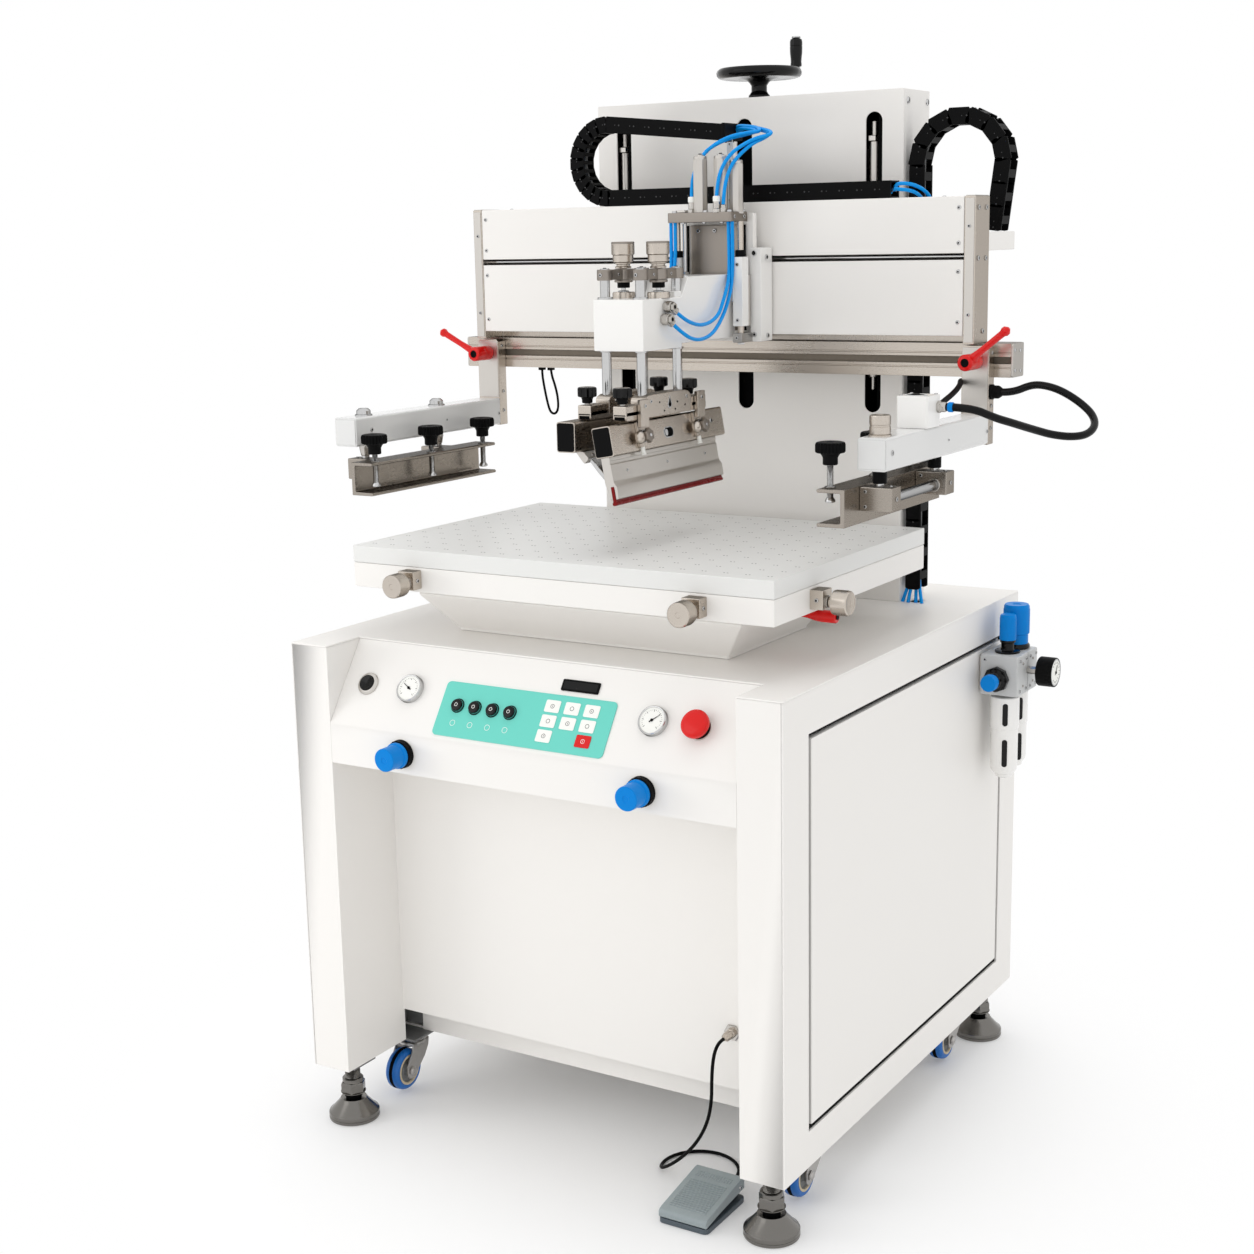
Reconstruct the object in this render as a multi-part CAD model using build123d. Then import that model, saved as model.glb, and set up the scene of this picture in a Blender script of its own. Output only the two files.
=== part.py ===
from build123d import *
import os
from math import atan2, cos, degrees, hypot, radians, sin, tan

# Floor-standing flat-bed screen printing press. Millimetres, +X to the operator's right, +Y to the back,
# +Z up. The origin is on the floor, midway between the four levelling feet.

# ---------------------------------------------------------------- driving dimensions
# cabinet
CABINET_WIDTH = 810.0
CABINET_DEPTH = 840.0
CABINET_BOTTOM = 94.0
CABINET_TOP = 760.0
SHEET = 3.0
CHEEK_WIDTH = 67.0
KNEE_SETBACK = 138.0
KNEE_PANEL_BOTTOM = 150.0
TOE_SETBACK = 186.0
CONSOLE_SETBACK = 76.0
CONSOLE_FOLD_Z = 645.0
CONSOLE_LIP_Z = 585.0
FRAME_TUBE = 30.0
FRAME_TUBE_WALL = 2.5
SEAM = 0.3
# side door, flush in the right side sheet
DOOR_FRONT_INSET = 81.0
DOOR_BACK_INSET = 74.0
DOOR_BOTTOM = 154.0
DOOR_TOP = 693.0
DOOR_GAP = 8.0
DOOR_THICK = 18.0
HINGE_R = 3.0
HINGE_REACH = 16.0
# column
COLUMN_WIDTH = 544.0
COLUMN_DEPTH = 98.0
COLUMN_FRONT_Y = 248.0
COLUMN_TOP = 1545.0
SLOT_PITCH = 223.0
SLOT_WIDTH = 27.0
SLOT_BOTTOM = 1058.0
SLOT_TOP = 1513.0
GUIDE_ROD_R = 12.5
GUIDE_Y = 300.0
BEARER = 18.0
RUNNING = 0.06
SLIDING = 0.3
# handwheel
RIM_R = 60.0
RIM_TUBE_R = 8.0
RIM_Z = 1585.0
HUB_R = 17.0
SCREW_R = 10.0
GRIP_ANGLE = 38.5
GRIP_R = 10.0
GRIP_LENGTH = 43.0
# print head
HEAD_FRONT_Y = 118.5
HEAD_DEPTH = 55.0
HEAD_TOP = 1382.0
COVER_HALF = 421.7
COVER_SPLIT_LOW = 1293.0
COVER_SPLIT_HIGH = 1302.0
COVER_BOTTOM = 1185.0
END_PLATE = 17.0
# clamp rail
RAIL_HALF = 483.0
RAIL_FRONT_Y = 153.6
RAIL_DEPTH = 44.0
RAIL_BOTTOM = 1124.0
RAIL_TOP = 1173.0
TSLOT_OPENING = 10.0
TSLOT_LIP = 5.0
TSLOT_WIDTH = 20.0
TSLOT_DEPTH = 14.0
# carriage, squeegee unit
CARRIAGE_X = 38.0
UNIT_HALF = 41.0
UNIT_FRONT_Y = -202.0
UNIT_STEP_Y = -94.0
UNIT_BACK_Y = 67.0
UNIT_BOTTOM = 1177.0
UNIT_TOP = 1249.0
UNIT_BACK_TOP = 1277.0
UNIT_WALL = 4.0
ROD_PITCH_X = 29.0
ROD_FRONT_Y = -188.0
ROD_BACK_Y = -88.0
ROD_R = 7.0
YOKE_Z = 1283.0
SLIDE_PITCH = 52.0
SLIDE_Y = 57.0
SLIDE_R = 6.0
SQUEEGEE_LENGTH = 300.0
SQUEEGEE_TILT = 10.0
# arms and frame clamps
ARM_HALF = 21.0
ARM_BOTTOM = 1029.0
ARM_TOP = 1073.0
ARM_PLATE = 21.3
LEFT_ARM_X = -428.0
RIGHT_ARM_X = 437.0
LEFT_ARM_FRONT_Y = -245.0
RIGHT_ARM_FRONT_Y = -226.0
CLAMP_OFFSET = 42.0
CLAMP_WIDTH = 40.0
CLAMP_HEIGHT = 50.0
CLAMP_BOTTOM = 958.0
CLAMP_FRONT_Y = -263.0
CLAMP_LENGTH = 320.0
CLAMP_WEB = 6.0
CLAMP_FLANGE = 5.0
POST_YS = (-201.0, -16.0)
CLAMP_SCREW_YS = (-242.0, -102.0, 36.0)
CLAMP_SCREW_R = 4.5
# table
TABLE_HALF_X = 350.0
TABLE_FRONT_Y = -335.0
TABLE_DEPTH = 494.5
TABLE_TOP = 895.7
PLATE_THICK = 25.0
TABLE_BOX = 37.0
PEDESTAL_TOP = 822.0
PEDESTAL_HALF_X = 230.0
PEDESTAL_FRONT_Y = -239.0
PEDESTAL_BACK_Y = 5.0
PEDESTAL_TAPER = 42.0
# energy chains
CHAIN_HEIGHT = 25.0
CHAIN_WIDTH = 32.0
TRAVERSE_BEND_R = 54.0
LIFT_BEND_R = 67.5
# feet and castors
FOOT_INSET = 40.0
FOOT_PAD_R = 39.0
FOOT_STUD_R = 12.0
CASTOR_SIDE_INSET = 53.0
CASTOR_FRONT_INSET = 173.0
CASTOR_BACK_INSET = 145.0
WHEEL_R = 33.0
WHEEL_WIDTH = 26.0
WHEEL_LIFT = 6.0
CASTOR_TRAIL = 25.0
# foot pedal
PEDAL_X = 252.0
PEDAL_BACK_Y = -316.0
PEDAL_LENGTH = 112.0
PEDAL_WIDTH = 78.0
# cords
PEDAL_CABLE_D = 5.0
HOSE_D = 11.0
SENSOR_CABLE_D = 4.0

# ---------------------------------------------------------------- derived values
SIDE_X = CABINET_WIDTH / 2
FRONT_Y = -CABINET_DEPTH / 2
BACK_Y = CABINET_DEPTH / 2
CHEEK_X = SIDE_X - CHEEK_WIDTH
KNEE_Y = FRONT_Y + KNEE_SETBACK
TOE_Y = FRONT_Y + TOE_SETBACK
CONSOLE_TOP_Y = FRONT_Y + CONSOLE_SETBACK
DECK_UNDER = CABINET_TOP - SHEET
FASCIA_ANGLE = atan2(DECK_UNDER - CONSOLE_FOLD_Z, CONSOLE_SETBACK)
DOOR_FRONT_Y = FRONT_Y + DOOR_FRONT_INSET
DOOR_BACK_Y = BACK_Y - DOOR_BACK_INSET
FOOT_X = SIDE_X - FOOT_INSET
FOOT_Y = BACK_Y - FOOT_INSET
CASTOR_X = SIDE_X - CASTOR_SIDE_INSET
CASTOR_FRONT_Y = FRONT_Y + CASTOR_FRONT_INSET
CASTOR_BACK_Y = BACK_Y - CASTOR_BACK_INSET
HINGE_X = SIDE_X - 7.0
HINGE_Y = DOOR_BACK_Y - 6.0
COLUMN_BACK_Y = COLUMN_FRONT_Y + COLUMN_DEPTH
COLUMN_HALF = COLUMN_WIDTH / 2
HEAD_BACK_Y = HEAD_FRONT_Y + HEAD_DEPTH
END_X = COVER_HALF + SEAM
TABLE_BACK_Y = TABLE_FRONT_Y + TABLE_DEPTH
PLATE_UNDER = TABLE_TOP - PLATE_THICK
TABLE_UNDER = PLATE_UNDER - TABLE_BOX
TSLOT_Z = (RAIL_BOTTOM + RAIL_TOP) / 2
CLAMP_TOP = CLAMP_BOTTOM + CLAMP_HEIGHT
FLOOD_X = CARRIAGE_X - ROD_PITCH_X
SQUEEGEE_X = CARRIAGE_X + ROD_PITCH_X
ROD_MID_Y = (ROD_FRONT_Y + ROD_BACK_Y) / 2


# ---------------------------------------------------------------- helpers
def block(x0, x1, y0, y1, z0, z1):
    return Pos((x0 + x1) / 2, (y0 + y1) / 2, (z0 + z1) / 2) * Box(abs(x1 - x0), abs(y1 - y0), abs(z1 - z0))


def rod_x(r, y, z, x0, x1):
    return Pos((x0 + x1) / 2, y, z) * Rot(0, 90, 0) * Cylinder(r, abs(x1 - x0))


def rod_y(r, x, z, y0, y1):
    return Pos(x, (y0 + y1) / 2, z) * Rot(90, 0, 0) * Cylinder(r, abs(y1 - y0))


def rod_z(r, x, y, z0, z1):
    return Pos(x, y, (z0 + z1) / 2) * Cylinder(r, abs(z1 - z0))


def prism_x(points, x0, x1):
    # points are (y, z) pairs of a closed outline
    face = Plane.YZ.offset(x0) * make_face(Polyline(*points, close=True))
    return extrude(face, x1 - x0)


def prism_y(points, y0, y1):
    # points are (x, z) pairs of a closed outline
    outline = Polyline(*[(x, y0, z) for x, z in points], close=True)
    return extrude(make_face(outline), y1 - y0, dir=(0, 1, 0))


def save(name, *shapes):
    solids = [solid for shape in shapes for solid in shape.solids()]
    export_step(Compound(children=solids), f"parts/{name}.step")


def both_sides(make):
    return [make(-1), make(1)]


os.makedirs("parts", exist_ok=True)

fascia = Plane(
    origin=(0, FRONT_Y, CONSOLE_FOLD_Z),
    x_dir=(1, 0, 0),
    z_dir=(0, -sin(FASCIA_ANGLE), cos(FASCIA_ANGLE)),
)


def on_fascia(shape, x, up_slope):
    return fascia.location * Pos(x, up_slope, 0) * shape


def raised(r, h0, h1):
    # a disc whose axis is the panel's normal, from height h0 to h1
    return Pos(0, 0, (h0 + h1) / 2) * Cylinder(r, h1 - h0)


# ---------------------------------------------------------------- cabinet
def square_tube(x0, x1, y0, y1, z0, z1):
    spans = {"x": x1 - x0, "y": y1 - y0, "z": z1 - z0}
    along = max(spans, key=spans.get)
    w = FRAME_TUBE_WALL
    inset = {axis: 0 if axis == along else w for axis in spans}
    hollow = block(
        x0 + inset["x"], x1 - inset["x"], y0 + inset["y"], y1 - inset["y"], z0 + inset["z"], z1 - inset["z"]
    )
    return block(x0, x1, y0, y1, z0, z1) - hollow


FOOT_PLATE = 6.0
FRAME_X1 = SIDE_X - SHEET
FRAME_X0 = FRAME_X1 - FRAME_TUBE
FRAME_Y1 = BACK_Y - SHEET
FRAME_Y0 = FRAME_Y1 - FRAME_TUBE
FRAME_Z0 = CABINET_BOTTOM + FOOT_PLATE
CASTOR_PLATE_HALF = 30.0
CASTOR_PLATE_THICK = 4.0
SWIVEL_BOSS_R = 19.0
SWIVEL_BOSS = 8.0


def foot_places():
    return [(sx * FOOT_X, sy * FOOT_Y) for sx in (-1, 1) for sy in (-1, 1)]


def castor_places():
    return [(sx * CASTOR_X, y) for y in (CASTOR_FRONT_Y, CASTOR_BACK_Y) for sx in (-1, 1)]


def cabinet_frame():
    pieces = []
    for sx in (-1, 1):
        x0, x1 = sorted((sx * FRAME_X0, sx * FRAME_X1))
        for sy in (-1, 1):
            y0, y1 = sorted((sy * FRAME_Y0, sy * FRAME_Y1))
            pieces.append(square_tube(x0, x1, y0, y1, FRAME_Z0, DECK_UNDER))
        low = FRAME_Z0 + FRAME_TUBE
        pieces.append(square_tube(x0, x1, -FRAME_Y0, FRAME_Y0, FRAME_Z0, low))
        pieces.append(square_tube(x0, x1, -FRAME_Y0, FRAME_Y0, DECK_UNDER - FRAME_TUBE, DECK_UNDER))
    rails = [
        (TOE_Y + SHEET, FRAME_Z0),
        (FRAME_Y0, FRAME_Z0),
        (KNEE_Y + SHEET, DECK_UNDER - FRAME_TUBE),
        (FRAME_Y0, DECK_UNDER - FRAME_TUBE),
    ]
    for y, z in rails:
        pieces.append(square_tube(-FRAME_X0, FRAME_X0, y, y + FRAME_TUBE, z, z + FRAME_TUBE))
    for x, y in foot_places():
        x0, x1 = sorted(((CHEEK_X + SHEET) * (1 if x > 0 else -1), FRAME_X1 * (1 if x > 0 else -1)))
        y0, y1 = sorted((FRAME_Y1 * (1 if y > 0 else -1), (FOOT_Y - 40) * (1 if y > 0 else -1)))
        plate = block(x0, x1, y0, y1, CABINET_BOTTOM, FRAME_Z0)
        pieces.append(plate - rod_z(FOOT_STUD_R + RUNNING, x, y, CABINET_BOTTOM, FRAME_Z0))
    for x, y in castor_places():
        h = CASTOR_PLATE_HALF
        z1 = CABINET_BOTTOM
        top = block(x - h, x + h, y - h, y + h, z1 - CASTOR_PLATE_THICK, z1)
        top += rod_z(SWIVEL_BOSS_R, x, y, z1 - CASTOR_PLATE_THICK - SWIVEL_BOSS, z1 - CASTOR_PLATE_THICK)
        pieces.append(top)
    return pieces


def cabinet_panels():
    door_hole = block(
        0, SIDE_X, DOOR_FRONT_Y - DOOR_GAP, DOOR_BACK_Y + DOOR_GAP, DOOR_BOTTOM - DOOR_GAP, DOOR_TOP + DOOR_GAP
    )
    inner_x = SIDE_X - SHEET
    left = block(-SIDE_X, -inner_x, FRONT_Y, BACK_Y, CABINET_BOTTOM, DECK_UNDER)
    right = block(inner_x, SIDE_X, FRONT_Y, BACK_Y, CABINET_BOTTOM, DECK_UNDER) - door_hole
    back = block(-inner_x, inner_x, BACK_Y - SHEET, BACK_Y, CABINET_BOTTOM, DECK_UNDER)
    pieces = [left, right, back]
    for sx in (-1, 1):
        face = block(sx * CHEEK_X, sx * inner_x, FRONT_Y, FRONT_Y + SHEET, CABINET_BOTTOM, DECK_UNDER)
        inner = block(
            sx * CHEEK_X, sx * (CHEEK_X + SHEET), FRONT_Y + SHEET, KNEE_Y + SHEET, CABINET_BOTTOM, DECK_UNDER
        )
        pieces.append(face + inner)
    knee = block(-CHEEK_X, CHEEK_X, KNEE_Y, KNEE_Y + SHEET, KNEE_PANEL_BOTTOM, CONSOLE_LIP_Z)
    knee -= rod_y(SOCKET_R, SOCKET_X, SOCKET_Z, KNEE_Y - 1, KNEE_Y + SHEET + 1)
    toe = block(-CHEEK_X, CHEEK_X, TOE_Y, TOE_Y + SHEET, CABINET_BOTTOM, KNEE_PANEL_BOTTOM)
    step = block(
        -CHEEK_X, CHEEK_X, KNEE_Y, TOE_Y + SHEET, KNEE_PANEL_BOTTOM - SHEET, KNEE_PANEL_BOTTOM
    )
    pieces.append(knee + step + toe)
    floor_front = TOE_Y + SHEET
    floor = block(-inner_x, inner_x, floor_front, BACK_Y - SHEET, CABINET_BOTTOM, CABINET_BOTTOM + SHEET)
    for sx in (-1, 1):
        floor -= block(
            sx * (CHEEK_X + SHEET), sx * inner_x, FOOT_Y - 40, BACK_Y, CABINET_BOTTOM, CABINET_BOTTOM + SHEET
        )
    pieces.append(floor)
    return pieces + door_hinges()


def cabinet_top():
    deck = block(-SIDE_X, SIDE_X, FRONT_Y, BACK_Y, DECK_UNDER, CABINET_TOP)
    deck -= block(-CHEEK_X, CHEEK_X, FRONT_Y, CONSOLE_TOP_Y, DECK_UNDER, CABINET_TOP)
    chain_x = LIFT_LEG_X
    half = CHAIN_HEIGHT / 2 - SHEET
    reach = CHAIN_WIDTH / 2 - SHEET
    return deck - block(
        chain_x - half, chain_x + half, LIFT_CHAIN_Y - reach, LIFT_CHAIN_Y + reach, DECK_UNDER, CABINET_TOP
    )


def cabinet_internals():
    base = CABINET_BOTTOM + SHEET
    blower = Pos(-190, 60, base + 128) * Rot(90, 0, 0) * Cylinder(120, 90)
    motor = rod_y(72, -190, base + 128, 105, 290)
    foot = block(-270, -110, 0, 260, base, base + 14)
    stand = block(-230, -150, 20, 240, base + 14, base + 66)
    pump = (blower + motor + stand) - rod_y(30, -190, base + 128, 10, 60)
    control = block(-FRAME_X1 + SEAM, -FRAME_X1 + 150, -170, 150, 330, 690)
    wall = control.faces().sort_by(Axis.X)[-1]
    control = fillet(wall.edges(), 6)
    manifold = block(-120, 60, FRAME_Y1 - 50, FRAME_Y1 - SEAM, 640, 700)
    for k in range(6):
        manifold += rod_y(9, -100 + 28 * k, 670, FRAME_Y1 - 92, FRAME_Y1 - 50)
    return [pump, foot, control, manifold]


# ---------------------------------------------------------------- pedal cable socket on the knee panel
SOCKET_X = 254.0
SOCKET_Z = 233.0
SOCKET_R = 7.0
PLUG_R = 6.5
PLUG_END_Y = KNEE_Y - 28.0


# ---------------------------------------------------------------- control console
POWER_X = -293.0
GAUGE_XS = (-214.0, 194.0)
ESTOP_X = 264.0
CONTROL_ROW = 67.0
KEYPAD_X = -11.0
KEYPAD_ROW = 46.5
KEYPAD_SIZE = (286.0, 82.0)
KEYPAD_THICK = 1.5
BUTTON_XS = (-124.0, -94.0, -64.0, -34.0)
BUTTON_ROW = 52.0
BUTTON_STEM_R = 4.0
DISPLAY_X = 66.0
DISPLAY_ROW = 103.0
DISPLAY_SIZE = (61.0, 17.0)
KEY_XS = (31.5, 63.5, 95.5)
KEY_ROWS = (69.5, 47.5, 25.5)
KEY_SIZE = (24.0, 18.0)
REGULATOR_XS = (-206.0, 196.0)
REGULATOR_Z = 615.0
REGULATOR_STUB_R = 6.0
ESTOP_STEM_R = 8.0
ESTOP_COLLAR = 6.0
GAUGE_R = 21.0


def control_console():
    outline = [
        (CONSOLE_TOP_Y, DECK_UNDER),
        (FRONT_Y, CONSOLE_FOLD_Z),
        (FRONT_Y, CONSOLE_LIP_Z),
        (KNEE_Y, CONSOLE_LIP_Z),
        (KNEE_Y, CONSOLE_LIP_Z + SHEET),
        (FRONT_Y + SHEET, CONSOLE_LIP_Z + SHEET),
        (FRONT_Y + SHEET, CONSOLE_FOLD_Z),
        (CONSOLE_TOP_Y + SHEET / sin(FASCIA_ANGLE), DECK_UNDER),
    ]
    half = CHEEK_X - SEAM
    shell = prism_x(outline, -half, half)
    cuts = [on_fascia(raised(11, -20, 10), POWER_X, CONTROL_ROW)]
    cuts += [on_fascia(raised(15.5, -20, 10), x, CONTROL_ROW) for x in GAUGE_XS]
    cuts.append(on_fascia(raised(11, -20, 10), ESTOP_X, CONTROL_ROW))
    cuts += [on_fascia(raised(BUTTON_STEM_R + 1, -20, 10), x, BUTTON_ROW) for x in BUTTON_XS]
    cuts += [rod_y(9, x, REGULATOR_Z, FRONT_Y - 1, FRONT_Y + SHEET + 1) for x in REGULATOR_XS]
    for cut in cuts:
        shell -= cut
    return shell


def panel_fittings():
    pieces = []
    w, h = KEYPAD_SIZE
    pad = extrude(RectangleRounded(w, h, 7), KEYPAD_THICK)
    for x in BUTTON_XS:
        pad -= Pos(x - KEYPAD_X, BUTTON_ROW - KEYPAD_ROW, 0) * raised(BUTTON_STEM_R + 0.2, -1, 5)
    pieces.append(on_fascia(pad, KEYPAD_X, KEYPAD_ROW))
    key = extrude(RectangleRounded(*KEY_SIZE, 2), 0.8)
    for row, up in enumerate(KEY_ROWS):
        for column, x in enumerate(KEY_XS):
            if (row, column) != (2, 1):
                pieces.append(on_fascia(Pos(0, 0, KEYPAD_THICK) * key, x, up))
    display = extrude(RectangleRounded(*DISPLAY_SIZE, 2), 2.0)
    pieces.append(on_fascia(display, DISPLAY_X, DISPLAY_ROW))
    switch = raised(17, 0, 6) + raised(11 - SEAM, -22, 0) - raised(12.5, 3.5, 8) + raised(9, 3.5, 7)
    pieces.append(on_fascia(switch, POWER_X, CONTROL_ROW))
    gauge = raised(GAUGE_R, 0, 9) - raised(GAUGE_R - 2.5, 6.5, 10) + raised(15.2, -26, 0)
    pieces += [on_fascia(gauge, x, CONTROL_ROW) for x in GAUGE_XS]
    collar = raised(16, 0, ESTOP_COLLAR) + raised(11 - SEAM, -26, 0)
    collar -= raised(ESTOP_STEM_R + RUNNING, -18, ESTOP_COLLAR + 1)
    pieces.append(on_fascia(collar, ESTOP_X, CONTROL_ROW))
    for x in REGULATOR_XS:
        body = rod_y(21, x, REGULATOR_Z, FRONT_Y - 10, FRONT_Y)
        body += rod_y(8.8, x, REGULATOR_Z, FRONT_Y, FRONT_Y + 40)
        body += rod_y(REGULATOR_STUB_R, x, REGULATOR_Z, FRONT_Y - 34, FRONT_Y - 10)
        pieces.append(body)
    gland = rod_y(SOCKET_R - 0.1, SOCKET_X, SOCKET_Z, KNEE_Y - 4, KNEE_Y + 12)
    gland += rod_y(11, SOCKET_X, SOCKET_Z, KNEE_Y - 4, KNEE_Y)
    plug = rod_y(PLUG_R, SOCKET_X, SOCKET_Z, KNEE_Y - 21, KNEE_Y - 4)
    plug += rod_y(PLUG_R - 2, SOCKET_X, SOCKET_Z, PLUG_END_Y, KNEE_Y - 21)
    return pieces + [gland, plug]


def estop_button():
    head = raised(20, 12, 22)
    head = fillet(head.edges().sort_by(Axis.Z)[-1], 6)
    neck = raised(13, ESTOP_COLLAR + 4.5, 12) + raised(ESTOP_STEM_R, -10, ESTOP_COLLAR + 4.5)
    return on_fascia(head + neck, ESTOP_X, CONTROL_ROW)


def push_buttons():
    cap = raised(9, KEYPAD_THICK + 2.5, KEYPAD_THICK + 6) + raised(BUTTON_STEM_R, -7, KEYPAD_THICK + 2.5)
    return [on_fascia(cap, x, BUTTON_ROW) for x in BUTTON_XS]


def regulator_knob(x):
    back = FRONT_Y - 10 - SLIDING
    grip = rod_y(17, x, REGULATOR_Z, back - 32, back - 6) + rod_y(19, x, REGULATOR_Z, back - 6, back)
    grip = fillet(grip.edges().sort_by(Axis.Y)[0], 3)
    return grip - rod_y(REGULATOR_STUB_R + RUNNING, x, REGULATOR_Z, FRONT_Y - 36, FRONT_Y)


# ---------------------------------------------------------------- side door and air unit
def hinge_pin(end, outward, radius):
    # end is the door edge's height and outward is +1 at the top edge, -1 at the bottom edge
    z0, z1 = sorted((end - outward * HINGE_REACH, end + outward * (DOOR_GAP + 4)))
    return rod_z(radius, HINGE_X, HINGE_Y, z0, z1)


def door_hinges():
    pieces = []
    for end, outward in ((DOOR_TOP, 1), (DOOR_BOTTOM, -1)):
        z0, z1 = sorted((end + outward * (DOOR_GAP + 1), end + outward * (DOOR_GAP + 5)))
        ear = block(HINGE_X - 12, SIDE_X - SHEET, HINGE_Y - 12, HINGE_Y + 10, z0, z1)
        pieces.append(ear + hinge_pin(end, outward, HINGE_R))
    return pieces


def side_door():
    slab = block(SIDE_X - DOOR_THICK, SIDE_X, DOOR_FRONT_Y, DOOR_BACK_Y, DOOR_BOTTOM, DOOR_TOP)
    for end, outward in ((DOOR_TOP, 1), (DOOR_BOTTOM, -1)):
        slab -= hinge_pin(end, outward, HINGE_R + RUNNING)
    pan = block(
        SIDE_X - DOOR_THICK, SIDE_X - SHEET, DOOR_FRONT_Y + 20, DOOR_BACK_Y - 20, DOOR_BOTTOM + 20, DOOR_TOP - 20
    )
    return slab - pan


AIR_FRONT_Y = 246.0
AIR_SPLIT_Y = 292.0
AIR_BACK_Y = 334.0
AIR_BOTTOM = 626.0
AIR_TOP = 690.0
AIR_REACH = 37.0
AIR_PORT_R = 5.8
AIR_PORT_Z = 663.0
AIR_PORT_DEEP = 16.0


def air_unit():
    x0 = SIDE_X + 4
    xc = SIDE_X + AIR_REACH
    x1 = xc + 28
    plate = block(SIDE_X, x0, AIR_FRONT_Y + 6, AIR_BACK_Y - 6, AIR_BOTTOM + 6, AIR_TOP - 6)
    body = block(x0, x1, AIR_FRONT_Y, AIR_BACK_Y, AIR_BOTTOM, AIR_TOP)
    small_y = AIR_SPLIT_Y - 14
    large_y = (AIR_SPLIT_Y + AIR_BACK_Y) / 2
    gauge_y = AIR_SPLIT_Y - 2
    body += rod_z(14, xc, small_y, AIR_TOP, AIR_TOP + 20)
    body += rod_z(20, xc, large_y, AIR_TOP, AIR_TOP + 8)
    body += rod_x(6, gauge_y, AIR_PORT_Z, x1, x1 + 18)
    body -= rod_y(AIR_PORT_R, xc, AIR_PORT_Z, AIR_BACK_Y - AIR_PORT_DEEP, AIR_BACK_Y + 1)
    gauge = rod_x(23, gauge_y, AIR_PORT_Z, x1 + 18, x1 + 50)
    gauge -= rod_x(20, gauge_y, AIR_PORT_Z, x1 + 47, x1 + 51)
    collar = Pos(xc - 5, AIR_FRONT_Y, 653) * Rot(90, 0, 0) * extrude(RegularPolygon(20, 8), 10)
    knobs = [
        collar,
        rod_z(13, xc, small_y, AIR_TOP + 20, AIR_TOP + 60),
        rod_z(20.5, xc, large_y, AIR_TOP + 8, AIR_TOP + 70),
        rod_y(12.5, xc - 5, 653, AIR_FRONT_Y - 40, AIR_FRONT_Y - 10),
    ]
    bowls = []
    for y, r, bottom in (((AIR_FRONT_Y + AIR_SPLIT_Y) / 2, 22.5, 498), (large_y, 20.5, 506)):
        bowl = rod_z(r, xc, y, bottom, AIR_BOTTOM)
        bowl = fillet(bowl.edges().sort_by(Axis.Z)[0], 6)
        bowls.append(bowl + rod_z(6, xc, y, bottom - 8, bottom))
    return [plate, body, gauge] + knobs + bowls


# ---------------------------------------------------------------- column
def column_cover():
    outer = block(-COLUMN_HALF, COLUMN_HALF, COLUMN_FRONT_Y, COLUMN_BACK_Y, CABINET_TOP, COLUMN_TOP)
    inner = block(
        -COLUMN_HALF + SHEET,
        COLUMN_HALF - SHEET,
        COLUMN_FRONT_Y + SHEET,
        COLUMN_BACK_Y - SHEET,
        CABINET_TOP,
        COLUMN_TOP - SHEET,
    )
    shell = outer - inner
    slot_r = SLOT_WIDTH / 2
    for x in (-SLOT_PITCH, 0, SLOT_PITCH):
        y0, y1 = COLUMN_FRONT_Y - 1, COLUMN_FRONT_Y + SHEET + 1
        shell -= block(x - slot_r, x + slot_r, y0, y1, SLOT_BOTTOM + slot_r, SLOT_TOP - slot_r)
        shell -= rod_y(slot_r, x, SLOT_BOTTOM + slot_r, y0, y1)
        shell -= rod_y(slot_r, x, SLOT_TOP - slot_r, y0, y1)
    return shell - rod_z(SCREW_R + 4, 0, GUIDE_Y, COLUMN_TOP - SHEET, COLUMN_TOP)


COLUMN_INSIDE = COLUMN_HALF - SHEET - SEAM
BEARER_TOP = COLUMN_TOP - SHEET - SEAM
BEARER_LOW = SLOT_BOTTOM - 70.0


def column_guides():
    y0 = COLUMN_FRONT_Y + SHEET + SEAM
    y1 = COLUMN_BACK_Y - SHEET - SEAM
    top = block(-COLUMN_INSIDE, COLUMN_INSIDE, y0, y1, BEARER_TOP - BEARER, BEARER_TOP)
    top -= rod_z(SCREW_R + RUNNING, 0, GUIDE_Y, BEARER_TOP - BEARER, BEARER_TOP)
    low = block(-COLUMN_INSIDE, COLUMN_INSIDE, y0, y1, BEARER_LOW - BEARER, BEARER_LOW)
    rods = both_sides(lambda s: rod_z(GUIDE_ROD_R, s * SLOT_PITCH, GUIDE_Y, BEARER_LOW, BEARER_TOP - BEARER))
    return [top, low] + rods


# ---------------------------------------------------------------- handwheel and height carriage
HUB_BOTTOM = COLUMN_TOP + SLIDING
HUB_TOP = RIM_Z + 5.0
SCREW_BOTTOM = 1388.0
SPINDLE_R = 4.0
CROSSBAR_Z = 1430.0
CROSSBAR = 30.0
CYLINDER_X = -110.0
BARREL_R = 22.0
BARREL_BORE_R = 16.0
BARREL_BOTTOM = 1290.0
PISTON_ROD_R = 6.0


def grip_place():
    angle = radians(GRIP_ANGLE)
    return RIM_R * cos(angle), GUIDE_Y + RIM_R * sin(angle)


def rim():
    section = Plane(origin=(RIM_R, 0, 0), x_dir=(1, 0, 0), z_dir=(0, 1, 0)) * Circle(RIM_TUBE_R)
    return Solid.revolve(section.faces()[0], 360, Axis.Z)


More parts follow.
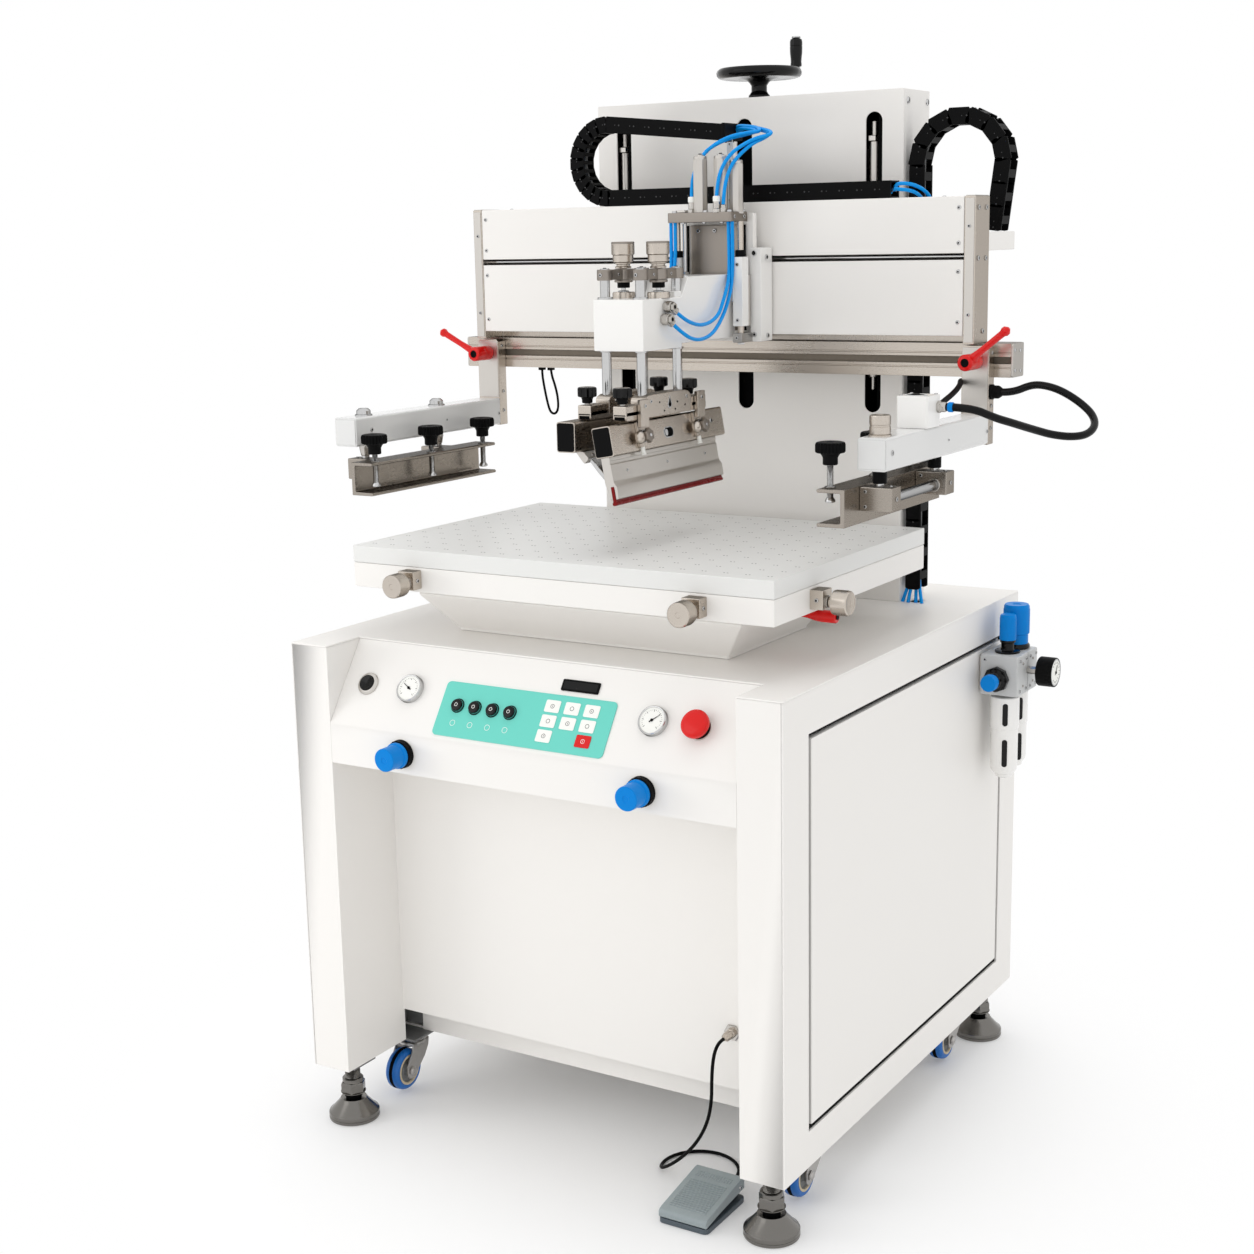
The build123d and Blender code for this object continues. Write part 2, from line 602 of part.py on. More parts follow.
def handwheel():
    centre = Pos(0, GUIDE_Y, 0)
    wheel = rod_z(HUB_R, 0, GUIDE_Y, HUB_BOTTOM, HUB_TOP)
    for k in range(3):
        spoke = Pos(RIM_R / 2, 0, RIM_Z) * Rot(0, 90, 0) * Cylinder(5.5, RIM_R - 4)
        wheel += centre * Rot(0, 0, 90 + 120 * k) * spoke
    wheel += centre * Pos(0, 0, RIM_Z) * rim()
    gx, gy = grip_place()
    wheel += rod_z(SPINDLE_R, gx, gy, RIM_Z, RIM_Z + 10 + GRIP_LENGTH)
    wheel += rod_z(6.5, gx, gy, RIM_Z, RIM_Z + 9)
    wheel += rod_z(7, gx, gy, RIM_Z + 10 + GRIP_LENGTH, RIM_Z + 13 + GRIP_LENGTH)
    wheel -= rod_z(SCREW_R, 0, GUIDE_Y, HUB_BOTTOM, HUB_BOTTOM + 25)
    screw = rod_z(SCREW_R, 0, GUIDE_Y, SCREW_BOTTOM, HUB_BOTTOM + 25)
    return [wheel, screw]


def crank_grip():
    gx, gy = grip_place()
    z0 = RIM_Z + 9 + SLIDING
    sleeve = rod_z(GRIP_R, gx, gy, z0, RIM_Z + 10 + GRIP_LENGTH - SLIDING)
    sleeve = fillet(sleeve.edges().filter_by(GeomType.CIRCLE), 3)
    return sleeve - rod_z(SPINDLE_R + RUNNING, gx, gy, z0, RIM_Z + 20 + GRIP_LENGTH)


def height_carriage():
    bar = block(-250, 250, GUIDE_Y - 25, GUIDE_Y + 25, CROSSBAR_Z, CROSSBAR_Z + CROSSBAR)
    for s in (-1, 1):
        bar -= rod_z(GUIDE_ROD_R + RUNNING, s * SLOT_PITCH, GUIDE_Y, CROSSBAR_Z, CROSSBAR_Z + CROSSBAR)
    bar -= rod_z(SCREW_R + RUNNING, 0, GUIDE_Y, CROSSBAR_Z, CROSSBAR_Z + CROSSBAR)
    barrel = rod_z(BARREL_R, CYLINDER_X, GUIDE_Y, BARREL_BOTTOM, CROSSBAR_Z)
    barrel -= rod_z(BARREL_BORE_R, CYLINDER_X, GUIDE_Y, BARREL_BOTTOM + 10, CROSSBAR_Z - 6)
    barrel -= rod_z(PISTON_ROD_R + RUNNING, CYLINDER_X, GUIDE_Y, BARREL_BOTTOM, BARREL_BOTTOM + 10)
    return [bar, barrel]


# ---------------------------------------------------------------- print head
SLIDE_BLOCK_Z = 1210.0
SLIDE_BLOCK_TOP = 1370.0
TAB_HALF = 10.0
TRAVERSE_Y = 146.0
LOW_ROD_Z = 1197.0
HIGH_ROD_Z = (COVER_SPLIT_LOW + COVER_SPLIT_HIGH) / 2
TRAVERSE_R = 8.0
DRIVE_Z = 1247.0
DRIVE_R = 15.0
LIFT_LEG_X = 291.0
LIFT_CHAIN_Y = 270.0
LIFT_ARC_Z = 1433.0
CHAIN_BRACKET_Z = 1305.0
CHAIN_BRACKET = 26.0


def head_frame():
    frame = block(-END_X, END_X, HEAD_BACK_Y - 5, HEAD_BACK_Y, RAIL_TOP, HEAD_TOP)
    for s in (-1, 1):
        frame += block(s * END_X, s * (END_X + END_PLATE), HEAD_FRONT_Y, HEAD_BACK_Y, RAIL_TOP, HEAD_TOP)
    slide = block(-SLOT_PITCH + 25, SLOT_PITCH - 25, GUIDE_Y - 15, GUIDE_Y + 15, SLIDE_BLOCK_Z, SLIDE_BLOCK_Z + 25)
    for s in (-1, 1):
        x = s * SLOT_PITCH
        slide += block(x - 25, x + 25, GUIDE_Y - 25, GUIDE_Y + 25, SLIDE_BLOCK_Z, SLIDE_BLOCK_TOP)
        slide += block(x - TAB_HALF, x + TAB_HALF, HEAD_BACK_Y, GUIDE_Y - 25, SLIDE_BLOCK_Z, SLIDE_BLOCK_TOP)
        slide -= rod_z(GUIDE_ROD_R + RUNNING, x, GUIDE_Y, SLIDE_BLOCK_Z, SLIDE_BLOCK_TOP)
    piston = rod_z(PISTON_ROD_R, CYLINDER_X, GUIDE_Y, SLIDE_BLOCK_Z + 25, CROSSBAR_Z - 20)
    piston += rod_z(BARREL_BORE_R - RUNNING, CYLINDER_X, GUIDE_Y, CROSSBAR_Z - 22, CROSSBAR_Z - 10)
    leg = LIFT_LEG_X + 2 * LIFT_BEND_R
    bracket = block(
        leg - 28, leg + 8, HEAD_BACK_Y, LIFT_CHAIN_Y + 20, CHAIN_BRACKET_Z, CHAIN_BRACKET_Z + CHAIN_BRACKET
    )
    return [frame, slide, piston, bracket]


def head_covers():
    y0, y1 = HEAD_FRONT_Y, HEAD_FRONT_Y + SHEET
    low = block(-COVER_HALF, COVER_HALF, y0, y1, COVER_BOTTOM, COVER_SPLIT_LOW)
    high = block(-COVER_HALF, COVER_HALF, y0, y1, COVER_SPLIT_HIGH, HEAD_TOP)
    high += block(-COVER_HALF, COVER_HALF, y1, HEAD_BACK_Y - 5 - SEAM, HEAD_TOP - SHEET, HEAD_TOP)
    return [low, high]


def traverse_guides():
    low = rod_x(TRAVERSE_R, TRAVERSE_Y, LOW_ROD_Z, -END_X, END_X)
    high = rod_x(TRAVERSE_R, TRAVERSE_Y, HIGH_ROD_Z, -END_X, END_X)
    drive = rod_x(DRIVE_R, TRAVERSE_Y, DRIVE_Z, -END_X, END_X)
    return [low, high, drive]


def clamp_rail():
    y0, y1 = RAIL_FRONT_Y, RAIL_FRONT_Y + RAIL_DEPTH
    bar = block(-RAIL_HALF, RAIL_HALF, y0, y1, RAIL_BOTTOM, RAIL_TOP)
    half, wide = TSLOT_OPENING / 2, TSLOT_WIDTH / 2
    bar -= block(-RAIL_HALF, RAIL_HALF, y0, y0 + TSLOT_LIP, TSLOT_Z - half, TSLOT_Z + half)
    bar -= block(-RAIL_HALF, RAIL_HALF, y0 + TSLOT_LIP, y0 + TSLOT_DEPTH, TSLOT_Z - wide, TSLOT_Z + wide)
    caps = both_sides(
        lambda s: block(s * RAIL_HALF, s * (RAIL_HALF + 3), y0, y1, RAIL_BOTTOM, RAIL_TOP)
    )
    clips = [
        block(x - 6, x + 6, SENSOR_Y - 8, SENSOR_Y + 8, RAIL_BOTTOM - 6, RAIL_BOTTOM) for x in SENSOR_XS
    ]
    return [bar] + caps + clips


# ---------------------------------------------------------------- energy chains
CHAIN_BASE = HEAD_TOP + SEAM
TRAVERSE_CHAIN_Y = 141.0
TRAVERSE_BEND_X = -180.0
TRAVERSE_FIXED_X = 305.0
TRAVERSE_MOVING_X = 40.0


def half_ring(x, y, z, bend_r, start_angle):
    outer = bend_r + CHAIN_HEIGHT / 2
    inner = bend_r - CHAIN_HEIGHT / 2
    ring = Cylinder(outer, CHAIN_WIDTH) - Cylinder(inner, CHAIN_WIDTH)
    ring &= Pos(outer, 0, 0) * Box(2 * outer, 2 * outer, CHAIN_WIDTH)
    return Pos(x, y, z) * Rot(0, start_angle, 0) * Rot(90, 0, 0) * ring


def traverse_chain():
    y0, y1 = TRAVERSE_CHAIN_Y - CHAIN_WIDTH / 2, TRAVERSE_CHAIN_Y + CHAIN_WIDTH / 2
    top = CHAIN_BASE + CHAIN_HEIGHT + 2 * TRAVERSE_BEND_R
    low = block(TRAVERSE_BEND_X, TRAVERSE_FIXED_X, y0, y1, CHAIN_BASE, CHAIN_BASE + CHAIN_HEIGHT)
    high = block(TRAVERSE_BEND_X, TRAVERSE_MOVING_X, y0, y1, top - CHAIN_HEIGHT, top)
    mid = (CHAIN_BASE + top) / 2
    return low + high + half_ring(TRAVERSE_BEND_X, TRAVERSE_CHAIN_Y, mid, TRAVERSE_BEND_R, 180)


def lift_cable_chain():
    y0, y1 = LIFT_CHAIN_Y - CHAIN_WIDTH / 2, LIFT_CHAIN_Y + CHAIN_WIDTH / 2
    half = CHAIN_HEIGHT / 2
    x1 = LIFT_LEG_X
    x2 = x1 + 2 * LIFT_BEND_R
    fixed = block(x1 - half, x1 + half, y0, y1, CABINET_TOP + SEAM, LIFT_ARC_Z)
    moving = block(x2 - half, x2 + half, y0, y1, CHAIN_BRACKET_Z + CHAIN_BRACKET + SEAM, LIFT_ARC_Z)
    return fixed + moving + half_ring((x1 + x2) / 2, LIFT_CHAIN_Y, LIFT_ARC_Z, LIFT_BEND_R, -90)


# ---------------------------------------------------------------- carriage
PLATE_Y = 90.0
PLATE_T = 12.0
PLATE_HALF = 60.0
TOP_PLATE_Z = 1349.0
TOP_PLATE = 16.0
CARRIAGE_BOTTOM = 1176.0
CARRIAGE_TOP = 1366.0
PISTON_XS = (30.0, 75.0)
PISTON_Y = 52.0
LIFTER_R = 10.0
LIFTER_ROD_R = 3.5
LIFTER_TOP = 1447.0
UNIT_LIFT = 40.0


def print_carriage():
    cx = CARRIAGE_X
    y0, y1 = PLATE_Y, PLATE_Y + PLATE_T
    plate = block(cx - PLATE_HALF, cx + PLATE_HALF, y0, y1, CARRIAGE_BOTTOM, CARRIAGE_TOP)
    liner = block(cx - 44, cx + 44, y0 - 6, y0, 1192, TOP_PLATE_Z)
    top = block(cx - 57, cx + 57, SLIDE_Y - 22, y0, TOP_PLATE_Z, TOP_PLATE_Z + TOP_PLATE)
    for x in PISTON_XS:
        top -= rod_z(LIFTER_ROD_R + SLIDING, x, PISTON_Y, TOP_PLATE_Z, TOP_PLATE_Z + TOP_PLATE)
    pieces = [plate, liner, top]
    for s in (-1, 1):
        x = cx + s * SLIDE_PITCH
        pieces.append(block(x - 8, x + 8, SLIDE_Y - 12, y0, CARRIAGE_BOTTOM, 1190))
        pieces.append(rod_z(SLIDE_R, x, SLIDE_Y, 1190, TOP_PLATE_Z))
    z0 = TOP_PLATE_Z + TOP_PLATE
    for x in PISTON_XS:
        lifter = rod_z(LIFTER_R, x, PISTON_Y, z0, LIFTER_TOP)
        pieces.append(lifter - rod_z(LIFTER_ROD_R + SLIDING, x, PISTON_Y, z0, z0 + UNIT_LIFT + 12))
    pieces.append(rod_z(LIFTER_R, 54, PISTON_Y + 20, z0, LIFTER_TOP))
    side_x = cx + PLATE_HALF
    pieces.append(block(side_x, side_x + 19, y0 - 11, HEAD_FRONT_Y - 3, CARRIAGE_BOTTOM, 1315))
    inner_y = HEAD_FRONT_Y + SHEET + 2.5
    truck = block(cx - 35, cx + 35, inner_y, inner_y + 5, CARRIAGE_BOTTOM, HIGH_ROD_Z + 18)
    truck += block(cx - 35, cx + 35, y1, inner_y, CARRIAGE_BOTTOM, CARRIAGE_BOTTOM + 6)
    truck += block(cx - 35, cx + 35, y1, inner_y, HIGH_ROD_Z - 2.5, HIGH_ROD_Z + 2.5)
    for z, r, h in ((LOW_ROD_Z, TRAVERSE_R, 16), (HIGH_ROD_Z, TRAVERSE_R, 18), (DRIVE_Z, DRIVE_R, 20)):
        truck += block(cx - 35, cx + 35, inner_y, TRAVERSE_Y + 18, z - h, z + h)
    for z, r in ((LOW_ROD_Z, TRAVERSE_R), (HIGH_ROD_Z, TRAVERSE_R), (DRIVE_Z, DRIVE_R)):
        truck -= rod_x(r + RUNNING, TRAVERSE_Y, z, cx - 36, cx + 36)
    chain_z = CHAIN_BASE + 2 * TRAVERSE_BEND_R
    x0 = TRAVERSE_MOVING_X + SEAM
    bracket = block(x0 + 4, x0 + 32, y1 - 6, y1, CARRIAGE_TOP, chain_z + CHAIN_HEIGHT)
    bracket += block(
        x0, x0 + 10, y1 - 6, TRAVERSE_CHAIN_Y + CHAIN_WIDTH / 2, chain_z, chain_z + CHAIN_HEIGHT
    )
    return pieces + [truck, bracket]


# ---------------------------------------------------------------- squeegee unit
def unit_outline(wall):
    s = UNIT_STEP_Y
    return [
        (UNIT_FRONT_Y + wall, UNIT_BOTTOM + wall),
        (s - wall * 0, UNIT_BOTTOM + wall),
        (s - wall * 0, UNIT_BOTTOM + 6 + wall),
        (UNIT_BACK_Y - wall, UNIT_BOTTOM + 6 + wall),
        (UNIT_BACK_Y - wall, UNIT_BACK_TOP - wall),
        (s + 20, UNIT_BACK_TOP - wall),
        (s, UNIT_TOP - wall),
        (UNIT_FRONT_Y + wall, UNIT_TOP - wall),
    ]


def unit_housing():
    cx = CARRIAGE_X
    case = prism_x(unit_outline(0), cx - UNIT_HALF, cx + UNIT_HALF)
    case -= prism_x(unit_outline(UNIT_WALL), cx - UNIT_HALF + UNIT_WALL, cx + UNIT_HALF - UNIT_WALL)
    for x in (FLOOD_X, SQUEEGEE_X):
        for y in (ROD_FRONT_Y, ROD_BACK_Y):
            case += rod_z(ROD_R + 3.5, x, y, UNIT_BOTTOM + 6, UNIT_TOP)
            case -= rod_z(ROD_R + RUNNING, x, y, UNIT_BOTTOM - 1, UNIT_BACK_TOP)
        case += rod_z(15, x, ROD_MID_Y, UNIT_TOP - UNIT_WALL, UNIT_TOP + 14)
    pieces = [case]
    plate_y = UNIT_BACK_Y
    back = block(cx - 60, cx + 60, plate_y, plate_y + 7, 1200, 1275)
    pieces.append(back)
    for s in (-1, 1):
        x = cx + s * SLIDE_PITCH
        bearing = block(x - 8, x + 8, SLIDE_Y - 10, plate_y, 1200, 1302)
        pieces.append(bearing - rod_z(SLIDE_R + RUNNING, x, SLIDE_Y, 1200, 1302))
    for x in PISTON_XS:
        pieces.append(rod_z(LIFTER_ROD_R, x, PISTON_Y, UNIT_BACK_TOP, TOP_PLATE_Z + TOP_PLATE + 4))
    return pieces


CROSSBAR_LOW = 1084.5
CROSSBAR_TOP = 1116.0
FLANGE_TOP = 1097.0
KNOB_YS = (-235.0, -44.0)
TUBE_SIZE = (30.0, 42.5)
STROKE_SCREW_R = 5.0


def tool_guide(x):
    pieces = []
    yoke = block(x - 8, x + 8, ROD_FRONT_Y, ROD_BACK_Y, YOKE_Z, YOKE_Z + 15)
    for y in (ROD_FRONT_Y, ROD_BACK_Y):
        yoke += rod_z(11, x, y, YOKE_Z, YOKE_Z + 15)
        yoke -= rod_z(ROD_R, x, y, YOKE_Z, YOKE_Z + 15)
        pieces.append(rod_z(ROD_R, x, y, CROSSBAR_TOP, YOKE_Z + 17))
    yoke += rod_z(13, x, ROD_MID_Y, YOKE_Z, YOKE_Z + 15)
    yoke -= rod_z(STROKE_SCREW_R + RUNNING, x, ROD_MID_Y, YOKE_Z, YOKE_Z + 15)
    bar = block(x - 10, x + 13, ROD_FRONT_Y - 16, ROD_BACK_Y + 16, CROSSBAR_LOW, CROSSBAR_TOP)
    bar += block(x - 10, x + 13, KNOB_YS[0] - 17, KNOB_YS[1] + 17, CROSSBAR_LOW, FLANGE_TOP)
    bar -= rod_x(5, ROD_MID_Y + 4, 1104, x + 5, x + 14)
    pieces += [yoke, bar]
    for y in KNOB_YS:
        knob = rod_z(4, x, y, FLANGE_TOP, FLANGE_TOP + 9) + rod_z(8, x, y, FLANGE_TOP + 9, FLANGE_TOP + 16)
        pieces.append(knob + rod_z(13, x, y, FLANGE_TOP + 16, FLANGE_TOP + 29))
    return pieces


def stroke_knob(x):
    top = YOKE_Z + 15 + SLIDING
    knob = rod_z(13.5, x, ROD_MID_Y, top, top + 5) + rod_z(16.5, x, ROD_MID_Y, top + 5, top + 38)
    knob += rod_z(STROKE_SCREW_R, x, ROD_MID_Y, YOKE_Z - 3, top)
    return knob + rod_z(11, x, ROD_MID_Y, YOKE_Z - 16, YOKE_Z - 3)


def squeegee_holder():
    # the tube, holder and blade lean about the tube's centre line
    cx, cz = 62.3, 1058.5
    y0 = ROD_MID_Y - SQUEEGEE_LENGTH / 2
    y1 = ROD_MID_Y + SQUEEGEE_LENGTH / 2
    w, h = TUBE_SIZE
    tube = block(-w / 2, w / 2, y0, y1 + 17, -h / 2, h / 2)
    tube -= block(-w / 2 + 2.5, w / 2 - 2.5, y0, y1 + 17, -h / 2 + 2.5, h / 2 - 2.5)
    plugs = [
        block(-w / 2 + 2.5, w / 2 - 2.5, y, y + 4, -h / 2 + 2.5, h / 2 - 2.5) for y in (y0 + 1, y1 + 12)
    ]
    holder = prism_y([(-7, -21.25), (7, -21.25), (7, -58), (11, -64), (11, -80), (-3, -80), (-7, -58)], y0, y1)
    slot = block(-0.5, 8.5, y0, y1, -81, -62)
    blade = block(-0.5, 8.5, y0 - 1, y1 + 1, -88.5, -62)
    blade = chamfer(blade.edges().filter_by(Axis.Y).sort_by(Axis.Z)[:2], 3)
    straps = []
    for y in (-212.0, -52.0):
        strap = block(w / 2, w / 2 + 5, y - 10, y + 10, -12, h / 2 + 1.5)
        strap += block(-w / 2, w / 2, y - 10, y + 10, h / 2, h / 2 + 1.5)
        strap += rod_x(7, y, -4, w / 2 + 5, w / 2 + 14)
        straps.append(strap)
    lean = Pos(cx, 0, cz) * Rot(0, -SQUEEGEE_TILT, 0)
    return [lean * piece for piece in [tube, holder - slot, blade] + plugs + straps]


def flood_holder():
    cx, cz = 0.0, CROSSBAR_LOW - SEAM - TUBE_SIZE[1] / 2
    y0, y1 = ROD_MID_Y - 147, ROD_MID_Y + 147
    w, h = TUBE_SIZE
    tube = block(-w / 2, w / 2, y0, y1, -h / 2, h / 2)
    tube -= block(-w / 2 + 2.5, w / 2 - 2.5, y0, y1, -h / 2 + 2.5, h / 2 - 2.5)
    plugs = [block(-w / 2 + 2.5, w / 2 - 2.5, y, y + 4, -h / 2 + 2.5, h / 2 - 2.5) for y in (y0 + 1, y1 - 5)]
    jaw = prism_y([(2, -21.25), (15, -21.25), (24, -30), (16, -38)], y0 + 20, y1 - 20)
    blade = prism_y([(17.5, -29.5), (20, -27), (57, -64), (55.5, -67)], y0 + 26, y1 - 26)
    return [Pos(cx, 0, cz) * piece for piece in [tube, jaw - blade, blade] + plugs]


# ---------------------------------------------------------------- arms, levers, frame clamps
HUB_LENGTH = 42.0
STUD_R = 4.0


def arm(x, front_y):
    plate_y = RAIL_FRONT_Y - SLIDING - ARM_PLATE
    bar = block(x - ARM_HALF, x + ARM_HALF, front_y, plate_y, ARM_BOTTOM, ARM_TOP)
    bar = fillet(bar.edges().filter_by(Axis.Y), 3)
    plate = block(
        x - ARM_HALF, x + ARM_HALF, plate_y, plate_y + ARM_PLATE, ARM_BOTTOM - 1, RAIL_TOP - 2
    )
    plate -= rod_y(STUD_R, x, TSLOT_Z, plate_y, plate_y + ARM_PLATE)
    nut_y = RAIL_FRONT_Y + TSLOT_LIP + SLIDING
    stud = rod_y(STUD_R, x, TSLOT_Z, plate_y - HUB_LENGTH + 6, nut_y)
    half = TSLOT_WIDTH / 2 - 1
    stud += block(x - 12, x + 12, nut_y, nut_y + 7, TSLOT_Z - half, TSLOT_Z + half)
    return [bar, plate, stud]


def left_arm():
    caps = [rod_z(11, LEFT_ARM_X, y, ARM_TOP, ARM_TOP + 11) for y in POST_YS]
    return arm(LEFT_ARM_X, LEFT_ARM_FRONT_Y) + caps


FITTING_Y = -62.0
FITTING_Z = 1100.0
GLAND_Z = 1104.0


def right_arm():
    x = RIGHT_ARM_X
    knurled = rod_z(14, x, POST_YS[0], ARM_TOP, ARM_TOP + 28)
    cylinder = block(x - 23, x + 23, -98, -52, ARM_TOP, ARM_TOP + 44)
    cylinder -= rod_z(12, x - 4, -75, ARM_TOP + 41, ARM_TOP + 44)
    fitting = rod_x(6.5, FITTING_Y, FITTING_Z, x + 23, x + 36)
    plate_y = RAIL_FRONT_Y - SLIDING - ARM_PLATE / 2
    gland = rod_x(9.5, plate_y, GLAND_Z, x + ARM_HALF, x + ARM_HALF + 16)
    return arm(x, RIGHT_ARM_FRONT_Y) + [knurled, cylinder, fitting, gland]


def clamp_lever(x, angle):
    y1 = RAIL_FRONT_Y - ARM_PLATE - 2 * SLIDING
    y0 = y1 - HUB_LENGTH
    hub = rod_y(12, x, TSLOT_Z, y0, y1) - rod_y(STUD_R + RUNNING, x, TSLOT_Z, y0 + 6, y1)
    start, tip = 8.0, 74.0
    handle = Pos((start + tip) / 2, 0, 0) * Rot(0, 90, 0) * Cylinder(5.5, tip - start)
    handle += Pos(tip, 0, 0) * Sphere(7)
    return hub + Pos(x, y0 + 10, TSLOT_Z) * Rot(0, -angle, 0) * handle


def frame_clamp(arm_x, inward):
    # inward is +1 on the left arm and -1 on the right arm: the channel opens that way
    xc = arm_x + inward * CLAMP_OFFSET
    web = xc - inward * CLAMP_WIDTH / 2
    tip = xc + inward * CLAMP_WIDTH / 2
    y0, y1 = CLAMP_FRONT_Y, CLAMP_FRONT_Y + CLAMP_LENGTH
    channel = block(web, tip, y0, y1, CLAMP_BOTTOM, CLAMP_TOP)
    channel -= block(
        web + inward * CLAMP_WEB, tip, y0, y1, CLAMP_BOTTOM + CLAMP_FLANGE, CLAMP_TOP - CLAMP_FLANGE
    )
    screw_x = tip - inward * 10
    for y in CLAMP_SCREW_YS:
        channel -= rod_z(CLAMP_SCREW_R + SLIDING, screw_x, y, CLAMP_TOP - CLAMP_FLANGE, CLAMP_TOP)
    pieces = [channel]
    outer = web - inward * 46
    for y in POST_YS:
        pieces.append(block(web, outer, y - 15, y + 15, CLAMP_TOP - 33, CLAMP_TOP - 1))
        post = rod_z(6, arm_x, y, CLAMP_TOP - 1, ARM_BOTTOM) + rod_z(9, arm_x, y, CLAMP_TOP + 3, ARM_BOTTOM)
        pieces.append(post)
    shaft_x = web - inward * 29
    pieces.append(rod_y(7, shaft_x, CLAMP_TOP - 19, POST_YS[0] + 15, POST_YS[1] - 15))
    return pieces


def clamp_screws(arm_x, inward, lift):
    screw_x = arm_x + inward * (CLAMP_OFFSET + CLAMP_WIDTH / 2 - 10)
    pieces = []
    for y in CLAMP_SCREW_YS:
        screw = rod_z(CLAMP_SCREW_R, screw_x, y, 976 + lift, 1020 + lift)
        screw += rod_z(7, screw_x, y, 970 + lift, 976 + lift)
        screw += rod_z(10, screw_x, y, 1020 + lift, 1036 + lift)
        screw += rod_z(20, screw_x, y, 1036 + lift, 1050 + lift)
        pieces.append(screw)
    return pieces


# ---------------------------------------------------------------- table
BASE_THICK = 11.0
KNOB_XS = (-238.0, 236.0)
KNOB_Z = 850.0
SIDE_KNOB_Y = -218.0
ADJUST_SHAFT_R = 5.0


def table_pedestal():
    x0, x1 = -PEDESTAL_HALF_X, PEDESTAL_HALF_X
    low = Plane.XY.offset(CABINET_TOP) * Pos(0, (PEDESTAL_FRONT_Y + PEDESTAL_BACK_Y) / 2) * Rectangle(
        x1 - x0, PEDESTAL_BACK_Y - PEDESTAL_FRONT_Y
    )
    high = Plane.XY.offset(PEDESTAL_TOP) * Pos(0, (PEDESTAL_FRONT_Y + PEDESTAL_BACK_Y) / 2) * Rectangle(
        x1 - x0 + 2 * PEDESTAL_TAPER, PEDESTAL_BACK_Y - PEDESTAL_FRONT_Y + 2 * PEDESTAL_TAPER
    )
    skirt = loft(Sketch() + [low, high])
    lever = rod_x(4, -190, 812, PEDESTAL_HALF_X + PEDESTAL_TAPER - 8, 352)
    lever += rod_x(8, -190, 812, 330, 384)
    return [skirt - lever, lever]


def table_base():
    return block(-200, 200, -240, 60, PEDESTAL_TOP + SLIDING, TABLE_UNDER - SLIDING)


def print_table():
    box = block(-TABLE_HALF_X, TABLE_HALF_X, TABLE_FRONT_Y, TABLE_BACK_Y, TABLE_UNDER, PLATE_UNDER)
    box -= block(
        -TABLE_HALF_X + 20, TABLE_HALF_X - 20, TABLE_FRONT_Y + 20, TABLE_BACK_Y - 20, PLATE_UNDER - 24, PLATE_UNDER
    )
    pieces = [box]
    for x in KNOB_XS:
        ear = block(x - 14, x + 14, TABLE_FRONT_Y - 20, TABLE_FRONT_Y, KNOB_Z - 12, KNOB_Z + 12)
        pieces.append(ear - rod_y(ADJUST_SHAFT_R + RUNNING, x, KNOB_Z, TABLE_FRONT_Y - 20, TABLE_FRONT_Y))
    y = SIDE_KNOB_Y
    ear = block(TABLE_HALF_X, TABLE_HALF_X + 20, y - 14, y + 14, KNOB_Z - 12, KNOB_Z + 12)
    pieces.append(ear - rod_x(ADJUST_SHAFT_R + RUNNING, y, KNOB_Z, TABLE_HALF_X, TABLE_HALF_X + 20))
    return pieces


def adjust_knob():
    # the knob turns about local +Z, which leaves the table
    return raised(ADJUST_SHAFT_R, 0.5, 30) + raised(15.5, 30, 54)


# ---------------------------------------------------------------- feet, castors, pedal
def levelling_feet():
    pieces = []
    for x, y in foot_places():
        pad = rod_z(FOOT_PAD_R, x, y, 0, 13) + Pos(x, y, 23) * Cone(FOOT_PAD_R, 20, 20)
        stud = rod_z(FOOT_STUD_R, x, y, 33, FRAME_Z0 - 0.5)
        nut = Pos(x, y, 42) * extrude(RegularPolygon(19.6, 6), 24)
        pieces.append(pad)
        pieces.append(stud + nut)
    return pieces


WHEEL_Z = WHEEL_LIFT + WHEEL_R
FORK_TOP = CABINET_BOTTOM - CASTOR_PLATE_THICK - SWIVEL_BOSS - SLIDING
AXLE_R = 5.0


def castor_fork(x, y):
    wheel_y = y - CASTOR_TRAIL
    crown = rod_z(22, x, y, FORK_TOP - 4, FORK_TOP)
    outline = [
        (y - 20, FORK_TOP - 4),
        (y + 20, FORK_TOP - 4),
        (y + 18, FORK_TOP - 14),
        (wheel_y + 12, WHEEL_Z - 8),
        (wheel_y, WHEEL_Z - 14),
        (wheel_y - 12, WHEEL_Z - 8),
        (wheel_y - 12, WHEEL_Z + 10),
    ]
    half = WHEEL_WIDTH / 2 + 3
    fork = crown
    for s in (-1, 1):
        fork += prism_x(outline, x + s * half, x + s * (half + 3))
        fork += rod_x(8, wheel_y, WHEEL_Z, x + s * (half + 3), x + s * (half + 6))
    fork += block(x - half - 3, x + half + 3, y - 20, y + 20, FORK_TOP - 4, FORK_TOP)
    return fork + rod_x(AXLE_R, wheel_y, WHEEL_Z, x - half, x + half)


def castor_wheel(x, y):
    wheel_y = y - CASTOR_TRAIL
    half = WHEEL_WIDTH / 2
    tread = rod_x(WHEEL_R, wheel_y, WHEEL_Z, x - half, x + half)
    tread = fillet(tread.edges().filter_by(GeomType.CIRCLE), 7)
    hub = rod_x(WHEEL_R - 9, wheel_y, WHEEL_Z, x - half, x + half)
    bore = rod_x(AXLE_R + RUNNING, wheel_y, WHEEL_Z, x - half - 3, x + half + 3)
    boss = rod_x(10, wheel_y, WHEEL_Z, x - half - 2, x + half + 2)
    return [tread - hub, hub + boss - bore]


